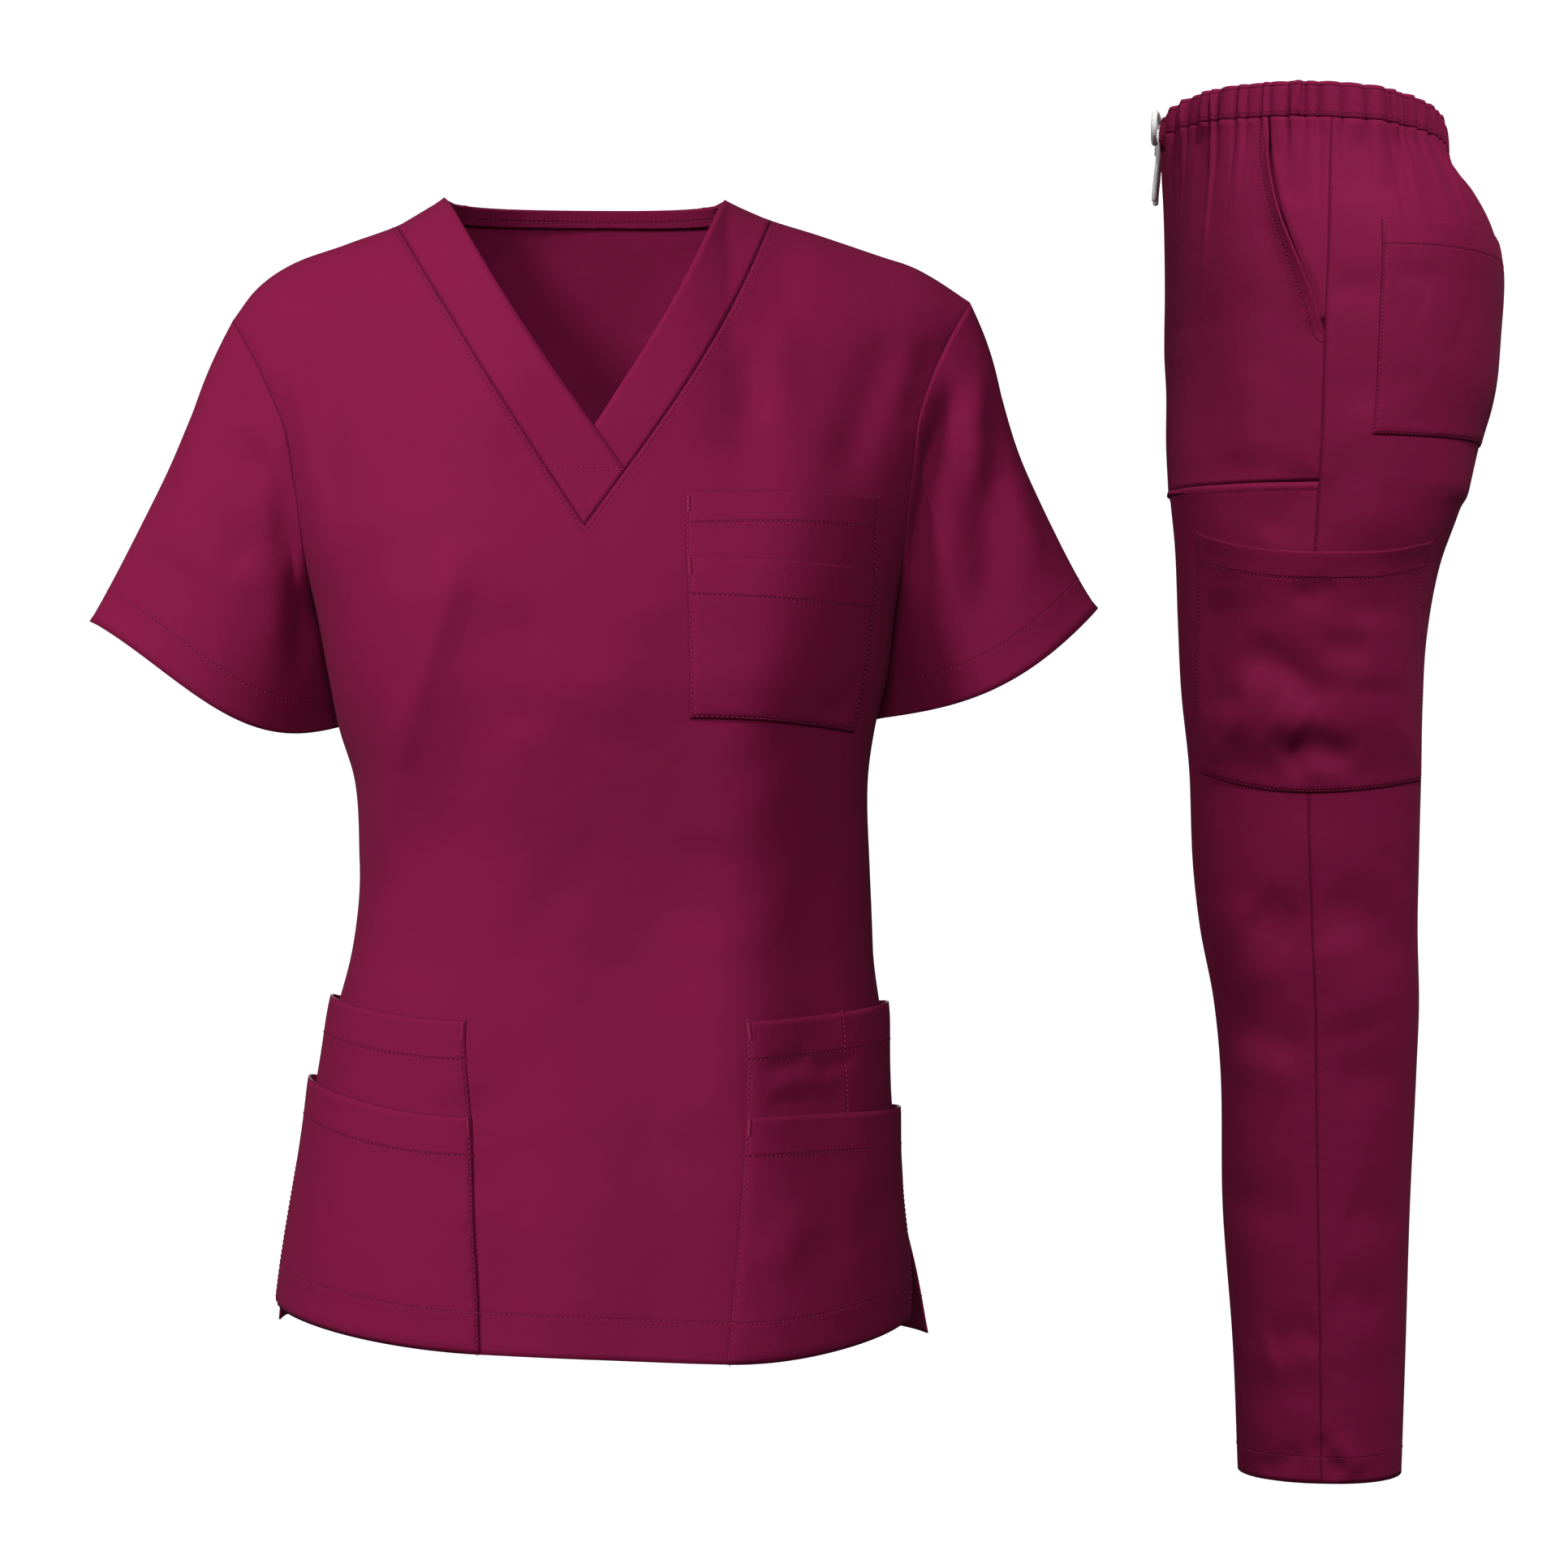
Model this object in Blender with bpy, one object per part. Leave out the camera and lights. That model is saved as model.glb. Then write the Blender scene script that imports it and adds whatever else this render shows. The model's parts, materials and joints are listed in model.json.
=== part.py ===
"""Medical scrubs: a V-neck tunic top, and elastic-waist cargo trousers that stand beside it.

Both garments keep the open, filled-out form of worn clothing. Each is a set of cut pieces, and each
piece is a thin closed wall on the garment's outer face. Metres, +Z up. The scene's origin is the middle
of the top's neck, level with the points where its shoulder seams meet its neckband.
Each garment is drawn in its own frame: the wearer looks along -Y and the wearer's left is +X.
"""

import math
from collections import namedtuple

import bpy
import numpy as np

# Cloth and seams
CLOTH = 0.0016            # wall of every panel
PATCH_CLOTH = 0.0012      # wall of patch pockets and facings
SEAM_GAP = 0.0003         # between two pieces that are sewn edge to edge
LAYER_GAP = 0.0003        # between a pocket and the panel under it
UNDER = -CLOTH - LAYER_GAP  # where a piece under a panel has its outer face

# Where the two garments stand, and how far each is turned about the vertical
TOP_PLACE = (0.0, 0.0, 0.0)
TOP_TURN = math.radians(3.07)
TROUSERS_PLACE = (0.515, 0.515, 0.1435)
TROUSERS_TURN = math.radians(-98.16)

# Top
RIGHT, LEFT = -1, 1       # the wearer's sides
FRONT, BACK = -1, 1
NECK_HALF = 0.0845        # from the middle to a neck side point
NECK_RISE = 0.061         # how far the shoulder ridge would run on above the neck opening
BACK_NECK_RISE = 0.003    # the back neckline's middle stands this much above the neck side points
BAND_SHOULDER = 0.113     # from the middle to the neckband's outer seam, on the shoulder
V_POINT = (0.0, -0.205)   # lower tip of the neckband's outer seams
V_BULGE = {RIGHT: 0.003, LEFT: 0.010}
BAND_EDGE_BULGE = 0.005
CROSSOVER = 0.15          # where the neckband's right half crosses the left one, along its free edge
TUCK = 0.008              # how far the left half runs on under the right one
SHOULDER_ROUND = 0.20     # height over which the shoulder rolls down to full chest depth
TORSO_POWER = 2.3         # superellipse power of the torso's sections
ARMPIT_Z = -0.240
HEM_Z = -0.6815
HEM_TILT = -0.0075        # how much lower the hem is at its left side than in the middle
TILT_TOP_Z = -0.600
VENT_TOP_Z = -0.584
FOLD_FADE = 0.03          # folds die out this near the side seams
ARCH_FADE = 0.5           # how far down the armholes the rows still arch as the shoulder does

# Trousers
WAISTBAND = 0.026         # its height
WAISTBAND_CLOTH = 0.0022
WAIST_TILT = -0.058       # the waist's rise for each metre forward
WAIST_TILT_END_Z = -0.100
WAIST_DIP = 0.006         # the band's top edge sags this much at the middle of the front and back
GATHERS = 46
GATHER_DEPTH = 0.0013
GATHER_SEED = 5
CROSS_SEAM_Z = -0.286     # the seam across the front of each leg, at the height of the crotch
FRONT_FORK_Z = -0.170     # above this the front is one curve across both legs
BACK_FORK_Z = -0.140
TROUSER_POWER = 2.2
SLANT_END_Z = -0.182      # where the slant pocket's edge reaches the side seam
FACING_END_Z = -0.174
FACING_DIP = UNDER - 0.0004
SLANT_TUCK = 0.14         # how far the slant pocket's facing runs on under the front, as an angle
CARGO_SAG = {FRONT: 2.4, BACK: 1.4}   # rise of the cargo pocket's rows towards its edges

# Drawstring, tied in a bow at the middle of the waistband's front
CORD_THICK = 0.0046
KNOT_PLACE = (0.0, -0.1151, -0.0055)
KNOT_SIZE = (0.015, 0.0115, 0.016)
KNOT_RINGS, KNOT_SIDES = 7, 14

WINE = (0.205, 0.017, 0.062, 1.0)
NATURAL_WHITE = (0.55, 0.55, 0.54, 1.0)

# Horizontal sections of the torso. right and left are the reach of the section from its centre line, to
# the wearer's right and left; front and back are its depths. Above the armpits the section is wider than
# the panels, which end at the armholes. right_fork and left_fork are where the line of points that the
# pockets' inner edges follow crosses the section, as a share of its reach.
Section = namedtuple("Section", "z centre right left front back right_fork left_fork")
TORSO = (
    Section(-0.700, 0.013, 0.199, 0.197, 0.126, 0.115, 0.365, 0.375),
    Section(-0.650, 0.013, 0.194, 0.189, 0.122, 0.110, 0.380, 0.392),
    Section(-0.600, 0.013, 0.186, 0.177, 0.118, 0.104, 0.410, 0.428),
    Section(-0.550, 0.013, 0.176, 0.171, 0.113, 0.096, 0.442, 0.460),
    Section(-0.500, 0.012, 0.164, 0.168, 0.109, 0.086, 0.490, 0.480),
    Section(-0.450, 0.011, 0.150, 0.163, 0.106, 0.081, 0.500, 0.450),
    Section(-0.400, 0.009, 0.144, 0.163, 0.108, 0.082, 0.460, 0.400),
    Section(-0.350, 0.007, 0.145, 0.164, 0.116, 0.088, 0.420, 0.345),
    Section(-0.320, 0.006, 0.153, 0.169, 0.121, 0.093, 0.400, 0.320),
    Section(-0.290, 0.005, 0.158, 0.177, 0.125, 0.098, 0.380, 0.310),
    Section(-0.240, 0.004, 0.167, 0.185, 0.124, 0.104, 0.360, 0.295),
    Section(-0.200, 0.003, 0.179, 0.197, 0.117, 0.107, 0.360, 0.285),
    Section(-0.170, 0.002, 0.187, 0.206, 0.110, 0.108, 0.360, 0.275),
    Section(-0.140, 0.001, 0.197, 0.216, 0.105, 0.107, 0.360, 0.280),
    Section(-0.100, 0.000, 0.211, 0.225, 0.097, 0.104, 0.360, 0.300),
    Section(-0.050, 0.000, 0.230, 0.252, 0.088, 0.097, 0.360, 0.320),
    Section(0.010, 0.000, 0.240, 0.262, 0.085, 0.088, 0.360, 0.320),
)

# Height of each shoulder's ridge, by distance from the middle
Ridge = namedtuple("Ridge", "across right left")
SHOULDERS = (
    Ridge(0.0845, 0.0000, 0.0000),
    Ridge(0.1040, -0.0130, -0.0090),
    Ridge(0.1420, -0.0280, -0.0210),
    Ridge(0.1800, -0.0430, -0.0335),
    Ridge(0.1980, -0.0570, -0.0393),
    Ridge(0.2110, -0.0745, -0.0460),
    Ridge(0.2335, -0.1050, -0.0605),
)

# The armholes' distance from the middle, by how far down they are from shoulder (0) to armpit (1)
Armhole = namedtuple("Armhole", "drop right_front right_back left_front left_back")
ARMHOLES = (
    Armhole(0.00, 0.2110, 0.2110, 0.2335, 0.2335),
    Armhole(0.15, 0.2003, 0.2055, 0.2191, 0.2260),
    Armhole(0.30, 0.1865, 0.1965, 0.2063, 0.2155),
    Armhole(0.42, 0.1765, 0.1870, 0.1985, 0.2060),
    Armhole(0.60, 0.1710, 0.1765, 0.1940, 0.1970),
    Armhole(0.80, 0.1668, 0.1685, 0.1905, 0.1918),
    Armhole(1.00, 0.1630, 0.1630, 0.1890, 0.1890),
)

# Rows of points on the front panel below the armpits, with how far each rises towards its side seams
FrontRow = namedtuple("FrontRow", "z right_rise left_rise")
FRONT_ROWS = (
    FrontRow(-0.6815, 0.011, 0.016),
    FrontRow(-0.656, 0.010, 0.008),
    FrontRow(-0.629, 0.010, 0.003),
    FrontRow(-0.601, 0.011, 0.000),
    FrontRow(-0.572, 0.012, -0.002),
    FrontRow(-0.544, 0.016, -0.003),
    FrontRow(-0.517, 0.013, 0.001),
    FrontRow(-0.489, 0.009, 0.005),
    FrontRow(-0.460, 0.005, 0.003),
    FrontRow(-0.430, 0.002, 0.001),
    FrontRow(-0.398, 0.000, 0.000),
    FrontRow(-0.356, 0.000, -0.005),
    FrontRow(-0.315, 0.000, -0.010),
    FrontRow(-0.290, 0.000, -0.006),
    FrontRow(-0.265, 0.000, -0.003),
    FrontRow(-0.240, 0.000, 0.000),
)
LOWER_MOUTH, UPPER_MOUTH = 5, 7     # rows that the hip pockets' mouths follow
CHEST_BOTTOM = 12                   # row that the chest pocket's lower edge follows

# Rows above the armpits: how far down the armhole they end, and where they start, which is a height on
# the centre line or a share of the way up the neckband's outer seam
ChestRow = namedtuple("ChestRow", "drop centre_z up_seam")
CHEST_ROWS = (
    ChestRow(0.93, -0.220, None),
    ChestRow(0.79, None, 0.000),
    ChestRow(0.69, None, 0.100),
    ChestRow(0.62, None, 0.170),
    ChestRow(0.52, None, 0.290),
    ChestRow(0.42, None, 0.420),
    ChestRow(0.32, None, 0.550),
    ChestRow(0.23, None, 0.670),
    ChestRow(0.145, None, 0.780),
    ChestRow(0.07, None, 0.880),
    ChestRow(0.025, None, 0.955),
    ChestRow(0.00, None, 1.000),
)
CHEST_MOUTH_INNER, CHEST_MOUTH_OUTER = 16, 18   # rows of the chest pocket's two mouths
OVER_BAND_END = 3                   # chest row where the right half of the neckband ends on the left seam

BACK_ROWS = (-0.682, -0.640, -0.598, -0.555, -0.510, -0.465, -0.420, -0.375, -0.330, -0.285, -0.240)
BACK_DROPS = (0.82, 0.64, 0.47, 0.31, 0.17, 0.09, 0.04, 0.0)
FORK_COLUMNS, SIDE_COLUMNS = 4, 8   # from the centre line to the fork, and on to the side
NECK_COLUMNS, SHOULDER_COLUMNS = 4, 7
CHEST_POCKET_COLUMNS = 5

# How the side vents stand open at the hem: the angle left out of each panel and its flare outwards
Vent = namedtuple("Vent", "side front_angle back_angle front_flare back_flare")
VENTS = (
    Vent(RIGHT, math.radians(5), math.radians(5), 0.000, 0.000),
    Vent(LEFT, math.radians(11), math.radians(8), -0.013, 0.005),
)

# Sleeves: the cuff's outer and inner ends, its depth, how far its front hangs below the straight line
# between its ends and where that is lowest, and how the sleeve's outer line bows outwards
Sleeve = namedtuple("Sleeve", "side outer inner depth hang skew high_bow low_bow")
SLEEVES = (
    Sleeve(RIGHT, (-0.2970, 0.004, -0.2550), (-0.1440, 0.042, -0.3165), 0.052, 0.0235, 1.50, 0.001, -0.004),
    Sleeve(LEFT, (0.3125, 0.004, -0.2455), (0.1740, 0.042, -0.3135), 0.052, 0.0175, 0.92, 0.001, -0.009),
)
SLEEVE_ROWS = 7
UNDERARM_BOW = 0.004      # the sleeve's underside stands off the body by this much

# Soft folds, as ridges (+) or troughs (-) from one point to another, across and up the garment
Fold = namedtuple("Fold", "face x0 z0 x1 z1 width depth")
TOP_FOLDS = (
    Fold(FRONT, -0.068, -0.225, -0.132, -0.440, 0.020, 0.0040),
    Fold(FRONT, -0.040, -0.260, -0.100, -0.470, 0.024, -0.0030),
    Fold(FRONT, 0.188, -0.080, 0.140, -0.185, 0.015, -0.0040),
    Fold(FRONT, 0.140, -0.335, 0.120, -0.470, 0.022, -0.0030),
    Fold(FRONT, 0.020, -0.560, 0.045, -0.680, 0.030, 0.0025),
    Fold(BACK, 0.110, -0.120, 0.050, -0.230, 0.024, -0.0035),
    Fold(BACK, -0.105, -0.130, -0.055, -0.240, 0.026, -0.0030),
    Fold(BACK, -0.060, -0.400, 0.070, -0.440, 0.018, -0.0040),
    Fold(BACK, 0.080, -0.430, 0.020, -0.520, 0.020, 0.0030),
    Fold(BACK, -0.050, -0.540, -0.075, -0.680, 0.030, 0.0035),
)

# Horizontal sections of the trousers' left half. side and seam place the side seam, front and back are
# the outline seen from the side, inner is the leg's radius towards the other leg and gap its distance
# from the middle. The rest place lines of points round the half, as angles from the side seam: the
# cargo pocket's edges, and the hip pocket's outer and inner edges.
Leg = namedtuple("Leg", "z side seam front back inner gap cargo_front hip_outer cargo_back hip_inner")
TROUSERS = (
    Leg(-0.990, 0.150, 0.0041, -0.0555, 0.0610, 0.059, 0.032, 1.257, 0.31, 1.257, 2.20),
    Leg(-0.900, 0.152, 0.0032, -0.0590, 0.0640, 0.060, 0.031, 1.257, 0.31, 1.257, 2.20),
    Leg(-0.800, 0.154, 0.0017, -0.0663, 0.0670, 0.063, 0.028, 1.257, 0.31, 1.270, 2.20),
    Leg(-0.700, 0.156, 0.0003, -0.0680, 0.0717, 0.066, 0.025, 1.225, 0.32, 1.290, 2.20),
    Leg(-0.650, 0.158, -0.0004, -0.0730, 0.0735, 0.068, 0.023, 1.194, 0.35, 1.320, 2.22),
    Leg(-0.600, 0.160, -0.0025, -0.0825, 0.0725, 0.069, 0.022, 1.162, 0.38, 1.350, 2.23),
    Leg(-0.550, 0.163, -0.0042, -0.0880, 0.0735, 0.071, 0.020, 1.131, 0.41, 1.382, 2.25),
    Leg(-0.500, 0.166, -0.0049, -0.0905, 0.0750, 0.073, 0.018, 1.084, 0.41, 1.382, 2.25),
    Leg(-0.450, 0.170, -0.0040, -0.0960, 0.0760, 0.076, 0.014, 1.021, 0.38, 1.257, 2.22),
    Leg(-0.400, 0.173, -0.0025, -0.0985, 0.0790, 0.079, 0.010, 0.958, 0.35, 1.131, 2.18),
    Leg(-0.350, 0.176, -0.0010, -0.1005, 0.0885, 0.082, 0.006, 0.911, 0.32, 1.005, 2.15),
    Leg(-0.310, 0.178, 0.0010, -0.1045, 0.1035, 0.084, 0.003, 0.930, 0.30, 1.060, 2.12),
    Leg(-0.286, 0.179, 0.0024, -0.1055, 0.1090, 0.085, 0.000, 0.940, 0.28, 1.090, 2.08),
    Leg(-0.250, 0.180, 0.0045, -0.1080, 0.1175, 0.085, 0.000, 0.880, 0.28, 1.060, 1.92),
    Leg(-0.210, 0.180, 0.0056, -0.1090, 0.1280, 0.085, 0.000, 0.800, 0.27, 0.970, 1.638),
    Leg(-0.170, 0.178, 0.0066, -0.1115, 0.1330, 0.085, 0.000, 0.700, 0.265, 0.880, 1.483),
    Leg(-0.130, 0.173, 0.0085, -0.1110, 0.1365, 0.085, 0.000, 0.640, 0.26, 0.810, 1.395),
    Leg(-0.095, 0.164, 0.0093, -0.1110, 0.1300, 0.085, 0.000, 0.630, 0.26, 0.810, 1.387),
    Leg(-0.060, 0.151, 0.0100, -0.1110, 0.1140, 0.085, 0.000, 0.630, 0.235, 0.810, 1.380),
    Leg(-0.030, 0.141, 0.0105, -0.1090, 0.0930, 0.085, 0.000, 0.630, 0.235, 0.810, 1.375),
    Leg(0.010, 0.135, 0.0109, -0.1065, 0.0895, 0.085, 0.000, 0.630, 0.235, 0.810, 1.375),
)
HIP_ROWS = (
    -0.286, -0.279, -0.269, -0.254, -0.231, -0.207, -0.182,
    -0.162, -0.141, -0.121, -0.102, -0.075, -0.050, -0.026,
)
LEG_ROWS = (
    -0.988, -0.948, -0.905, -0.860, -0.812, -0.765, -0.722, -0.684, -0.650, -0.617, -0.585,
    -0.555, -0.528, -0.5026, -0.474, -0.446, -0.418, -0.390, -0.362, -0.3345, -0.310, -0.286,
)
CARGO_BOTTOM, CARGO_MOUTH = 13, 19
HIP_POCKET_BOTTOM, HIP_POCKET_MOUTH = 3, 10     # hip rows of the back pocket's edges
HALF_COLUMNS = 10
CARGO_COLUMN, HIP_OUTER_COLUMN, HIP_INNER_COLUMN = 4, 1, 7

# The slant pocket's edge: how far forward of the side seam it is, as an angle round the section
Slant = namedtuple("Slant", "z angle")
SLANT = (
    Slant(-0.182, 0.00),
    Slant(-0.162, 0.045),
    Slant(-0.140, 0.11),
    Slant(-0.118, 0.18),
    Slant(-0.095, 0.245),
    Slant(-0.072, 0.29),
    Slant(-0.050, 0.32),
    Slant(-0.026, 0.33),
)

# Soft folds of the trousers, each on one leg and face: from one point to another, as y and height
LegFold = namedtuple("LegFold", "leg y0 z0 y1 z1 width depth")
TROUSER_FOLDS = (
    LegFold(LEFT, -0.060, -0.360, 0.000, -0.440, 0.020, -0.0040),
    LegFold(LEFT, -0.020, -0.420, 0.020, -0.470, 0.018, 0.0030),
    LegFold(LEFT, -0.050, -0.570, -0.015, -0.605, 0.016, -0.0035),
    LegFold(LEFT, 0.010, -0.575, 0.055, -0.615, 0.016, -0.0035),
    LegFold(LEFT, -0.055, -0.650, -0.015, -0.670, 0.014, -0.0035),
    LegFold(LEFT, 0.015, -0.770, 0.050, -0.800, 0.016, -0.0030),
    LegFold(LEFT, -0.035, -0.890, 0.005, -0.888, 0.016, -0.0025),
    LegFold(RIGHT, -0.050, -0.380, 0.010, -0.450, 0.020, -0.0040),
    LegFold(RIGHT, 0.000, -0.560, 0.050, -0.610, 0.018, -0.0035),
    LegFold(RIGHT, -0.060, -0.620, -0.010, -0.660, 0.016, -0.0035),
    LegFold(RIGHT, -0.040, -0.780, 0.010, -0.820, 0.018, -0.0030),
    LegFold(RIGHT, 0.010, -0.900, 0.045, -0.880, 0.016, -0.0025),
)


# The bow's left loop and left free end, from the knot: across, forward and up in the trousers' frame
Cord = namedtuple("Cord", "x y z")
LOOP = (
    Cord(0.0081, -0.1152, -0.0026),
    Cord(0.0180, -0.1165, 0.0010),
    Cord(0.0262, -0.1173, 0.0010),
    Cord(0.0325, -0.1177, -0.0035),
    Cord(0.0345, -0.1180, -0.0110),
    Cord(0.0315, -0.1182, -0.0185),
    Cord(0.0240, -0.1180, -0.0215),
    Cord(0.0165, -0.1172, -0.0175),
    Cord(0.0084, -0.1155, -0.0104),
)
FREE_END = (
    Cord(0.0034, -0.1151, -0.0141),
    Cord(0.0058, -0.1155, -0.0260),
    Cord(0.0074, -0.1163, -0.0350),
    Cord(0.0086, -0.1173, -0.0450),
    Cord(0.0092, -0.1182, -0.0540),
    Cord(0.0094, -0.1187, -0.0620),
)


# Curves and small helpers

def smooth_column(rows, column, key="z"):
    """A smooth function through one column of a table, in order of its key."""
    keys = np.array([getattr(row, key) for row in rows])
    values = np.array([getattr(row, column) for row in rows])
    steps = np.diff(values) / np.diff(keys)
    middle = np.where(steps[1:] * steps[:-1] > 0, (steps[1:] + steps[:-1]) / 2, 0.0)
    slopes = np.concatenate([steps[:1], middle, steps[-1:]])

    def at(place):
        place = np.clip(np.asarray(place, dtype=float), keys[0], keys[-1])
        low = np.clip(np.searchsorted(keys, place, side="right") - 1, 0, len(keys) - 2)
        span = keys[low + 1] - keys[low]
        s = (place - keys[low]) / span
        start = values[low] * (1 + 2 * s) * (1 - s) ** 2 + slopes[low] * span * s * (1 - s) ** 2
        end = values[low + 1] * s * s * (3 - 2 * s) + slopes[low + 1] * span * s * s * (s - 1)
        return start + end

    return at


def ease(value):
    """0 below 0, 1 above 1, and a smooth step between."""
    value = np.clip(value, 0.0, 1.0)
    return value * value * (3 - 2 * value)


def lerp(start, end, share):
    return np.asarray(start) + (np.asarray(end) - np.asarray(start)) * share


def half_turn(share):
    """The sine over half a turn: 0 at both ends, 1 in the middle."""
    return np.maximum(np.sin(np.pi * np.asarray(share, dtype=float)), 0.0)


def power(value, exponent):
    """A signed power of a cosine or sine, which makes a superellipse of an ellipse."""
    return np.sign(value) * np.abs(value) ** exponent


def fold_amount(across, height, folds):
    """Height of the ridges and troughs at each point, which fade along their length and to both sides."""
    total = np.zeros(np.broadcast(across, height).shape)
    for x0, z0, x1, z1, width, depth in folds:
        along = (across - x0) * (x1 - x0) + (height - z0) * (z1 - z0)
        along = along / ((x1 - x0) ** 2 + (z1 - z0) ** 2)
        near = np.clip(along, 0, 1)
        away = np.hypot(across - lerp(x0, x1, near), height - lerp(z0, z1, near))
        taper = ease(4 * np.clip(near, 0.0, 1.0) * (1 - near) + 0.15)
        total += depth * taper * np.exp(-(away / width) ** 2)
    return total


# Cloth walls

def key_of(point):
    return tuple(np.round(np.asarray(point) * 1e5).astype(int))


def grid_normals(grid):
    """A unit normal at each point of a grid of rows and columns, from the faces round it."""
    across = np.diff(grid, axis=1)
    up = np.diff(grid, axis=0)
    face = np.cross(across[:-1], up[:, :-1]) + np.cross(across[1:], up[:, 1:])
    total = np.zeros_like(grid)
    for row in (0, 1):
        for column in (0, 1):
            total[row:row + face.shape[0], column:column + face.shape[1]] += face
    return total / np.maximum(np.linalg.norm(total, axis=2, keepdims=True), 1e-12)


class Skin:
    """A garment's outer face. Panels share the points of their seams, where their walls take one direction."""

    def __init__(self, seam_planes):
        self.seam_planes = seam_planes
        self.sums = {}

    def add(self, grid):
        for point, normal in zip(grid.reshape(-1, 3), grid_normals(grid).reshape(-1, 3)):
            key = key_of(point)
            self.sums[key] = self.sums.get(key, np.zeros(3)) + normal
        return grid

    def normal(self, point):
        normal = self.sums[key_of(point)]
        for plane, offset in self.seam_planes:
            if abs(np.dot(plane, point) - offset) < 1e-7:
                normal = normal - plane * np.dot(normal, plane)
        return normal / np.linalg.norm(normal)


def inward_shift(points, faces):
    """How far each point moves so that a piece's edge stands half a seam's gap inside its outline."""
    edges = {}
    for face in faces:
        corners = [points[i] for i in face]
        normal = np.cross(corners[1] - corners[0], corners[2] - corners[0])
        for a, b in zip(face, face[1:] + face[:1]):
            edges[a, b] = normal
    border = [(a, b) for a, b in edges if (b, a) not in edges]
    pulls = {}
    for a, b in border:
        pull = np.cross(edges[a, b], points[b] - points[a])
        pull = pull / np.linalg.norm(pull)
        pulls.setdefault(a, []).append(pull)
        pulls.setdefault(b, []).append(pull)
    shift = np.zeros_like(points)
    for index, found in pulls.items():
        total = sum(found)
        spread = max(1 + float(np.dot(found[0], found[-1])), 0.5)
        shift[index] = SEAM_GAP / 2 * total / spread
    return shift, border


def make_piece(name, skin, grids, material, parent, inside, outside, lifts=None):
    """One closed wall over the given grids of the garment's outer face.

    inside and outside are the wall's two faces, as heights over the garment's outer face. lifts holds
    one array for each grid: how much further both faces stand off at each of its points.
    """
    index_of, points, normals, heights, faces = {}, [], [], [], []
    for number, grid in enumerate(grids):
        lift = np.zeros(grid.shape[:2]) if lifts is None else lifts[number]
        ids = np.empty(grid.shape[:2], dtype=int)
        for place in np.ndindex(*grid.shape[:2]):
            key = key_of(grid[place])
            if key not in index_of:
                index_of[key] = len(points)
                points.append(grid[place])
                normals.append(skin.normal(grid[place]))
                heights.append(lift[place])
            ids[place] = index_of[key]
        for row in range(grid.shape[0] - 1):
            for column in range(grid.shape[1] - 1):
                a, b = ids[row, column], ids[row, column + 1]
                c, d = ids[row + 1, column + 1], ids[row + 1, column]
                halves = ((a, b, c), (a, c, d))
                if np.linalg.norm(points[a] - points[c]) > np.linalg.norm(points[b] - points[d]) + 1e-7:
                    halves = ((a, b, d), (b, c, d))
                for face in halves:
                    if len(set(face)) == 3:
                        faces.append(tuple(int(i) for i in face))
    points, normals, heights = np.array(points), np.array(normals), np.array(heights)[:, None]
    shift, border = inward_shift(points, faces)
    outer = points + shift + normals * (heights + outside)
    inner = points + shift + normals * (heights + inside)
    count = len(points)
    walls = list(faces)
    walls += [(a + count, c + count, b + count) for a, b, c in faces]
    for a, b in border:
        # Both sides of a seam take the same diagonal, so that their twisted rims stay apart
        if key_of(points[a]) < key_of(points[b]):
            walls += [(b, a, b + count), (a, a + count, b + count)]
        else:
            walls += [(b, a, a + count), (b, a + count, b + count)]
    return add_mesh(name, np.concatenate([outer, inner]), walls, material, parent)


def add_mesh(name, points, faces, material, parent):
    mesh = bpy.data.meshes.new(name)
    mesh.from_pydata([tuple(map(float, point)) for point in points], [], faces)
    mesh.materials.append(material)
    mesh.shade_smooth()
    mesh.set_sharp_from_angle(angle=math.radians(50))
    mesh.update()
    obj = bpy.data.objects.new(name, mesh)
    obj.parent = parent
    bpy.context.scene.collection.objects.link(obj)
    return obj


def fabric(name, colour, roughness):
    material = bpy.data.materials.new(name)
    material.use_nodes = True
    shader = material.node_tree.nodes["Principled BSDF"]
    shader.inputs["Base Color"].default_value = colour
    shader.inputs["Roughness"].default_value = roughness
    shader.inputs["Metallic"].default_value = 0.0
    shader.inputs["Sheen Weight"].default_value = 0.2
    material.diffuse_color = colour
    return material


def garment_stand(name, place, turn):
    stand = bpy.data.objects.new(name, None)
    stand.location = place
    stand.rotation_euler = (0.0, 0.0, turn)
    bpy.context.scene.collection.objects.link(stand)
    return stand


# The top's outer face

torso = {name: smooth_column(TORSO, name) for name in Section._fields[1:]}
ridges = {side: smooth_column(SHOULDERS, name, "across") for side, name in ((RIGHT, "right"), (LEFT, "left"))}
armholes = {
    (side, face): smooth_column(ARMHOLES, f"{side_name}_{face_name}", "drop")
    for side, side_name in ((RIGHT, "right"), (LEFT, "left"))
    for face, face_name in ((FRONT, "front"), (BACK, "back"))
}
vents = {vent.side: vent for vent in VENTS}


def ridge(x):
    """Height of the shoulders' ridge line, which would arch on over the neck opening."""
    across = np.abs(x)
    over_neck = NECK_RISE * (1 - (across / NECK_HALF) ** 2)
    shoulder = np.where(x < 0, ridges[RIGHT](across), ridges[LEFT](across))
    return np.where(across < NECK_HALF, over_neck, shoulder)


def vent_share(z):
    """0 at the top of the side vents, 1 at the hem."""
    return np.clip((VENT_TOP_Z - z) / (VENT_TOP_Z - HEM_Z), 0, 1)


def hem_tilt(side, z):
    """How much a row near the hem rises by its outer end, as the hem is a little lower on the left."""
    return side * HEM_TILT * ease((TILT_TOP_Z - z) / (TILT_TOP_Z - HEM_Z))


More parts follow.
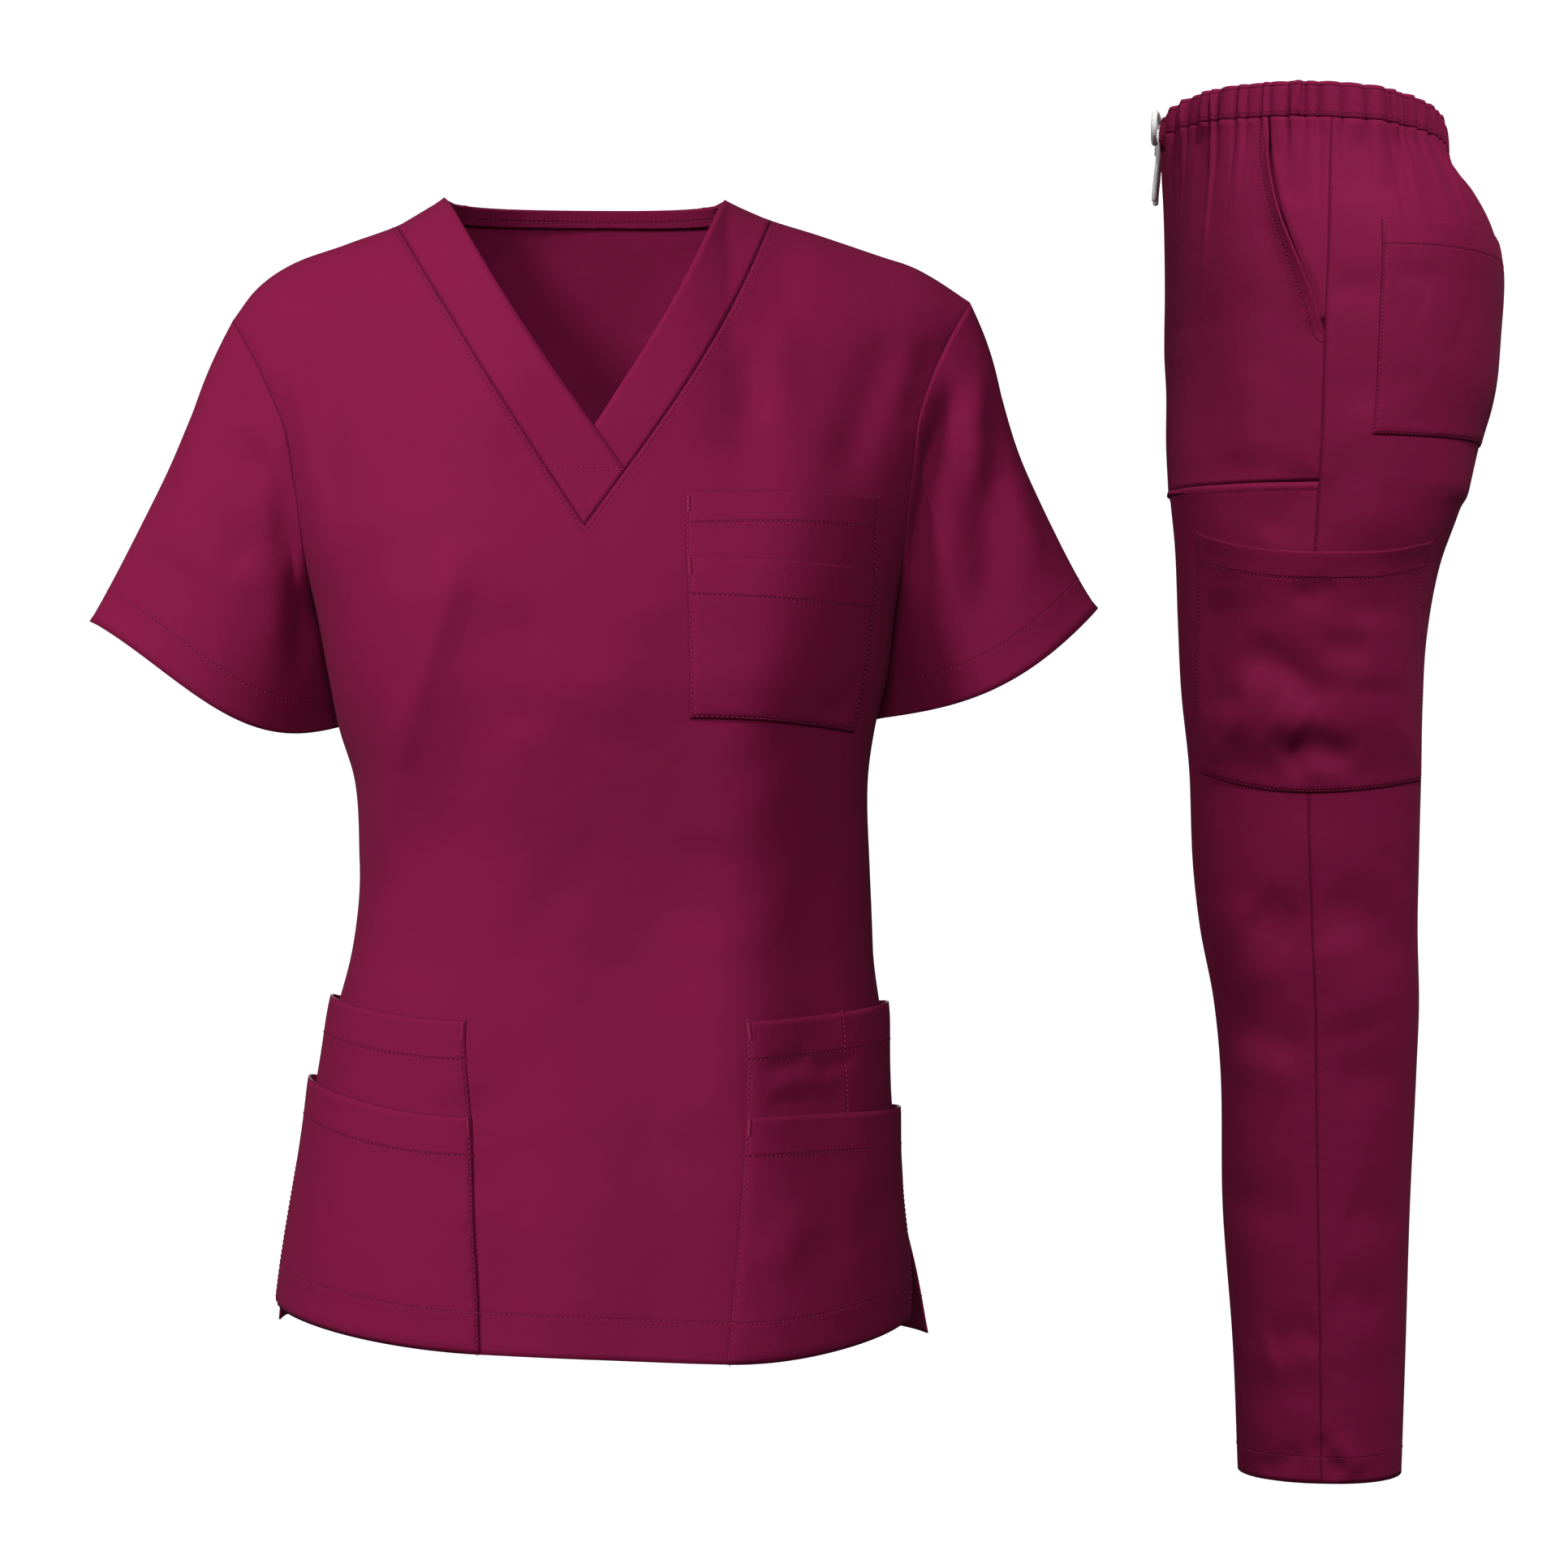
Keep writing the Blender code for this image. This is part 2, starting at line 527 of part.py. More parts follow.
def reach(side, face, z):
    vent = vents[side]
    flare = vent.front_flare if face == FRONT else vent.back_flare
    return torso["right" if side == RIGHT else "left"](z) + flare * vent_share(z) ** 1.5


def edge_share(side, face, z):
    """How much of the section's reach a panel covers, which is less beside an open vent."""
    vent = vents[side]
    angle = vent.front_angle if face == FRONT else vent.back_angle
    return np.cos(angle * vent_share(z)) ** (2 / TORSO_POWER)


def torso_point(x, z, face):
    """The point of the top's outer face at this place in the front view."""
    centre = torso["centre"](z)
    widest = np.where(x < centre, reach(RIGHT, face, z), reach(LEFT, face, z))
    across = np.clip(np.abs(x - centre) / widest, 0, 1)
    depth = torso["front" if face == FRONT else "back"](z)
    section = (1 - across ** TORSO_POWER) ** (1 / TORSO_POWER)
    fall = np.clip((ridge(x) - z) / SHOULDER_ROUND, 0, 1)
    y = depth * section * np.sqrt(1 - (1 - fall) ** 2)
    y = np.where(y < 1e-6, 0.0, y)
    folds = [fold[1:] for fold in TOP_FOLDS if fold.face == face]
    y = y + fold_amount(x, z, folds) * ease(y / FOLD_FADE)
    return np.stack(np.broadcast_arrays(x, face * y, z), axis=-1)


def armhole_place(side, face, drop):
    tip_x = side * armholes[side, face](0.0)
    tip_z = ridge(tip_x)
    return np.array([side * armholes[side, face](drop), tip_z + (ARMPIT_Z - tip_z) * drop])


def seam_place(side, share):
    """A place on the neckband's outer seam, from the V point (0) up to the shoulder (1)."""
    shoulder = (side * BAND_SHOULDER, ridge(side * BAND_SHOULDER))
    x, z = lerp(V_POINT, shoulder, share)
    return np.array([x + side * V_BULGE[side] * math.sin(math.pi * share ** 1.1), z])


def shoulder_arch(side, x):
    """How far the shoulder's ridge arches over a straight line from the neckband to the sleeve."""
    inner, outer = BAND_SHOULDER, float(armholes[side, FRONT](0.0))
    across = np.clip(np.abs(x), inner, outer)
    straight = lerp(ridge(side * inner), ridge(side * outer), (across - inner) / (outer - inner))
    return ridge(side * across) - straight


def spread_to_side(count):
    """Shares that crowd towards the side, where the section turns."""
    return np.sin(np.linspace(0, math.pi / 2, count + 1)) ** (2 / TORSO_POWER)


def front_shares(side, z):
    fork = float(torso["right_fork" if side == RIGHT else "left_fork"](z))
    inner = np.linspace(0, fork, FORK_COLUMNS + 1)[:-1]
    return np.concatenate([inner, fork + (1 - fork) * spread_to_side(SIDE_COLUMNS)]), fork


def front_half(side):
    """Grids of one half of the front, each from the centre outwards: below the V point, and above it."""
    lower, upper = [], []
    for row in FRONT_ROWS:
        shares, fork = front_shares(side, row.z)
        rise = row.right_rise if side == RIGHT else row.left_rise
        z = row.z + hem_tilt(side, row.z) * shares + rise * np.clip((shares - fork) / (1 - fork), 0, 1) ** 2
        x = torso["centre"](z) + side * reach(side, FRONT, z) * shares * edge_share(side, FRONT, z)
        lower.append(torso_point(x, z, FRONT))
    for row in CHEST_ROWS:
        outer = armhole_place(side, FRONT, row.drop)
        if row.up_seam is None:
            inner = np.array([torso["centre"](row.centre_z), row.centre_z])
        else:
            inner = seam_place(side, row.up_seam)
        shares, fork = front_shares(side, inner[1])
        place = lerp(inner, outer, shares[:, None])
        place[:, 1] += shoulder_arch(side, place[:, 0]) * ease(1 - row.drop / ARCH_FADE)
        points = torso_point(place[:, 0], place[:, 1], FRONT)
        if not row.up_seam:
            lower.append(points)
        if row.up_seam is not None:
            upper.append(points)
    return np.array(lower), np.array(upper)


def back_half(side):
    """Grid of one half of the back, from the centre outwards."""
    tip_x = armholes[side, BACK](0.0)
    neck = NECK_HALF / tip_x
    inner = np.linspace(0, neck, NECK_COLUMNS + 1)[:-1]
    shares = np.concatenate([inner, neck + (1 - neck) * spread_to_side(SHOULDER_COLUMNS)])
    top_x = side * tip_x * shares
    neckline = BACK_NECK_RISE * (1 - (top_x / NECK_HALF) ** 2)
    top_z = np.where(shares < neck - 1e-9, neckline, ridge(top_x))
    rows = []
    for z in BACK_ROWS:
        x = torso["centre"](z) + side * reach(side, BACK, z) * shares * edge_share(side, BACK, z)
        rows.append(torso_point(x, z + hem_tilt(side, z) * shares, BACK))
    for drop in BACK_DROPS:
        z = ARMPIT_Z + (top_z - ARMPIT_Z) * (1 - drop)
        outer_x = side * armholes[side, BACK](drop)
        x = torso["centre"](z) + (outer_x - torso["centre"](z)) * shares
        rows.append(torso_point(x, z, BACK))
    return np.array(rows)


def whole_row(right, left):
    """Both halves as one grid, from the wearer's right to the left, sharing the centre line."""
    return np.concatenate([right[:, ::-1], left[:, 1:]], axis=1)


def band_edge(side, share):
    """A place on the free edge of one half of the neckband, from its lower end up to the neck side."""
    bulge = BAND_EDGE_BULGE * math.sin(math.pi * share)
    if side == RIGHT:
        low = seam_place(LEFT, CHEST_ROWS[OVER_BAND_END].up_seam)
    else:
        low = band_edge(RIGHT, CROSSOVER)
    x, z = lerp(low, (side * NECK_HALF, 0.0), share)
    return np.array([x + side * bulge, z])


def over_band():
    """The right half of the neckband, which lies over the left one and ends in the V."""
    seam_rows = [row.up_seam for row in CHEST_ROWS if row.up_seam is not None]
    shares = np.array([0, seam_rows[1] / seam_rows[2], 1])
    places = [[seam_place(LEFT, share) for share in seam_rows[:3]]]
    for share in seam_rows[1:]:
        places.append(lerp(seam_place(RIGHT, share), band_edge(RIGHT, share), shares[:, None]))
    places = np.array(places)
    return torso_point(places[..., 0], places[..., 1], FRONT)


def under_band():
    """The left half of the neckband, and how far each of its points dips to pass under the right one."""
    start = CHEST_ROWS[OVER_BAND_END].up_seam
    seam_rows = [row.up_seam for row in CHEST_ROWS[OVER_BAND_END:]]
    shares = np.array([0, 0.5, 1])[:, None]
    places = []
    for share in seam_rows:
        edge = band_edge(LEFT, (share - start) / (1 - start))
        places.append(lerp(edge, seam_place(LEFT, share), shares))
    crossing = places[0][2] - places[0][0]
    across = np.array([crossing[1], -crossing[0]]) / np.linalg.norm(crossing)
    places.insert(0, places[0] + TUCK * across)
    places = np.array(places)
    dip = np.zeros(places.shape[:2])
    dip[0], dip[1], dip[2] = UNDER - 0.0002, UNDER - 0.0002, UNDER * 0.3
    return torso_point(places[..., 0], places[..., 1], FRONT), dip


def sleeve_grid(sleeve, front_edge, back_edge):
    """A sleeve from the armhole (first row) to the cuff. The edges run from the armpit to the shoulder."""
    ring = np.concatenate([front_edge[::-1], back_edge[1:]])
    steps = np.linalg.norm(np.diff(ring, axis=0), axis=1)
    armpit = len(front_edge) - 1
    down = np.concatenate([[0], np.cumsum(steps[:armpit])]) / steps[:armpit].sum()
    up = np.cumsum(steps[armpit:]) / steps[armpit:].sum()
    share = np.clip(np.concatenate([down, 1 - up]), 0, 1)
    face = np.concatenate([np.full(armpit + 1, FRONT), np.full(len(up), BACK)])
    round_cuff = half_turn(share) ** 0.8
    cuff = lerp(sleeve.outer, sleeve.inner, share[:, None])
    cuff[:, 1] += face * sleeve.depth * round_cuff
    cuff[:, 2] -= sleeve.hang * half_turn(share ** sleeve.skew) * np.where(face == FRONT, 1.0, 0.45)
    rows = []
    for step in range(SLEEVE_ROWS + 1):
        v = step / SLEEVE_ROWS
        points = lerp(ring, cuff, v)
        bow = sleeve.high_bow * half_turn(min(v / 0.3, 1.0)) + sleeve.low_bow * ease(v / 0.55) * half_turn(v) ** 0.6
        points[:, 0] += sleeve.side * bow * np.cos(np.pi * share / 2) ** 2
        points[:, 0] += sleeve.side * UNDERARM_BOW * half_turn(v) * ease(share * 2 - 1)
        rows.append(points)
    grid = np.array(rows)
    return outward(grid)


def outward(grid):
    """The same tube, with its columns in the order that makes its faces point out."""
    centre = grid.reshape(-1, 3).mean(axis=0)
    facing = (grid_normals(grid) * (grid - centre)).sum()
    return grid if facing > 0 else grid[:, ::-1]


def mouth_lift(shape, amount, peak=0.5):
    """How a pocket's mouth, its last row, stands off: nothing at its ends, most at the peak."""
    columns = np.linspace(0, 1, shape[1])
    across = half_turn(columns ** (math.log(0.5) / math.log(peak)))
    down = np.zeros(shape[0])
    down[-1], down[-2] = 1.0, 0.3
    return amount * down[:, None] * across[None, :]


def build_top(cloth):
    stand = garment_stand("top_stand", TOP_PLACE, TOP_TURN)
    skin = Skin([(np.array([0.0, 1.0, 0.0]), 0.0)])
    lower = {side: front_half(side)[0] for side in (RIGHT, LEFT)}
    upper = {side: front_half(side)[1] for side in (RIGHT, LEFT)}
    front_lower = skin.add(whole_row(lower[RIGHT], lower[LEFT]))
    front_upper = {RIGHT: skin.add(upper[RIGHT][:, ::-1]), LEFT: skin.add(upper[LEFT])}
    backs = {side: back_half(side) for side in (RIGHT, LEFT)}
    back = skin.add(whole_row(backs[RIGHT], backs[LEFT])[:, ::-1])
    over = skin.add(over_band())
    under, dip = under_band()
    skin.add(under)
    sleeves = {}
    armpit_row = len(FRONT_ROWS) - 1
    for sleeve in SLEEVES:
        side = sleeve.side
        front_edge = np.concatenate([lower[side][armpit_row:, -1], upper[side][1:, -1]])
        back_edge = backs[side][len(BACK_ROWS) - 1:, -1]
        sleeves[side] = skin.add(sleeve_grid(sleeve, front_edge, back_edge))

    def piece(name, grids, inside=-CLOTH, outside=0.0, lifts=None):
        return make_piece(name, skin, grids, cloth, stand, inside, outside, lifts)

    piece("top_front", [front_lower, front_upper[RIGHT], front_upper[LEFT]])
    piece("top_back", [back])
    piece("sleeve_right", [sleeves[RIGHT]])
    piece("sleeve_left", [sleeves[LEFT]])
    piece("neckband_right", [over])
    piece("neckband_left", [under], lifts=[dip])
    middle = back.shape[1] // 2
    facing = back[-2:, middle - NECK_COLUMNS:middle + NECK_COLUMNS + 1]
    piece("back_neck_facing", [facing], UNDER - PATCH_CLOTH, UNDER)
    first, second = LAYER_GAP, 2 * LAYER_GAP + PATCH_CLOTH
    for side, word in ((RIGHT, "right"), (LEFT, "left")):
        for layer, mouth, inside in (("back", UPPER_MOUTH, first), ("front", LOWER_MOUTH, second)):
            grid = lower[side][:mouth + 1, FORK_COLUMNS:]
            grid = grid[:, ::-1] if side == RIGHT else grid
            peak = 0.2 if side == RIGHT else 0.8
            lift = mouth_lift(grid.shape, 0.0035, peak)
            piece(f"hip_pocket_{word}_{layer}", [grid], inside, inside + PATCH_CLOTH, [lift])
    chest = np.concatenate([lower[LEFT], upper[LEFT][1:]])
    chest = chest[:, FORK_COLUMNS:FORK_COLUMNS + CHEST_POCKET_COLUMNS + 1]
    for layer, mouth, inside in (("back", CHEST_MOUTH_OUTER, first), ("front", CHEST_MOUTH_INNER, second)):
        grid = chest[CHEST_BOTTOM:mouth + 1]
        lift = mouth_lift(grid.shape, 0.0015)
        piece(f"chest_pocket_{layer}", [grid], inside, inside + PATCH_CLOTH, [lift])


# The trousers' outer face

leg = {name: smooth_column(TROUSERS, name) for name in Leg._fields[1:]}
slant_angle = smooth_column(SLANT, "angle")
FORK_Z = {FRONT: FRONT_FORK_Z, BACK: BACK_FORK_Z}


def fork_share(face, z):
    """0 where the section is one curve across both legs, 1 from the crotch down."""
    return np.clip((FORK_Z[face] - z) / (FORK_Z[face] - CROSS_SEAM_Z), 0, 1)


def last_angle(face, z):
    """The angle round the section where the left half ends, at the middle or at the inseam."""
    return math.pi / 2 + math.asin(float(fork_share(face, z)))


def leg_folds(points, side):
    """Moves points of the left half out or in along the folds of the given leg."""
    x, y, z = points[..., 0], points[..., 1], points[..., 2]
    amount = fold_amount(y, z, [fold[1:] for fold in TROUSER_FOLDS if fold.leg == side])
    outer = ease((x - leg["side"](z) * 0.55) / 0.04)
    return np.stack([x + amount * outer, y, z], axis=-1)


def half_row(face, level, angles, side):
    """Points round the left half at one level. The waist slopes, and rows by the cargo pockets curve."""
    share = fork_share(face, level)
    inner = leg["inner"](level)
    centre = leg["gap"](level) + inner * share
    seam = leg["seam"](level)
    depth = abs(leg["front" if face == FRONT else "back"](level) - seam)
    cosine, sine = np.cos(angles), np.sin(angles)
    exponent = np.where(cosine > 0, 2 / TROUSER_POWER, 1.0)
    x = centre + np.where(cosine > 0, leg["side"](level) - centre, inner) * power(cosine, exponent)
    x = np.where(np.abs(x) < 1e-6, 0.0, x)
    y = seam + face * depth * power(sine, exponent)
    z = level + WAIST_TILT * y * ease((level - WAIST_TILT_END_Z) / (-WAISTBAND - WAIST_TILT_END_Z))
    near_cargo = ease((CROSS_SEAM_Z - level) / 0.03) * ease((level + 0.56) / 0.05)
    z = z + CARGO_SAG[face] * (y - seam) ** 2 * near_cargo * ease(x / 0.1)
    return leg_folds(np.stack([x, y, z], axis=-1), side)


def column_angles(face, level, start):
    """Where the columns stand round one half, from its first angle, so that some follow pockets' edges."""
    fixed = [(0, start), (CARGO_COLUMN, leg["cargo_front"](level)), (HALF_COLUMNS, last_angle(face, level))]
    if face == BACK:
        fixed[1:2] = [
            (HIP_OUTER_COLUMN, leg["hip_outer"](level)),
            (CARGO_COLUMN, leg["cargo_back"](level)),
            (HIP_INNER_COLUMN, leg["hip_inner"](level)),
        ]
    columns, angles = zip(*fixed)
    return np.interp(np.arange(HALF_COLUMNS + 1), columns, [float(angle) for angle in angles])


def half_grid(face, levels, side, first_angle=None):
    """Rows from the side seam round to the middle or the inseam, on the left half."""
    rows = []
    for level in levels:
        start = 0.0 if first_angle is None else float(first_angle(level))
        rows.append(half_row(face, level, column_angles(face, level, start), side))
    return np.array(rows)


def facing_grid(levels, side):
    """The slant pocket's facing, from the side seam to a little way under the front."""
    rows = []
    for level in levels:
        edge = float(slant_angle(level))
        rows.append(half_row(FRONT, level, np.array([0, 0.5 * edge, edge, edge + SLANT_TUCK]), side))
    return np.array(rows)


def placed(grid, face, side):
    """The grid on its own leg, with its columns in the order that makes its faces point out."""
    grid = grid if side == LEFT else grid * np.array([-1.0, 1.0, 1.0])
    return grid[:, ::-1] if (face == FRONT) == (side == LEFT) else grid


def waistband_grid():
    """The gathered waistband as one ring, bottom row first. Gathers differ in width and depth."""
    chance = np.random.default_rng(GATHER_SEED)
    widths = chance.uniform(0.7, 1.3, GATHERS)
    depths = chance.uniform(0.6, 1.25, GATHERS) * GATHER_DEPTH
    starts = np.concatenate([[0], np.cumsum(widths)]) / widths.sum()
    fine = np.linspace(0, math.pi / 2, 60)
    base = {}
    for level in (-WAISTBAND, 0.0):
        quarter = [half_row(FRONT, level, fine, LEFT), half_row(BACK, level, fine, LEFT)[::-1]]
        half = np.concatenate([quarter[1][:-1], quarter[0]])
        ring = np.concatenate([half, (half * np.array([-1.0, 1.0, 1.0]))[::-1][1:]])
        steps = np.linalg.norm(np.diff(ring, axis=0), axis=1)
        base[level] = (np.concatenate([[0], np.cumsum(steps)]) / steps.sum(), ring)
    rows = []
    for level, swing in ((-WAISTBAND, 0.8), (0.0, 1.0)):
        along, ring = base[level]
        points = []
        for gather in range(GATHERS):
            for phase in (0.0, 0.25, 0.5, 0.75):
                place = lerp(starts[gather], starts[gather + 1], phase)
                point = np.array([np.interp(place, along, ring[:, axis]) for axis in range(3)])
                outwards = np.array([point[0], point[1] * 1.6, 0.0])
                outwards /= np.linalg.norm(outwards)
                wave = swing * depths[gather] * (1 - math.cos(2 * math.pi * phase))
                point[:2] += outwards[:2] * wave
                point[2] = level + WAIST_TILT * point[1]
                if level == 0.0:
                    point[2] -= WAIST_DIP * abs(point[1] / 0.1) ** 2.5
                points.append(point)
        points.append(points[0])
        rows.append(points)
    return outward(np.array(rows))


def build_trousers(cloth):
    stand = garment_stand("trousers_stand", TROUSERS_PLACE, TROUSERS_TURN)
    slope = np.array([0.0, -WAIST_TILT, 1.0])
    length = np.linalg.norm(slope)
    skin = Skin([(slope / length, -WAISTBAND / length), (slope / length, 0.0)])
    grids = {}
    for side in (RIGHT, LEFT):
        upper_front = half_grid(FRONT, HIP_ROWS, side, lambda z: slant_angle(z) if z > SLANT_END_Z else 0.0)
        back_rows = LEG_ROWS[:-1] + HIP_ROWS
        facing_levels = [FACING_END_Z] + [z for z in HIP_ROWS if z > FACING_END_Z]
        made = {
            "front_upper": (upper_front, FRONT),
            "front_lower": (half_grid(FRONT, LEG_ROWS, side), FRONT),
            "back": (half_grid(BACK, back_rows, side), BACK),
            "facing": (facing_grid(facing_levels, side), FRONT),
        }
        for name, (grid, face) in made.items():
            grids[name, side] = skin.add(placed(grid, face, side))
    band = skin.add(waistband_grid())

    def piece(name, grids, inside=-CLOTH, outside=0.0, lifts=None):
        return make_piece(name, skin, grids, cloth, stand, inside, outside, lifts)

    piece("waistband", [band], -WAISTBAND_CLOTH)
    for side, word in ((RIGHT, "right"), (LEFT, "left")):
        for name in ("front_upper", "front_lower", "back"):
            piece(f"trouser_{name}_{word}", [grids[name, side]])
        facing = grids["facing", side]
        dip = np.array([0.0, 0.0, FACING_DIP, FACING_DIP])
        if side == LEFT:
            dip = dip[::-1]
        piece(f"slant_facing_{word}", [facing], -PATCH_CLOTH, 0.0, [np.tile(dip, (len(facing), 1))])
        front, back = grids["front_lower", side], grids["back", side]
        if side == RIGHT:
            front, back = front[:, ::-1], back[:, ::-1]
        front_part = front[CARGO_BOTTOM:CARGO_MOUTH + 1, -CARGO_COLUMN - 1:]
        back_part = back[CARGO_BOTTOM:CARGO_MOUTH + 1, :CARGO_COLUMN + 1]
        cargo = np.concatenate([front_part, back_part[:, 1:]], axis=1)
        hip_row = len(LEG_ROWS) - 1
        rows = slice(hip_row + HIP_POCKET_BOTTOM, hip_row + HIP_POCKET_MOUTH + 1)
        hip = back[rows, HIP_OUTER_COLUMN:HIP_INNER_COLUMN + 1]
        if side == RIGHT:
            cargo, hip = cargo[:, ::-1], hip[:, ::-1]
        for name, grid, lift in (("cargo_pocket", cargo, 0.003), ("back_pocket", hip, 0.0015)):
            lifts = [mouth_lift(grid.shape, lift)]
            piece(f"{name}_{word}", [grid], LAYER_GAP, LAYER_GAP + PATCH_CLOTH, lifts)
    return stand


def build_drawstring(cotton, stand):
    centre, half = np.array(KNOT_PLACE), np.array(KNOT_SIZE) / 2
    points = [centre + half * np.array([0.0, 0.0, -1.0])]
    for ring in range(1, KNOT_RINGS):
        polar = math.pi * ring / KNOT_RINGS
        for side in range(KNOT_SIDES):
            turn = 2 * math.pi * side / KNOT_SIDES
            shape = [
                power(math.sin(polar), 0.7) * power(math.cos(turn), 0.8),
                power(math.sin(polar), 0.7) * power(math.sin(turn), 0.8),
                -power(math.cos(polar), 0.7),
            ]
            points.append(centre + half * np.array(shape))
    points.append(centre + half * np.array([0.0, 0.0, 1.0]))
    last = len(points) - 1
    faces = []
    for side in range(KNOT_SIDES):
        a, b = 1 + side, 1 + (side + 1) % KNOT_SIDES
        faces.append((0, b, a))
        for ring in range(KNOT_RINGS - 2):
            low, high = ring * KNOT_SIDES, (ring + 1) * KNOT_SIDES
            faces.append((a + low, b + low, b + high, a + high))
        top = (KNOT_RINGS - 2) * KNOT_SIDES
        faces.append((a + top, b + top, last))
    add_mesh("drawstring_knot", points, faces, cotton, stand)
    for word, mirror in (("left", 1), ("right", -1)):
        add_cord(f"drawstring_loop_{word}", LOOP, mirror, cotton, stand)
        add_cord(f"drawstring_end_{word}", FREE_END, mirror, cotton, stand)


def add_cord(name, rows, mirror, material, parent):
    curve = bpy.data.curves.new(name, "CURVE")
    curve.dimensions = "3D"
    curve.bevel_depth = CORD_THICK / 2
    curve.bevel_resolution = 2
    curve.use_fill_caps = True
    spline = curve.splines.new("POLY")
    spline.points.add(len(rows) - 1)
    for point, row in zip(spline.points, rows):
        point.co = (mirror * row.x, row.y, row.z, 1.0)
    curve.materials.append(material)
    obj = bpy.data.objects.new(name, curve)
    obj.parent = parent
    bpy.context.scene.collection.objects.link(obj)


def main():
    for obj in list(bpy.data.objects):
        bpy.data.objects.remove(obj, do_unlink=True)
    cloth = fabric("wine_poplin", WINE, 0.75)
    build_top(cloth)
    trousers = build_trousers(cloth)
    build_drawstring(fabric("natural_cotton", NATURAL_WHITE, 0.85), trousers)


main()
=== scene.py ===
import json
import math
from collections import namedtuple

import bpy
import numpy as np
from mathutils.kdtree import KDTree
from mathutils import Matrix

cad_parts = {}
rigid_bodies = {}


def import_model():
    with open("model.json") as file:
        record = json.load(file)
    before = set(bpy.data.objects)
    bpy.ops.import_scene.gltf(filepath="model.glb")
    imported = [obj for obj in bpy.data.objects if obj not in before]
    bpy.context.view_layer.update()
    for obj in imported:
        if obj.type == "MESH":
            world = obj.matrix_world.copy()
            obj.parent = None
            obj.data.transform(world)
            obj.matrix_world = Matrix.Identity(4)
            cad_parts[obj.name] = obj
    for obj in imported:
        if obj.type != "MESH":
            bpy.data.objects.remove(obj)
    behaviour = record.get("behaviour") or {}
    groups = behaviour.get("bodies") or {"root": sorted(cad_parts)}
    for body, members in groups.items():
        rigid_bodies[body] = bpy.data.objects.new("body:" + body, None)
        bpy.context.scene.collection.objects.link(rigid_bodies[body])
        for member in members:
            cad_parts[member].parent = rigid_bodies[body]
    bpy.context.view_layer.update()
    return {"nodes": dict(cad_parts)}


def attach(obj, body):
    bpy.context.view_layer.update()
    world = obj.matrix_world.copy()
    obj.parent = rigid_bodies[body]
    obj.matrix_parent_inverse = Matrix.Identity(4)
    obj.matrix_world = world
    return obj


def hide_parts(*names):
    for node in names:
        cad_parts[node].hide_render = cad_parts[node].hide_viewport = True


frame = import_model()
print("solids loaded:", len(frame["nodes"]))


# Studio

studio = {
    "lens": 85.0,
    "cameraAt": (0.1203, -2.235, -0.3528),   # level, looking along +Y
    "floorHeight": -1.25,
    "sweepStart": 1.6,                       # where the floor starts to curve up
    "sweepRadius": 1.2,
    "sweepSteps": 24,                        # round the curve
    "sweepReach": (6.0, 5.0, 4.0),           # to each side, towards the camera and up
    "paper": 0.93,
    "paperRoughness": 0.9,
    "ambient": 0.10,
    "between": 0.34,                         # the top is to the left of it, the trousers to the right
}

Lamp = namedtuple("Lamp", "name place target size watts lights")
lamps = (
    Lamp("topKey", (-1.75, -1.95, 1.35), (0.0, 0.0, -0.35), 0.7, 90, "top"),
    Lamp("topFront", (0.0, -3.6, 0.8), (0.1, 0.1, -0.3), 1.2, 70, "top"),
    Lamp("topRight", (1.9, -1.8, 2.0), (0.4, 0.3, -0.3), 0.7, 8, "top"),
    Lamp("trouserKey", (0.8, -1.6, 3.0), (0.52, 0.50, -0.35), 0.35, 116, "trousers"),
    Lamp("trouserRight", (1.9, -1.8, 2.0), (0.4, 0.3, -0.3), 0.7, 50, "trousers"),
    Lamp("trouserLeft", (-2.5, -1.1, 1.6), (0.0, 0.1, -0.3), 0.6, 46, "trousers"),
    Lamp("trouserFront", (-1.6, -3.2, -0.2), (0.1, 0.1, -0.3), 1.0, 6, "trousers"),
    Lamp("topRear", (-0.18, 3.4, 0.2), (0.0, 0.0, -0.35), 0.6, 100, "top"),
    Lamp("trouserRear", (1.0, 3.6, 0.2), (0.52, 0.50, -0.35), 0.6, 80, "trousers"),
    Lamp("backdropLight", (0.1, -1.5, 3.2), (0.1, 2.6, -0.3), 3.0, 415, "backdrop"),
)


def makeCamera():
    camera = bpy.data.objects.new("camera", bpy.data.cameras.new("camera"))
    camera.data.lens = studio["lens"]
    camera.data.clip_end = 60.0
    camera.location = studio["cameraAt"]
    camera.rotation_euler = (math.pi / 2, 0.0, 0.0)
    bpy.context.scene.collection.objects.link(camera)
    bpy.context.scene.camera = camera


def addLight(lamp):
    light = bpy.data.lights.new(lamp.name, "AREA")
    light.shape = "DISK"
    light.size = lamp.size
    light.energy = lamp.watts
    holder = bpy.data.objects.new(lamp.name, light)
    holder.location = lamp.place
    away = np.array(lamp.place) - np.array(lamp.target)
    level = math.hypot(away[0], away[1])
    holder.rotation_euler = (math.atan2(level, away[2]), 0.0, math.atan2(away[1], away[0]) + math.pi / 2)
    bpy.context.scene.collection.objects.link(holder)


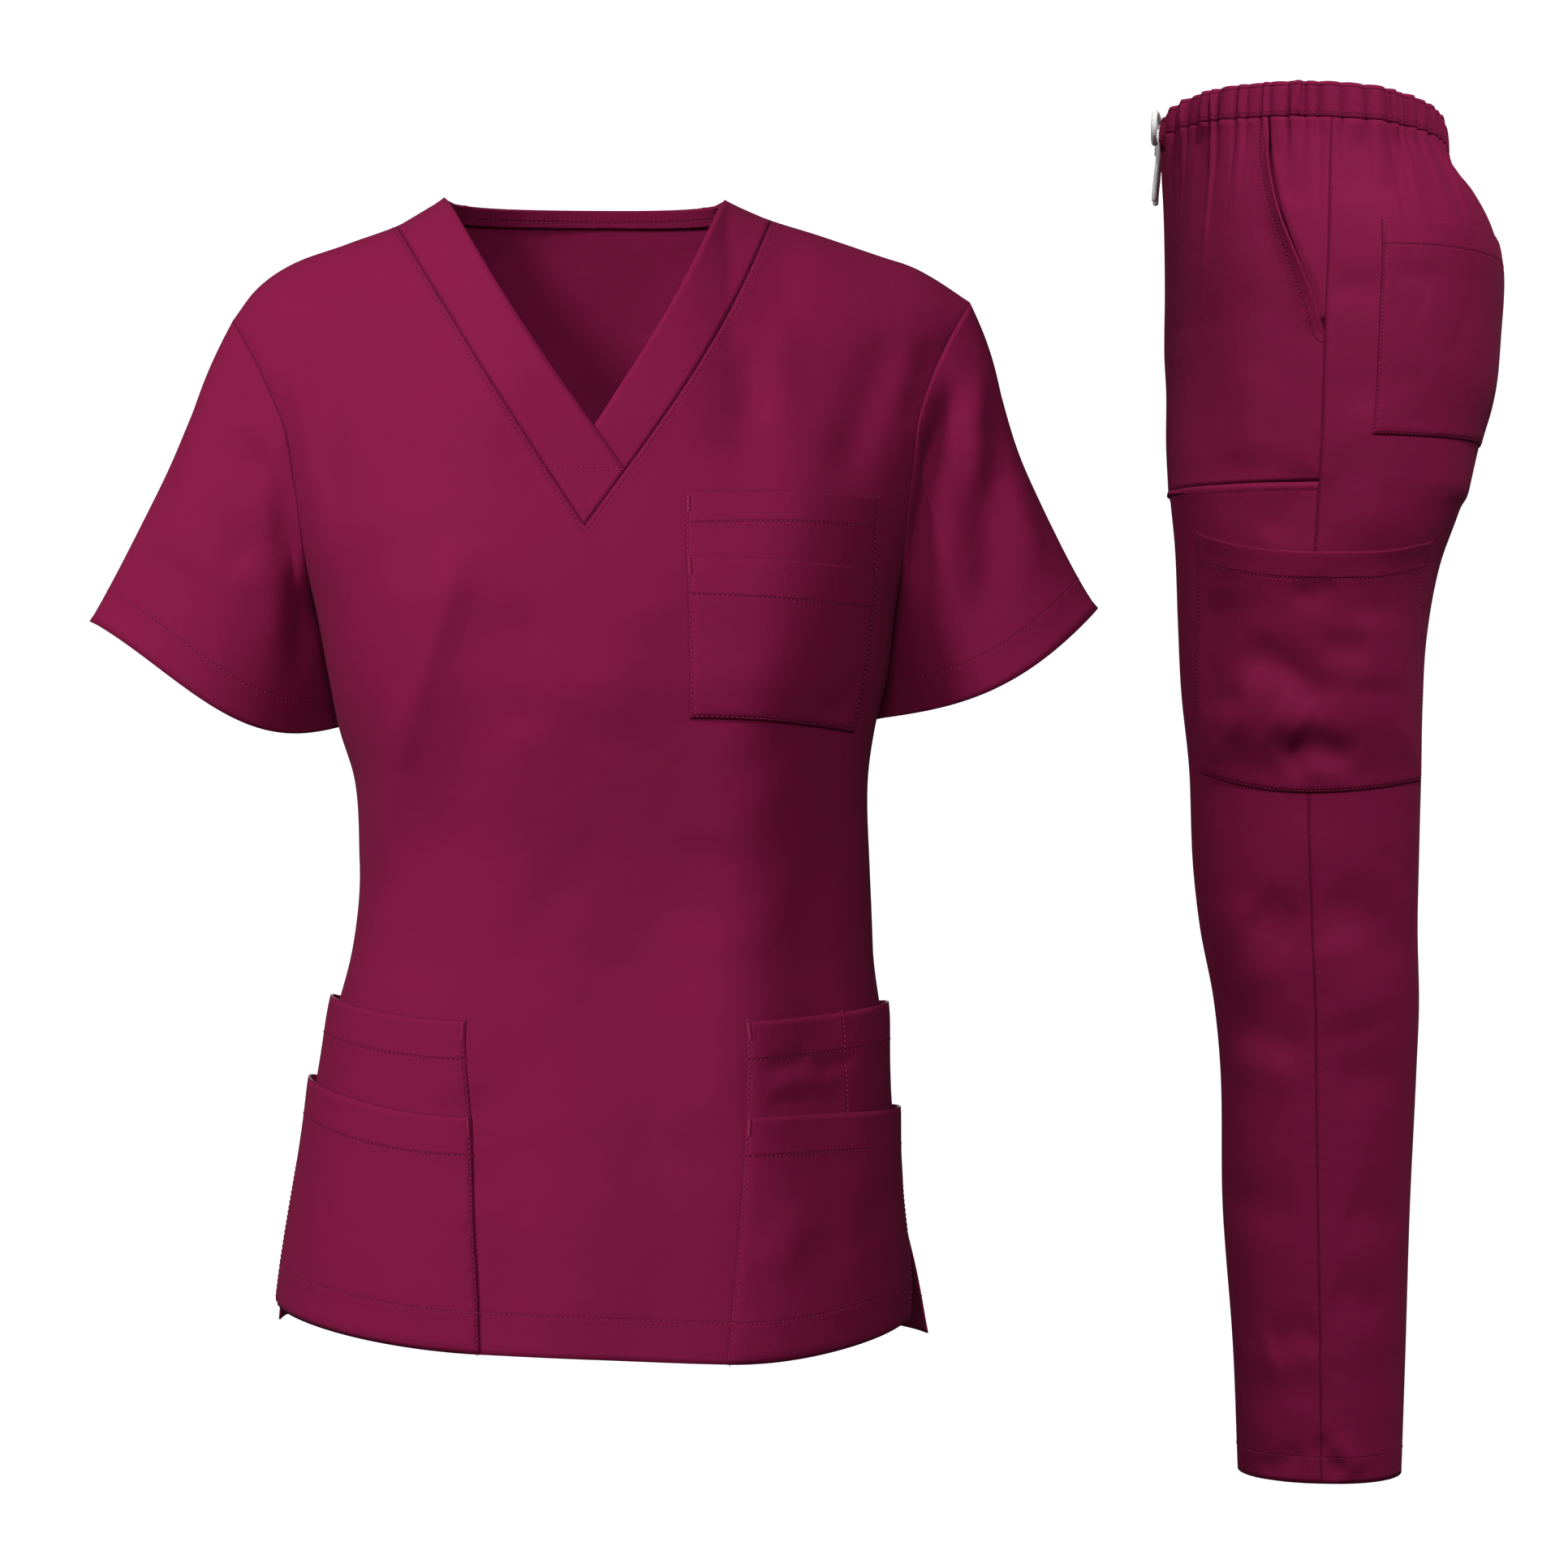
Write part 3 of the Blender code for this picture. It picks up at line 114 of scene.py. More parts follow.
def makeSweep():
    floor, start, radius = studio["floorHeight"], studio["sweepStart"], studio["sweepRadius"]
    side, near, high = studio["sweepReach"]
    profile = [(-near, floor), (0.0, floor)]
    for step in range(studio["sweepSteps"] + 1):
        turn = math.pi / 2 * step / studio["sweepSteps"]
        profile.append((start + radius * math.sin(turn), floor + radius * (1 - math.cos(turn))))
    profile.append((start + radius, high))
    points, faces = [], []
    for y, z in profile:
        points += [(-side, y, z), (side, y, z)]
    for step in range(len(profile) - 1):
        a = 2 * step
        faces.append((a, a + 1, a + 3, a + 2))
    mesh = bpy.data.meshes.new("sweep")
    mesh.from_pydata(points, [], faces)
    mesh.shade_smooth()
    sweep = bpy.data.objects.new("sweep", mesh)
    bpy.context.scene.collection.objects.link(sweep)
    sweep.visible_diffuse = sweep.visible_glossy = False
    paper = bpy.data.materials.new("sweepPaper")
    paper.use_nodes = True
    shader = paper.node_tree.nodes["Principled BSDF"]
    shader.inputs["Base Color"].default_value = (studio["paper"],) * 3 + (1.0,)
    shader.inputs["Roughness"].default_value = studio["paperRoughness"]
    # Clear from behind, so that a camera past the wall still sees the garments
    nodes, links = paper.node_tree.nodes, paper.node_tree.links
    oneSided = nodes.new("ShaderNodeMixShader")
    links.new(nodes.new("ShaderNodeNewGeometry").outputs["Backfacing"], oneSided.inputs[0])
    links.new(shader.outputs[0], oneSided.inputs[1])
    links.new(nodes.new("ShaderNodeBsdfTransparent").outputs[0], oneSided.inputs[2])
    links.new(oneSided.outputs[0], nodes["Material Output"].inputs["Surface"])
    mesh.materials.append(paper)


def lightStudio():
    world = bpy.data.worlds.new("studioAir")
    bpy.context.scene.world = world
    world.use_nodes = True
    air = world.node_tree.nodes["Background"]
    air.inputs["Color"].default_value = (1.0, 1.0, 1.0, 1.0)
    air.inputs["Strength"].default_value = studio["ambient"]
    for lamp in lamps:
        addLight(lamp)
    bpy.context.scene.view_settings.view_transform = "Standard"


# Each garment is lit by lamps of its own, and so is the backdrop
def shareLights():
    lit = {name: bpy.data.collections.new(name) for name in ("top", "trousers", "backdrop")}
    for piece in bpy.context.scene.objects:
        if piece.type == "MESH" and piece.name == "sweep":
            lit["backdrop"].objects.link(piece)
        elif piece.type == "MESH" and len(piece.data.vertices):
            spot = piece.data.vertices[0].co.x
            lit["trousers" if spot > studio["between"] else "top"].objects.link(piece)
    for lamp in lamps:
        linking = bpy.data.objects[lamp.name].light_linking
        linking.receiver_collection = lit[lamp.lights]
        linking.blocker_collection = lit[lamp.lights]


makeCamera()
makeSweep()
lightStudio()
print("studio ready")


# Sides, layers and where the two garments stand

right, left = -1, 1       # the wearer's sides
front, back = -1, 1
place = {
    "top": ((0.0, 0.0, 0.0), math.radians(3.07)),
    "trousers": ((0.515, 0.515, 0.1435), math.radians(-98.16)),
}
layers = {
    "panel": 0.0013,          # wall of a panel
    "patch": 0.0011,          # wall of a patch pocket or facing
    "firstPatch": 0.0015,     # outer face of a pocket over its panel
    "secondPatch": 0.0029,    # outer face of a pocket over another pocket
    "under": -0.0019,         # outer face of a piece under a panel
    "band": 0.0022,
}


# Points in a garment's own frame, moved to where the garment stands
def standing(points, garment):
    (x, y, z), turn = place[garment]
    points = np.asarray(points, dtype=float)
    cosine, sine = math.cos(turn), math.sin(turn)
    moved = np.empty_like(points)
    moved[..., 0] = points[..., 0] * cosine - points[..., 1] * sine + x
    moved[..., 1] = points[..., 0] * sine + points[..., 1] * cosine + y
    moved[..., 2] = points[..., 2] + z
    return moved


# Curves and small helpers

# A smooth function through values at rising keys. A gentle one never swings past its values.
def smoothCurve(keys, values, gentle=True):
    keys, values = np.array(keys, dtype=float), np.array(values, dtype=float)
    steps = np.diff(values) / np.diff(keys)
    middle = (steps[1:] + steps[:-1]) / 2
    if gentle:
        middle = np.where(steps[1:] * steps[:-1] > 0, middle, 0.0)
    slopes = np.concatenate([steps[:1], middle, steps[-1:]])

    def at(spot):
        spot = np.clip(np.asarray(spot, dtype=float), keys[0], keys[-1])
        low = np.clip(np.searchsorted(keys, spot, side="right") - 1, 0, len(keys) - 2)
        span = keys[low + 1] - keys[low]
        s = (spot - keys[low]) / span
        start = values[low] * (1 + 2 * s) * (1 - s) ** 2 + slopes[low] * span * s * (1 - s) ** 2
        end = values[low + 1] * s * s * (3 - 2 * s) + slopes[low + 1] * span * s * s * (s - 1)
        return start + end

    return at


def smoothColumn(rows, column, key="z"):
    return smoothCurve([getattr(row, key) for row in rows], [getattr(row, column) for row in rows])


# How many steps each gap between table rows is cut into
def stepsFor(values, pitch):
    return [max(1, math.ceil(abs(gap) / pitch)) for gap in np.diff(values)]


# Table values at every fine row
def between(values, steps):
    places = [row + np.arange(count) / count for row, count in enumerate(steps)]
    return smoothCurve(range(len(values)), values)(np.concatenate(places + [[len(steps)]]))


# The fine row on which each table row lies
def rowPlaces(steps):
    return np.concatenate([[0], np.cumsum(steps)]).astype(int)


# 0 below 0, 1 above 1, and a smooth step between
def ease(value):
    value = np.clip(value, 0.0, 1.0)
    return value * value * (3 - 2 * value)


def lerp(start, end, share):
    return np.asarray(start) + (np.asarray(end) - np.asarray(start)) * share


# The sine over half a turn: 0 at both ends, 1 in the middle
def halfTurn(share):
    return np.maximum(np.sin(np.pi * np.asarray(share, dtype=float)), 0.0)


# A signed power of a cosine or sine, which makes a superellipse of an ellipse
def power(value, exponent):
    return np.sign(value) * np.abs(value) ** exponent


folding = {
    "taper": 0.30,                # share of a fold's route over which its ends fade
    "stub": 0.12,                 # what is left of it at its very ends
    "strokeSpread": 28,           # how much the direction of faint strokes varies, in degrees
    "strokeLengths": (0.04, 0.13),
    "strokeWidths": (0.010, 0.024),
}


# Height of ridges and troughs at each point. Each is a width, a depth and a route of two or more points,
# and fades at its ends and to both sides.
def foldAmount(across, height, folds):
    total = np.zeros(np.broadcast(across, height).shape)
    for width, depth, *route in folds:
        nearest = np.full(total.shape, np.inf)
        passed = np.zeros(total.shape)
        for step, ((x0, z0), (x1, z1)) in enumerate(zip(route[:-1], route[1:])):
            along = (across - x0) * (x1 - x0) + (height - z0) * (z1 - z0)
            along = np.clip(along / ((x1 - x0) ** 2 + (z1 - z0) ** 2), 0, 1)
            away = np.hypot(across - lerp(x0, x1, along), height - lerp(z0, z1, along))
            passed = np.where(away < nearest, (step + along) / (len(route) - 1), passed)
            nearest = np.minimum(nearest, away)
        taper = ease(np.minimum(passed, 1 - passed) / folding["taper"] + folding["stub"])
        total += depth * taper * np.exp(-(nearest / width) ** 2)
    return total


# Slight unevenness of hanging cloth: many faint strokes, the same ones each time
def looseFolds(seed, count, low, high, slant, depth):
    chance = np.random.default_rng(seed)
    folds = []
    for _ in range(count):
        x, z = chance.uniform(low[0], high[0]), chance.uniform(low[1], high[1])
        angle = math.radians(chance.normal(slant, folding["strokeSpread"]))
        length = chance.uniform(*folding["strokeLengths"])
        folds.append((chance.uniform(*folding["strokeWidths"]), chance.normal(0.0, depth), (x, z),
                      (x + length * math.cos(angle), z + length * math.sin(angle))))
    return folds


# Lengths along a line of points, or along each line of a grid, from its first point
def lengthsAlong(points, axis=0):
    start = np.zeros_like(np.take(points, [0], axis=axis)[..., 0])
    steps = np.linalg.norm(np.diff(points, axis=axis), axis=-1)
    return np.concatenate([start, np.cumsum(steps, axis=axis)], axis=axis)


# The values of a line's points at the given lengths along it
def pickAlong(at, along, line):
    return np.stack([np.interp(at, along, line[:, axis]) for axis in range(3)], axis=1)


# Cloth

leastFill = 0.6               # the least share of its flat size that a piece of cloth fills
far = 0.05                    # a distance that is past every groove and line of stitches
lineStep = 0.0006             # between the points of a line that distances are measured to
stitching = {
    "pitch": 0.0029,          # from one stitch to the next
    "stitchLength": 0.0021,
    "threadThick": 0.00052,
    "lift": 0.00012,          # of the thread's middle over the cloth
    "wobble": 0.07,
    "tackPitch": 0.00055,     # between the bars of a bar-tack
    "tackWidth": 0.0024,
    "tackLift": 0.0002,
    "tackInset": 0.0022,      # from the pocket's side edge
    "tackStart": 0.0012,      # below its mouth
    "tackLength": 0.0095,
    "tackPoints": 12,
    "seed": 7,
}
pocketShape = {
    "mouthDepth": 0.032,      # how far down a mouth's gape runs
    "rimRoll": 0.0018,        # width of the rolled rim
    "rimInset": 0.0014,       # of the extra column beside an edge
    "leastHeight": 0.0003,
}
# A panel's seam, edge and hem are distances, which place painted shade, grooves and puckers
Panel = namedtuple("Panel", "points seam edge hem marks")
stitchRuns = {"top": [], "trousers": []}
tackRuns = {"top": [], "trousers": []}
sheetNotes = []


# A unit normal at each point of a grid of rows and columns
def gridNormals(grid):
    across = np.diff(grid, axis=1)
    up = np.diff(grid, axis=0)
    face = np.cross(across[:-1], up[:, :-1]) + np.cross(across[1:], up[:, 1:])
    total = np.zeros_like(grid)
    for row in (0, 1):
        for column in (0, 1):
            total[row:row + face.shape[0], column:column + face.shape[1]] += face
    return total / np.maximum(np.linalg.norm(total, axis=2, keepdims=True), 1e-12)


# How far each point of a grid is from a line
def awayFrom(grid, line):
    along = lengthsAlong(line)
    dense = np.concatenate([line, pickAlong(np.arange(0, along[-1], lineStep), along, line)])
    tree = KDTree(len(dense))
    for index, point in enumerate(dense):
        tree.insert(point, index)
    tree.balance()
    found = [tree.find(point)[2] for point in grid.reshape(-1, 3)]
    return np.minimum(np.array(found).reshape(grid.shape[:2]), far)


# A grid of cloth with its distances from seams and lines of stitches, which place painted shade, grooves and
# puckers along them. Edges and hems are pairs of a line and how far in from it the stitches run.
def panelOf(points, seams=(), edges=(), hems=(), start=(0.0, 0.0)):
    fields = []
    for lines in (((line, 0.0) for line in seams), edges, hems):
        field = np.full(points.shape[:2], far)
        for line, inset in lines:
            field = np.minimum(field, awayFrom(points, line) - inset)
        fields.append(field)
    marks = np.stack([lengthsAlong(points, 1), lengthsAlong(points)], axis=-1)
    marks[..., 0] -= marks[:, marks.shape[1] // 2, None, 0]
    return Panel(points, *fields, marks + np.array(start))


# Points, outward directions and links of the line where a field passes 0
def contour(points, normals, field, keep=None):
    ids, found, outward = {}, [], []

    def crossing(a, b, key):
        first, second = field[a], field[b]
        if (first > 0) == (second > 0):
            return None
        if key not in ids:
            share = first / (first - second)
            ids[key] = len(found)
            found.append(lerp(points[a], points[b], share))
            outward.append(lerp(normals[a], normals[b], share))
        return ids[key]

    corners = np.stack([field[:-1, :-1], field[1:, :-1], field[:-1, 1:], field[1:, 1:]])
    links = []
    for row, column in np.argwhere((corners.min(axis=0) <= 0) & (corners.max(axis=0) > 0)):
        if keep is not None and not keep[row, column]:
            continue
        a, b, c, d = (row, column), (row, column + 1), (row + 1, column + 1), (row + 1, column)
        hits = [crossing(a, b, (row, column, 0)), crossing(d, c, (row + 1, column, 0)),
                crossing(a, d, (row, column, 1)), crossing(b, c, (row, column + 1, 1))]
        hits = [hit for hit in hits if hit is not None]
        if len(hits) == 2:
            links.append((hits[0], hits[1]))
    return np.array(found).reshape(-1, 3), np.array(outward).reshape(-1, 3), links


# Stitches along a field's line on a panel. A lift under 0 puts them on the inner face.
def stitchOn(garment, panel, field, lift=stitching["lift"], keep=None):
    points, outward, links = contour(panel.points, gridNormals(panel.points), field, keep)
    if len(links):
        stitchRuns[garment].append((points + outward * lift, outward * (1 if lift > 0 else -1), links))


def chain(points):
    return [(index, index + 1) for index in range(len(points) - 1)]


# Stitches along a given line of points that lies on a panel
def stitchAlong(garment, points, outward, lift=stitching["lift"]):
    stitchRuns[garment].append((points + outward * lift, outward, chain(points)))


# A bar of close stitches beside a pocket's side edge, down from the mouth in the grid's last row
def tackAt(garment, points, side):
    normals = gridNormals(points)
    edge, inner = (0, 1) if side == "first" else (-1, -2)
    line = points[::-1, edge]
    inward = points[::-1, inner] - line
    line = line + inward / np.linalg.norm(inward, axis=1, keepdims=True) * stitching["tackInset"]
    along = lengthsAlong(line)
    start = stitching["tackStart"]
    at = np.linspace(start, start + stitching["tackLength"], stitching["tackPoints"])
    spots = pickAlong(at, along, line)
    outward = pickAlong(at, along, normals[::-1, edge])
    tackRuns[garment].append((spots + outward * stitching["tackLift"], outward, chain(spots)))


# Moves a grid's points out along its normals
def raised(grid, height):
    height = np.asarray(height, dtype=float)
    return grid + gridNormals(grid) * (height[..., None] if height.ndim else height)


# How a pocket's mouth, its last row, stands off: nothing at its ends, most at the peak
def mouthRise(points, amount, peak=0.5):
    columns = np.linspace(0, 1, points.shape[1])
    across = halfTurn(columns ** (math.log(0.5) / math.log(peak)))
    below = lengthsAlong(points[::-1])[::-1]
    return amount * np.exp(-(below / pocketShape["mouthDepth"]) ** 1.5) * across[None, :]


# A soft swell between a pocket's edges, and its rim rolled down where it is folded and sewn
def swell(points, amount, rim=0.0012, width=0.014):
    across = lengthsAlong(points, 1)
    fromSide = np.minimum(across, across[:, -1:] - across)
    inside = np.minimum(fromSide, lengthsAlong(points))
    return amount * ease(inside / (2.5 * width)) - rim * np.exp(-(inside / pocketShape["rimRoll"]) ** 2)


# The grid with one more column close to each side edge, so that the rim there is narrow
def rimmed(grid):
    def beside(edge, inner):
        step = inner - edge
        return (edge + step * pocketShape["rimInset"] / np.linalg.norm(step, axis=1, keepdims=True))[:, None]

    first, last = beside(grid[:, 0], grid[:, 1]), beside(grid[:, -1], grid[:, -2])
    return np.concatenate([grid[:, :1], first, grid[:, 1:-1], last, grid[:, -1:]], axis=1)


# The same on all four sides
def rimmedAround(grid):
    return rimmed(rimmed(grid).transpose(1, 0, 2)).transpose(1, 0, 2)


# A piece of the frame, in place of its plain solid if it has one
def joinFrame(piece, node=None):
    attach(piece, "root")
    if node:
        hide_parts(node)


# A mesh with its values on points and its flat places as UVs. A wrap is how far the UVs run round a tube.
def meshPiece(name, points, faces, material, fields, marks, wrap=None):
    mesh = bpy.data.meshes.new(name)
    mesh.from_pydata(np.asarray(points).tolist(), [], faces)
    marks = np.asarray(marks, dtype=float)
    corners = np.empty(len(mesh.loops), dtype=np.int32)
    mesh.loops.foreach_get("vertex_index", corners)
    uv = marks[corners]
    if wrap:
        for face in mesh.polygons:
            part = slice(face.loop_start, face.loop_start + face.loop_total)
            if np.ptp(uv[part, 0]) > wrap / 2:
                uv[part, 0] += np.where(uv[part, 0] < wrap / 2, wrap, 0.0)
    mesh.uv_layers.new(name="cloth").data.foreach_set("uv", uv.astype(np.float32).ravel())
    for key, values in fields.items():
        field = mesh.attributes.new(key, "FLOAT", "POINT")
        field.data.foreach_set("value", np.asarray(values, dtype=np.float32))
    mesh.materials.append(material)
    mesh.shade_smooth()
    piece = bpy.data.objects.new(name, mesh)
    bpy.context.scene.collection.objects.link(piece)
    return piece


# One piece of cloth from grids that share points along their joins, with its wall on the inner side
def makeCloth(name, node, garment, panels, wall, flat=None):
    points = np.concatenate([panel.points.reshape(-1, 3) for panel in panels])
    faces, begin = [], 0
    _, first, same = np.unique(np.round(points, 6), axis=0, return_index=True, return_inverse=True)
    same = first[same.reshape(-1)]
    for panel in panels:
        rows, columns = panel.points.shape[:2]
        grid = same[begin:begin + rows * columns].reshape(rows, columns)
        begin += rows * columns
        quads = np.stack([grid[:-1, :-1], grid[:-1, 1:], grid[1:, 1:], grid[1:, :-1]], axis=-1)
        faces.append(quads.reshape(-1, 4))
    faces = np.concatenate(faces)
    used, packed = np.unique(faces, return_inverse=True)
    packed = packed.reshape(-1, 4)
    corners = points[used][packed]
    one, two, three = (corners[:, corner] - corners[:, 0] for corner in (1, 2, 3))
    size = np.linalg.norm(np.cross(one, two), axis=1) + np.linalg.norm(np.cross(two, three), axis=1)
    area = float(size.sum()) / 2
    faceList = [tuple(dict.fromkeys(face)) for face in packed.tolist()]
    faceList = [face for face in faceList if len(face) > 2]
    fields = {
        key: np.concatenate([getattr(panel, part).ravel() for panel in panels])[used]
        for key, part in (("seamAndCreaseAway", "seam"), ("edgeAway", "edge"), ("hemAway", "hem"))
    }
    marks = np.concatenate([panel.marks.reshape(-1, 2) for panel in panels])[used]
    piece = meshPiece(name, standing(points[used], garment), faceList, winePoplin, fields, marks)
    solid = piece.modifiers.new("wall", "SOLIDIFY")
    solid.thickness = wall
    solid.offset = -1.0
    solid.use_even_offset = False
    joinFrame(piece, node)
    if flat is None:
        grid = panels[0].points
        widths = np.linalg.norm(np.diff(grid, axis=1), axis=2).sum(axis=1)
        heights = np.linalg.norm(np.diff(grid, axis=0), axis=2).sum(axis=0)
        # A crescent is as long as its middle, not as its longest column
        flat = (float(widths.max()), float(min(heights.max(), area / widths.max() / leastFill)))
    flat = (round(flat[0], 3), round(flat[1], 4))
    area = min(round(area, 5), flat[0] * flat[1])
    sheetNotes.append((name, node, flat, area))


# Materials

poplin = {
    "colour": (0.178, 0.0068, 0.0450, 1.0),
    "deepColour": (0.150, 0.0050, 0.0365, 1.0),
    # Painted shade: the dark colour laid along seams, pocket mouths, stitch lines and the gathers' creases
    "seamColour": (0.055, 0.0024, 0.0140, 1.0),
    "roughness": 0.80,
    "sheen": 0.015,
    "sheenRoughness": 0.45,
    "sheenTint": (1.0, 0.55, 0.72, 1.0),
    "specular": 0.06,
    "threadPitch": 0.00042,
    "weaveDepth": 0.000012,
    "grainDepth": 0.00002,
    "rippleDepth": 0.0006,        # slow unevenness of the whole cloth
    "puckerDepth": 0.00036,
    "grooveDepth": 0.00013,       # where two pieces join
    "stitchDepth": 0.00028,       # where thread pulls the cloth in
    "hemStep": 0.00035,           # rise from one layer to the folded hem
    "joinedShade": 0.55,          # how dark the lines of painted shade are
    "sewnShade": 0.48,
}
# Widths of the lines of painted shade (the first two), then of grooves, puckers and the hem step
poplinWidths = {
    "joined": 0.0005, "sewn": 0.0006, "groove": 0.0011, "stitch": 0.0009,
    "seamPucker": 0.0075, "stitchPucker": 0.0050, "hemStep": 0.0008,
}
cotton = {
    "colour": (0.74, 0.74, 0.73, 1.0),
    "shadeColour": (0.46, 0.46, 0.46, 1.0),
    "roughness": 0.9,
    "sheen": 0.3,
    "strandsRound": 8.0,
    "strandSlant": 0.55,
    "braidDepth": 0.00035,
    "fuzzDepth": 0.0001,
}
thread = {
    "colour": (0.235, 0.0130, 0.062, 1.0),
    "contrast": 1.5,
    "roughness": 0.6,
    "specular": 0.15,
}


# Adds nodes to a tree and links them, left to right
class Nodes:
    def __init__(self, tree):
        self.tree = tree
        self.column = -1800

    # Inputs are values or other nodes' outputs. Their names have _ for a space, or are i and a number.
    def add(self, kind, settings=None, **inputs):
        node = self.tree.nodes.new(kind)
        node.location = (self.column, 300 - 40 * (len(self.tree.nodes) % 14))
        self.column += 60
        for key, value in (settings or {}).items():
            setattr(node, key, value)
        for key, value in inputs.items():
            self.give(value, node.inputs[int(key[1:]) if key[1:].isdigit() else key.replace("_", " ")])
        return node

    def give(self, value, socket):
        if isinstance(value, bpy.types.NodeSocket):
            self.tree.links.new(value, socket)
        else:
            socket.default_value = value


# The same for one material, with its shader
class Painting(Nodes):
    def __init__(self, name):
        self.material = bpy.data.materials.new(name)
        self.material.use_nodes = True
        super().__init__(self.material.node_tree)
        self.shader = self.tree.nodes["Principled BSDF"]

    def maths(self, operation, first, second=0.0):
        return self.add("ShaderNodeMath", {"operation": operation}, i0=first, i1=second).outputs[0]

    def times(self, first, second):
        return self.maths("MULTIPLY", first, second)

    # The sum of several values
    def total(self, first, *others):
        for other in others:
            first = self.maths("ADD", first, other)
        return first

    def noise(self, vector, scale, detail, **inputs):
        node = self.add("ShaderNodeTexNoise", Vector=vector, Scale=scale, Detail=detail, **inputs)
        return node.outputs["Fac"]

    # Roughness that varies by a share of a pattern
    def roughen(self, pattern, amount, middle):
        settings = {"operation": "MULTIPLY_ADD"}
        node = self.add("ShaderNodeMath", settings, i0=pattern, i1=amount, i2=middle - amount / 2)
        self.link(node.outputs[0], "Roughness")

    def bump(self, height):
        self.link(self.add("ShaderNodeBump", Strength=1.0, Distance=1.0, Height=height).outputs[0], "Normal")

    def attribute(self, name):
        settings = {"attribute_name": name, "attribute_type": "GEOMETRY"}
        return self.add("ShaderNodeAttribute", settings).outputs["Fac"]

    # exp(-(value / width) squared): 1 on a line, 0 away from it
    def near(self, value, width):
        scaled = self.maths("DIVIDE", value, width)
        return self.maths("EXPONENT", self.times(self.times(scaled, scaled), -1.0))

    def mix(self, share, first, second):
        return self.add("ShaderNodeMix", {"data_type": "RGBA"}, i0=share, i6=first, i7=second).outputs[2]

    def link(self, value, name):
        self.give(value, self.shader.inputs[name])


def makePoplin():
    cloth = Painting("winePoplin")
    spot = cloth.add("ShaderNodeTexCoord").outputs["Object"]
    uv = cloth.add("ShaderNodeUVMap", {"uv_map": "cloth"}).outputs["UV"]
    seam, edge, hem = (cloth.attribute(name) for name in ("seamAndCreaseAway", "edgeAway", "hemAway"))
    # Weave: a fine twill of warp and weft threads
    threads = []
    for direction, scale in (("DIAGONAL", 1.0), ("X", 1.3)):
        settings = {"wave_type": "BANDS", "bands_direction": direction, "wave_profile": "SIN"}
        wave = cloth.add("ShaderNodeTexWave", settings, Vector=uv, Scale=scale / poplin["threadPitch"] / math.pi,
                         Distortion=0.6, Detail=1.0, Detail_Scale=0.4)
        threads.append(wave.outputs["Fac"])
    weave = cloth.times(cloth.total(*threads), 0.5)
    drawn = cloth.add("ShaderNodeMapping", Vector=uv, Scale=(2600.0, 420.0, 1.0)).outputs[0]
    slub = cloth.noise(drawn, 1.0, 2.0)
    mottle = cloth.noise(spot, 26.0, 4.0, Roughness=0.6)
    grain = cloth.noise(spot, 900.0, 2.0)
    # Colour: the cloth's own uneven tone, then painted shade darkening it along seams, pocket mouths, stitch
    # lines and the gathers' creases
    share = cloth.total(cloth.times(mottle, 0.55), cloth.times(grain, 0.45), cloth.times(slub, 0.25))
    colour = cloth.mix(cloth.maths("SUBTRACT", share, 0.20), poplin["deepColour"], poplin["colour"])
    # Painted shade along the lines of stitches, where the thread pulls the cloth in
    stitchShadeMasks = [cloth.near(away, poplinWidths["sewn"]) for away in (edge, hem)]
    sewn = cloth.times(cloth.maths("MAXIMUM", *stitchShadeMasks), poplin["sewnShade"])
    # Painted shade along seams, pocket mouths and the gathers' creases
    joined = cloth.times(cloth.near(seam, poplinWidths["joined"]), poplin["joinedShade"])
    colour = cloth.mix(cloth.maths("MAXIMUM", joined, sewn), colour, poplin["seamColour"])
    cloth.link(colour, "Base Color")
    cloth.roughen(grain, 0.10, poplin["roughness"])
    # Height: weave, seam grooves, hem steps and the puckers beside each line of stitches
    pucker = cloth.times(cloth.noise(spot, 210.0, 1.5), poplin["puckerDepth"])
    heights = [cloth.times(weave, poplin["weaveDepth"]), cloth.times(grain, poplin["grainDepth"])]
    for away in (edge, hem):
        heights.append(cloth.times(cloth.near(away, poplinWidths["stitchPucker"]), pucker))
        heights.append(cloth.times(cloth.near(away, poplinWidths["stitch"]), -poplin["stitchDepth"]))
    heights.append(cloth.times(cloth.near(seam, poplinWidths["seamPucker"]), pucker))
    heights.append(cloth.times(cloth.near(seam, poplinWidths["groove"]), -poplin["grooveDepth"]))
    width = poplinWidths["hemStep"]
    step = cloth.add("ShaderNodeMapRange", {"interpolation_type": "SMOOTHSTEP"}, Value=hem,
                     From_Min=-width, From_Max=width, To_Min=poplin["hemStep"], To_Max=0.0)
    heights.append(step.outputs[0])
    heights.append(cloth.times(cloth.noise(spot, 42.0, 2.0, Roughness=0.45), poplin["rippleDepth"]))
    cloth.bump(cloth.total(*heights))
    cloth.link(poplin["sheen"], "Sheen Weight")
    cloth.link(poplin["sheenRoughness"], "Sheen Roughness")
    cloth.link(poplin["sheenTint"], "Sheen Tint")
    cloth.link(poplin["specular"], "Specular IOR Level")
    return cloth.material


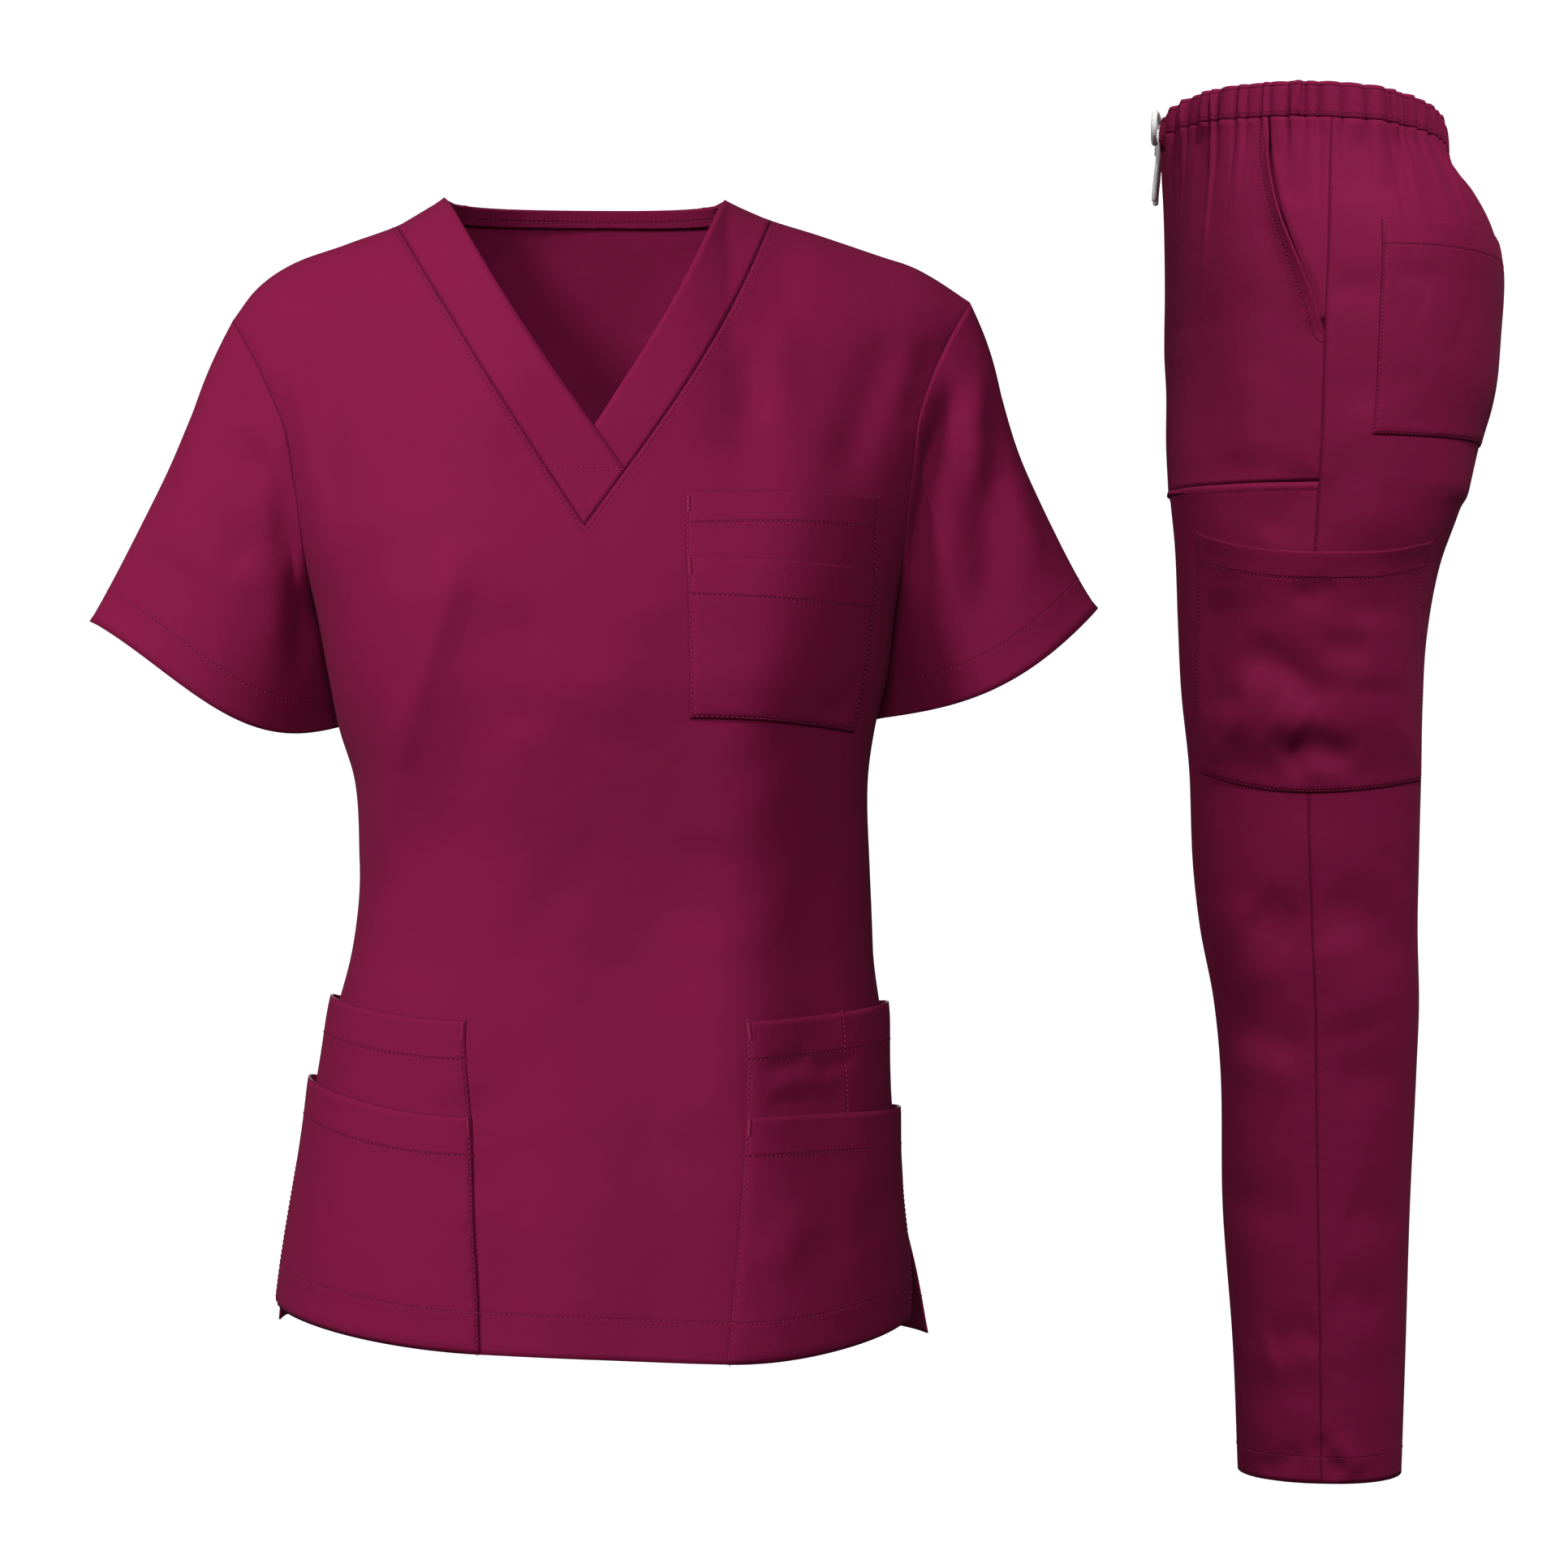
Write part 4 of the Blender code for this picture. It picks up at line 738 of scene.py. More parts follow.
def makeCotton():
    braid = Painting("cottonBraid")
    uv = braid.add("ShaderNodeUVMap", {"uv_map": "cloth"}).outputs["UV"]
    split = braid.add("ShaderNodeSeparateXYZ", Vector=uv)
    turns = braid.times(split.outputs[0], cotton["strandsRound"])
    length = braid.times(split.outputs[1], cotton["strandsRound"] * cotton["strandSlant"])
    strands = []
    for sign in (1.0, -1.0):
        slant = braid.total(turns, braid.times(length, sign))
        strands.append(braid.maths("ABSOLUTE", braid.maths("SINE", braid.times(slant, math.pi))))
    weave = braid.maths("MAXIMUM", *strands)
    spot = braid.add("ShaderNodeTexCoord").outputs["Object"]
    fuzz = braid.noise(spot, 1600.0, 2.0)
    # Painted shade between the braid's strands, with a random fuzz in its tone
    share = braid.total(braid.times(weave, 0.8), braid.times(fuzz, 0.3))
    braid.link(braid.mix(share, cotton["shadeColour"], cotton["colour"]), "Base Color")
    braid.bump(braid.total(braid.times(weave, cotton["braidDepth"]), braid.times(fuzz, cotton["fuzzDepth"])))
    braid.roughen(fuzz, 0.1, cotton["roughness"])
    braid.link(cotton["sheen"], "Sheen Weight")
    return braid.material


def makeThread():
    yarn = Painting("wineThread")
    spot = yarn.add("ShaderNodeTexCoord").outputs["Object"]
    twist = yarn.noise(spot, 1500.0, 1.0)
    lighter = tuple(min(1.0, thread["contrast"] * value) for value in thread["colour"][:3]) + (1.0,)
    yarn.link(yarn.mix(twist, thread["colour"], lighter), "Base Color")
    yarn.roughen(twist, 0.2, thread["roughness"])
    yarn.link(thread["specular"], "Specular IOR Level")
    return yarn.material


winePoplin, cottonBraid, wineThread = makePoplin(), makeCotton(), makeThread()
print("materials ready")


# Drawstring

drawstring = {
    "thick": 0.0046,
    "knotPlace": (0.0, -0.1151, -0.0055),
    "knotSize": (0.0150, 0.0115, 0.0160),
    "loopLength": 0.070,
    "endLength": 0.0485,
    "sides": 20,
    "pathPoints": 36,
    "braidTwist": 0.0058,     # length in which a strand goes once over and under
    "braidRipple": 0.05,      # of the radius
    "knotRings": 28,
    "knotSides": 40,
    "knotRipple": 0.06,       # of its size
}
loopRoute = (
    (0.0081, -0.1152, -0.0026), (0.0180, -0.1165, 0.0010), (0.0262, -0.1173, 0.0010),
    (0.0325, -0.1177, -0.0035), (0.0345, -0.1180, -0.0110), (0.0315, -0.1182, -0.0185),
    (0.0240, -0.1180, -0.0215), (0.0165, -0.1172, -0.0175), (0.0084, -0.1155, -0.0104),
)
endRoute = (
    (0.0034, -0.1151, -0.0141), (0.0058, -0.1155, -0.0260), (0.0074, -0.1163, -0.0350),
    (0.0086, -0.1173, -0.0450), (0.0092, -0.1182, -0.0540), (0.0094, -0.1187, -0.0620),
)


# A smooth line of so many points through the given ones
def smoothRoute(points, count):
    points = np.array(points, dtype=float)
    steps = lengthsAlong(points)
    dense = np.linspace(0, steps[-1], 400)
    fine = np.stack([smoothCurve(steps, points[:, axis], gentle=False)(dense) for axis in range(3)], axis=1)
    along = lengthsAlong(fine)
    return pickAlong(np.linspace(0, along[-1], count), along, fine)


# A round tube along a route, its strands showing as a slight ripple. Returns points, faces and UVs.
def cordTube(route, radius, sides):
    fullTurn = 2 * math.pi
    tangents = np.gradient(route, axis=0)
    tangents /= np.linalg.norm(tangents, axis=1, keepdims=True)
    up = np.array([0.0, 1.0, 0.0])
    along = lengthsAlong(route)
    rings, marks = [], []
    for index, (point, tangent) in enumerate(zip(route, tangents)):
        up = up - tangent * np.dot(up, tangent)
        up /= np.linalg.norm(up)
        side = np.cross(tangent, up)
        turn = fullTurn * np.arange(sides) / sides
        strand = np.abs(np.sin(3 * turn + fullTurn * along[index] / drawstring["braidTwist"]))
        reach = radius * (1 - drawstring["braidRipple"] * strand)
        rings.append(point + np.outer(np.cos(turn) * reach, up) + np.outer(np.sin(turn) * reach, side))
        marks.append(np.stack([turn / fullTurn, np.full(sides, along[index] / (fullTurn * radius))], axis=1))
    tips = [[route[0] - tangents[0] * radius * 0.5], [route[-1] + tangents[-1] * radius * 0.5]]
    points = np.concatenate(rings + tips)
    marks = np.concatenate(marks + [[marks[0][0]], [marks[-1][0]]])
    faces = []
    last = (len(route) - 1) * sides
    for ring in range(len(route) - 1):
        for side in range(sides):
            a, b = ring * sides + side, ring * sides + (side + 1) % sides
            faces.append((a, b, b + sides, a + sides))
    for side in range(sides):
        after = (side + 1) % sides
        faces.append((last + sides, after, side))
        faces.append((last + sides + 1, last + side, last + after))
    return points, faces, marks


def makeCord(name, node, route, mirror):
    line = smoothRoute(np.array(route) * np.array([mirror, 1.0, 1.0]), drawstring["pathPoints"])
    points, faces, marks = cordTube(line, drawstring["thick"] / 2, drawstring["sides"])
    cord = meshPiece(name, standing(points, "trousers"), faces, cottonBraid, {}, marks, wrap=1.0)
    joinFrame(cord, node)
    return cord, standing(line, "trousers").tolist()


# The knot is a smooth lump with the cord's wraps showing across it
def makeKnot():
    centre, half = np.array(drawstring["knotPlace"]), np.array(drawstring["knotSize"]) / 2
    rings, sides = drawstring["knotRings"], drawstring["knotSides"]
    points, marks = [], []
    for ring in range(1, rings):
        polar = math.pi * ring / rings
        for side in range(sides):
            turn = 2 * math.pi * side / sides
            shape = np.array([
                math.sin(polar) ** 0.7 * power(math.cos(turn), 0.8),
                math.sin(polar) ** 0.7 * power(math.sin(turn), 0.8),
                -power(math.cos(polar), 0.7),
            ])
            # Two wraps cross the front, one over the other
            wrap = math.cos(shape[0] * 3.4 + shape[2] * 5.2) * 0.5
            wrap += math.cos(shape[2] * 7.0 - shape[0] * 2.2) * 0.5
            points.append(centre + half * shape * (1 + drawstring["knotRipple"] * (wrap - 1)))
            marks.append((turn / math.pi, polar))
    low, high = len(points), len(points) + 1
    pole = half * np.array([0.0, 0.0, 0.97])
    points += [centre - pole, centre + pole]
    marks += [(0.0, 0.0), (0.0, math.pi)]
    faces = []
    for side in range(sides):
        after = (side + 1) % sides
        faces.append((low, after, side))
        for start in range(0, (rings - 2) * sides, sides):
            faces.append((start + side, start + after, start + sides + after, start + sides + side))
        faces.append((high, (rings - 2) * sides + side, (rings - 2) * sides + after))
    knot = meshPiece("drawstringKnot", standing(points, "trousers"), faces, cottonBraid, {}, marks, wrap=2.0)
    joinFrame(knot, "drawstring_knot")


def tieBow():
    makeKnot()
    kinds = (("Loop", loopRoute, "loopLength", "knot"), ("End", endRoute, "endLength", "bare"))
    for word, mirror in (("Left", 1), ("Right", -1)):
        for kind, route, length, end in kinds:
            node = f"drawstring_{kind.lower()}_{word.lower()}"
            cord, path = makeCord(f"bow{kind}{word}", node, route, mirror)
            print(cord.name, "is", round(float(lengthsAlong(np.array(path))[-1]), 4), "m long")


# Tables of the cut

# Horizontal sections of the torso. right and left are the reach of the section from its centre line, to
# the wearer's right and left; front and back are its depths. Above the armpits the section is wider than
# the panels, which end at the armholes. rightFork and leftFork are where the line of points that the
# pockets' inner edges follow crosses the section, as a share of its reach.
Section = namedtuple("Section", "z centre right left front back rightFork leftFork")
torsoRows = (
    Section(-0.700, 0.013, 0.199, 0.197, 0.126, 0.115, 0.365, 0.375),
    Section(-0.650, 0.013, 0.194, 0.189, 0.122, 0.110, 0.380, 0.392),
    Section(-0.600, 0.013, 0.186, 0.177, 0.118, 0.104, 0.410, 0.428),
    Section(-0.550, 0.013, 0.176, 0.171, 0.113, 0.096, 0.442, 0.460),
    Section(-0.500, 0.012, 0.164, 0.168, 0.109, 0.086, 0.490, 0.480),
    Section(-0.450, 0.011, 0.150, 0.163, 0.106, 0.081, 0.500, 0.450),
    Section(-0.400, 0.009, 0.144, 0.163, 0.108, 0.082, 0.460, 0.400),
    Section(-0.350, 0.007, 0.145, 0.164, 0.116, 0.088, 0.420, 0.345),
    Section(-0.320, 0.006, 0.153, 0.169, 0.121, 0.093, 0.400, 0.320),
    Section(-0.290, 0.005, 0.158, 0.177, 0.125, 0.098, 0.380, 0.310),
    Section(-0.240, 0.004, 0.167, 0.185, 0.124, 0.104, 0.360, 0.295),
    Section(-0.200, 0.003, 0.179, 0.197, 0.117, 0.107, 0.360, 0.285),
    Section(-0.170, 0.002, 0.187, 0.206, 0.110, 0.108, 0.360, 0.275),
    Section(-0.140, 0.001, 0.197, 0.216, 0.105, 0.107, 0.360, 0.280),
    Section(-0.100, 0.000, 0.211, 0.225, 0.097, 0.104, 0.360, 0.300),
    Section(-0.050, 0.000, 0.230, 0.252, 0.088, 0.097, 0.360, 0.320),
    Section(0.010, 0.000, 0.240, 0.262, 0.085, 0.088, 0.360, 0.320),
)

# Height of each shoulder's ridge, by distance from the middle
Ridge = namedtuple("Ridge", "across right left")
shoulders = (
    Ridge(0.0845, 0.0000, 0.0000),
    Ridge(0.1040, -0.0130, -0.0090),
    Ridge(0.1420, -0.0280, -0.0210),
    Ridge(0.1800, -0.0430, -0.0335),
    Ridge(0.1980, -0.0570, -0.0393),
    Ridge(0.2110, -0.0745, -0.0460),
    Ridge(0.2335, -0.1050, -0.0605),
)

# The armholes' distance from the middle, by how far down they are from shoulder (0) to armpit (1)
Armhole = namedtuple("Armhole", "drop rightFront rightBack leftFront leftBack")
armholeRows = (
    Armhole(0.00, 0.2110, 0.2110, 0.2335, 0.2335),
    Armhole(0.15, 0.2003, 0.2055, 0.2191, 0.2260),
    Armhole(0.30, 0.1865, 0.1965, 0.2063, 0.2155),
    Armhole(0.42, 0.1765, 0.1870, 0.1985, 0.2060),
    Armhole(0.60, 0.1710, 0.1765, 0.1940, 0.1970),
    Armhole(0.80, 0.1668, 0.1685, 0.1905, 0.1918),
    Armhole(1.00, 0.1630, 0.1630, 0.1890, 0.1890),
)

# Rows of points on the front panel below the armpits, with how far each rises towards its side seams
FrontRow = namedtuple("FrontRow", "z rightRise leftRise")
frontRows = (
    FrontRow(-0.6815, 0.011, 0.016),
    FrontRow(-0.656, 0.010, 0.008),
    FrontRow(-0.629, 0.010, 0.003),
    FrontRow(-0.601, 0.011, 0.000),
    FrontRow(-0.572, 0.012, -0.002),
    FrontRow(-0.544, 0.016, -0.003),
    FrontRow(-0.517, 0.013, 0.001),
    FrontRow(-0.489, 0.009, 0.005),
    FrontRow(-0.460, 0.005, 0.003),
    FrontRow(-0.430, 0.002, 0.001),
    FrontRow(-0.398, 0.000, 0.000),
    FrontRow(-0.356, 0.000, -0.005),
    FrontRow(-0.315, 0.000, -0.010),
    FrontRow(-0.290, 0.000, -0.006),
    FrontRow(-0.265, 0.000, -0.003),
    FrontRow(-0.240, 0.000, 0.000),
)

# Rows above the armpits: how far down the armhole they end, and where they start, which is a height on
# the centre line or a share of the way up the neckband's outer seam
ChestRow = namedtuple("ChestRow", "drop centreZ upSeam")
chestRows = (
    ChestRow(0.93, -0.220, None),
    ChestRow(0.79, None, 0.000),
    ChestRow(0.69, None, 0.100),
    ChestRow(0.62, None, 0.170),
    ChestRow(0.52, None, 0.290),
    ChestRow(0.42, None, 0.420),
    ChestRow(0.32, None, 0.550),
    ChestRow(0.23, None, 0.670),
    ChestRow(0.145, None, 0.780),
    ChestRow(0.07, None, 0.880),
    ChestRow(0.025, None, 0.955),
    ChestRow(0.00, None, 1.000),
)

backRows = (-0.682, -0.640, -0.598, -0.555, -0.510, -0.465, -0.420, -0.375, -0.330, -0.285, -0.240)
backDrops = (0.82, 0.64, 0.47, 0.31, 0.17, 0.09, 0.04, 0.0)

# How the side vents stand open at the hem: the angle left out of each panel and its flare outwards
Vent = namedtuple("Vent", "side frontAngle backAngle frontFlare backFlare")
ventRows = (
    Vent(right, math.radians(5), math.radians(5), 0.000, 0.000),
    Vent(left, math.radians(11), math.radians(8), -0.013, 0.005),
)

# Sleeves: the cuff's outer and inner ends, its depth, how far its front hangs below the straight line
# between its ends and where that is lowest, and how the sleeve's outer line bows outwards
Sleeve = namedtuple("Sleeve", "side outer inner depth hang skew highBow lowBow")
sleeveRows = (
    Sleeve(right, (-0.2970, 0.004, -0.2550), (-0.1440, 0.042, -0.3165), 0.052, 0.0235, 1.50, 0.001, -0.004),
    Sleeve(left, (0.3125, 0.004, -0.2455), (0.1740, 0.042, -0.3135), 0.052, 0.0175, 0.92, 0.001, -0.009),
)

# Soft folds: width, height as ridges (+) or troughs (-), and the route over the garment, across and up
topFolds = {
    front: [
        (0.010, 0.0042, (-0.070, -0.211), (-0.081, -0.251), (-0.110, -0.338), (-0.130, -0.416)),
        (0.028, 0.0034, (-0.066, -0.190), (-0.085, -0.270), (-0.124, -0.388), (-0.135, -0.470)),
        (0.026, -0.0034, (-0.040, -0.230), (-0.062, -0.300), (-0.100, -0.430)),
        (0.052, 0.0080, (0.095, -0.400), (0.092, -0.580), (0.092, -0.760)),
        (0.030, 0.0060, (0.140, -0.120), (0.124, -0.201), (0.096, -0.342), (0.089, -0.449), (0.092, -0.690)),
        (0.026, -0.0050, (0.158, -0.240), (0.146, -0.340), (0.136, -0.450), (0.144, -0.640)),
        (0.013, -0.0040, (0.186, -0.078), (0.165, -0.130), (0.145, -0.185)),
        (0.009, -0.0024, (0.209, -0.084), (0.192, -0.145)),
        (0.010, -0.0022, (0.092, -0.098), (0.097, -0.150)),
        (0.012, 0.0022, (0.118, -0.070), (0.112, -0.160)),
        (0.016, -0.0022, (-0.123, -0.081), (-0.086, -0.135)),
        (0.007, 0.0024, (-0.172, -0.081), (-0.164, -0.142), (-0.156, -0.207)),
        (0.011, -0.0026, (-0.157, -0.085), (-0.150, -0.150), (-0.141, -0.215)),
        (0.022, 0.0020, (0.030, -0.238), (0.012, -0.330)),
        (0.030, 0.0026, (0.000, -0.500), (0.016, -0.690)),
        (0.020, -0.0022, (-0.048, -0.480), (-0.040, -0.690)),
        (0.018, -0.0034, (-0.150, -0.300), (-0.138, -0.370), (-0.132, -0.440)),
        (0.008, -0.0022, (0.177, -0.585), (0.163, -0.625)),
    ] + looseFolds(11, 60, (-0.20, -0.68), (0.20, -0.05), 75, 0.0012),
    back: [
        (0.024, -0.0040, (0.110, -0.120), (0.050, -0.230)),
        (0.026, -0.0036, (-0.105, -0.130), (-0.055, -0.240)),
        (0.016, -0.0044, (-0.070, -0.395), (0.000, -0.430), (0.070, -0.440)),
        (0.018, 0.0032, (0.090, -0.420), (0.020, -0.490)),
        (0.030, 0.0040, (-0.050, -0.520), (-0.075, -0.690)),
        (0.026, -0.0030, (0.040, -0.540), (0.060, -0.690)),
        (0.012, -0.0030, (0.160, -0.210), (0.120, -0.260)),
        (0.012, -0.0030, (-0.160, -0.200), (-0.118, -0.255)),
    ] + looseFolds(12, 60, (-0.20, -0.68), (0.20, -0.05), 80, 0.0009),
}
sleeveFolds = {
    (right, front): [
        (0.013, -0.0040, (-0.198, -0.140), (-0.203, -0.235)),
        (0.012, -0.0063, (-0.180, -0.175), (-0.165, -0.255), (-0.160, -0.300)),
        (0.014, 0.0028, (-0.232, -0.130), (-0.245, -0.230)),
    ] + looseFolds(21, 16, (-0.28, -0.28), (-0.17, -0.12), 70, 0.0009),
    (right, back): [
        (0.012, -0.0050, (-0.185, -0.150), (-0.172, -0.260)),
        (0.016, 0.0031, (-0.220, -0.130), (-0.250, -0.230)),
    ] + looseFolds(22, 18, (-0.28, -0.28), (-0.17, -0.12), 70, 0.0012),
    (left, front): [
        (0.011, -0.0075, (0.222, -0.105), (0.206, -0.165), (0.198, -0.250)),
        (0.010, 0.0032, (0.238, -0.100), (0.232, -0.190)),
        (0.014, 0.0032, (0.262, -0.130), (0.275, -0.230)),
        (0.013, -0.0032, (0.246, -0.150), (0.240, -0.260)),
    ] + looseFolds(23, 16, (0.18, -0.28), (0.30, -0.12), 100, 0.0009),
    (left, back): [
        (0.012, -0.0050, (0.205, -0.150), (0.195, -0.260)),
        (0.016, 0.0031, (0.240, -0.130), (0.265, -0.230)),
    ] + looseFolds(24, 18, (0.18, -0.28), (0.30, -0.12), 100, 0.0012),
}

# Extra creases of the wearer's left hip pocket's upper layer, which is bound less tight than the rest
hipPocketFolds = [
    (0.005, -0.0016, (0.103, -0.517), (0.130, -0.511)),
    (0.005, -0.0016, (0.132, -0.520), (0.158, -0.513)),
    (0.005, 0.0014, (0.103, -0.526), (0.150, -0.525)),
    (0.005, -0.0014, (0.105, -0.534), (0.128, -0.540)),
]

# Horizontal sections of the trousers' left half. side and seam place the side seam, front and back are
# the outline seen from the side, inner is the leg's radius towards the other leg and gap its distance
# from the middle. The rest place lines of points round the half, as angles from the side seam: the
# cargo pocket's edges, and the hip pocket's outer and inner edges.
Leg = namedtuple("Leg", "z side seam front back inner gap cargoFront hipOuter cargoBack hipInner")
trouserRows = (
    Leg(-0.990, 0.150, 0.0041, -0.0555, 0.0610, 0.059, 0.032, 1.257, 0.31, 1.257, 2.20),
    Leg(-0.900, 0.152, 0.0032, -0.0590, 0.0640, 0.060, 0.031, 1.257, 0.31, 1.257, 2.20),
    Leg(-0.800, 0.154, 0.0017, -0.0663, 0.0670, 0.063, 0.028, 1.257, 0.31, 1.270, 2.20),
    Leg(-0.700, 0.156, 0.0003, -0.0680, 0.0717, 0.066, 0.025, 1.225, 0.32, 1.290, 2.20),
    Leg(-0.650, 0.158, -0.0004, -0.0730, 0.0735, 0.068, 0.023, 1.194, 0.35, 1.320, 2.22),
    Leg(-0.600, 0.160, -0.0025, -0.0825, 0.0725, 0.069, 0.022, 1.162, 0.38, 1.350, 2.23),
    Leg(-0.550, 0.163, -0.0042, -0.0880, 0.0735, 0.071, 0.020, 1.131, 0.41, 1.382, 2.25),
    Leg(-0.500, 0.166, -0.0049, -0.0905, 0.0750, 0.073, 0.018, 1.084, 0.41, 1.382, 2.25),
    Leg(-0.450, 0.170, -0.0040, -0.0960, 0.0760, 0.076, 0.014, 1.021, 0.38, 1.257, 2.22),
    Leg(-0.400, 0.173, -0.0025, -0.0985, 0.0790, 0.079, 0.010, 0.958, 0.35, 1.131, 2.18),
    Leg(-0.350, 0.176, -0.0010, -0.1005, 0.0885, 0.082, 0.006, 0.911, 0.32, 1.005, 2.15),
    Leg(-0.310, 0.178, 0.0010, -0.1045, 0.1035, 0.084, 0.003, 0.930, 0.30, 1.060, 2.12),
    Leg(-0.286, 0.179, 0.0024, -0.1055, 0.1090, 0.085, 0.000, 0.940, 0.28, 1.090, 2.08),
    Leg(-0.250, 0.180, 0.0045, -0.1080, 0.1175, 0.085, 0.000, 0.880, 0.28, 1.060, 1.92),
    Leg(-0.210, 0.180, 0.0056, -0.1090, 0.1280, 0.085, 0.000, 0.800, 0.27, 0.970, 1.638),
    Leg(-0.170, 0.178, 0.0066, -0.1115, 0.1330, 0.085, 0.000, 0.700, 0.265, 0.880, 1.483),
    Leg(-0.130, 0.173, 0.0085, -0.1110, 0.1365, 0.085, 0.000, 0.640, 0.26, 0.810, 1.395),
    Leg(-0.095, 0.164, 0.0093, -0.1110, 0.1300, 0.085, 0.000, 0.630, 0.26, 0.810, 1.387),
    Leg(-0.060, 0.151, 0.0100, -0.1110, 0.1140, 0.085, 0.000, 0.630, 0.235, 0.810, 1.380),
    Leg(-0.030, 0.141, 0.0105, -0.1090, 0.0930, 0.085, 0.000, 0.630, 0.235, 0.810, 1.375),
    Leg(0.010, 0.135, 0.0109, -0.1065, 0.0895, 0.085, 0.000, 0.630, 0.235, 0.810, 1.375),
)
hipRows = (
    -0.286, -0.279, -0.269, -0.254, -0.231, -0.207, -0.182,
    -0.162, -0.141, -0.121, -0.102, -0.075, -0.050, -0.026,
)
legRows = (
    -0.988, -0.948, -0.905, -0.860, -0.812, -0.765, -0.722, -0.684, -0.650, -0.617, -0.585,
    -0.555, -0.528, -0.5026, -0.474, -0.446, -0.418, -0.390, -0.362, -0.3345, -0.310, -0.286,
)

# The slant pocket's edge: how far forward of the side seam it is, as an angle round the section
Slant = namedtuple("Slant", "z angle")
slantRows = (
    Slant(-0.182, 0.00),
    Slant(-0.162, 0.045),
    Slant(-0.140, 0.11),
    Slant(-0.118, 0.18),
    Slant(-0.095, 0.245),
    Slant(-0.072, 0.29),
    Slant(-0.050, 0.32),
    Slant(-0.026, 0.33),
)

# Soft folds of the trousers' outer faces, over y and height
trouserFolds = {
    left: [
        (0.011, -0.0026, (-0.026, -0.036), (-0.018, -0.095)),
        (0.009, -0.0026, (0.029, -0.034), (0.030, -0.090)),
        (0.010, -0.0023, (0.053, -0.034), (0.048, -0.092)),
        (0.011, -0.0023, (-0.070, -0.036), (-0.086, -0.100)),
        (0.011, -0.0019, (0.010, -0.149), (0.050, -0.152)),
        (0.024, -0.0035, (-0.090, -0.120), (-0.092, -0.270)),
        (0.018, 0.0026, (-0.040, -0.200), (-0.052, -0.275)),
        (0.022, 0.0031, (0.030, -0.220), (0.042, -0.340)),
        (0.017, -0.0026, (-0.046, -0.585), (-0.008, -0.603)),
        (0.017, -0.0030, (0.004, -0.574), (0.037, -0.591), (0.060, -0.632)),
        (0.024, 0.0027, (0.011, -0.600), (0.035, -0.668)),
        (0.018, -0.0030, (-0.068, -0.668), (-0.034, -0.674), (-0.002, -0.684)),
        (0.021, 0.0023, (-0.066, -0.573), (-0.034, -0.650)),
        (0.015, 0.0017, (-0.062, -0.690), (-0.010, -0.702)),
        (0.015, -0.0017, (0.012, -0.706), (0.060, -0.700)),
        (0.018, -0.0023, (0.022, -0.790), (0.066, -0.806)),
        (0.018, -0.0021, (-0.070, -0.786), (-0.010, -0.800)),
        (0.015, -0.0026, (-0.034, -0.894), (0.004, -0.880)),
        (0.015, 0.0020, (-0.040, -0.908), (0.008, -0.898)),
        (0.015, -0.0018, (0.010, -0.850), (0.050, -0.868)),
        (0.008, 0.0022, (0.011, -0.955), (0.034, -0.982)),
        (0.008, -0.0020, (0.000, -0.955), (0.018, -0.985)),
        (0.008, -0.0020, (-0.040, -0.984), (-0.006, -0.964)),
    ] + looseFolds(31, 70, (-0.10, -0.98), (0.12, -0.06), 60, 0.0009),
    right: [
        (0.011, -0.0026, (-0.030, -0.036), (-0.022, -0.095)),
        (0.009, -0.0026, (0.034, -0.034), (0.036, -0.090)),
        (0.022, 0.0031, (0.030, -0.220), (0.042, -0.340)),
        (0.027, -0.0027, (0.000, -0.560), (0.050, -0.610)),
        (0.021, -0.0030, (-0.060, -0.640), (-0.005, -0.665)),
        (0.024, 0.0024, (0.008, -0.610), (0.036, -0.680)),
        (0.019, -0.0024, (-0.050, -0.780), (0.010, -0.812)),
        (0.017, -0.0021, (0.004, -0.900), (0.045, -0.880)),
    ] + looseFolds(32, 70, (-0.10, -0.98), (0.12, -0.06), 60, 0.0009),
}

# Dents and swells of a loosely filled cargo pocket, and of the pocket behind the hip
cargoFolds = [
    (0.015, -0.0046, (-0.052, -0.398), (-0.017, -0.420), (0.012, -0.444)),
    (0.014, -0.0032, (-0.082, -0.428), (-0.047, -0.441)),
    (0.013, -0.0045, (-0.026, -0.482), (0.000, -0.470), (0.027, -0.484)),
    (0.011, 0.0021, (-0.010, -0.489), (0.022, -0.489)),
    (0.009, -0.0019, (-0.018, -0.364), (0.002, -0.366), (0.012, -0.356)),
    (0.020, 0.0023, (0.037, -0.375), (0.034, -0.432)),
    (0.025, -0.0023, (-0.066, -0.358), (-0.064, -0.430)),
    (0.011, -0.0019, (0.000, -0.401), (0.036, -0.402)),
    (0.019, 0.0025, (-0.030, -0.445), (-0.005, -0.458)),
]
backPocketFolds = [
    (0.010, -0.0008, (0.048, -0.139), (0.086, -0.142)),
    (0.010, -0.0008, (0.050, -0.214), (0.076, -0.216)),
    (0.018, 0.0010, (0.070, -0.165), (0.100, -0.175)),
]


# Top: the surface that all its pieces lie on

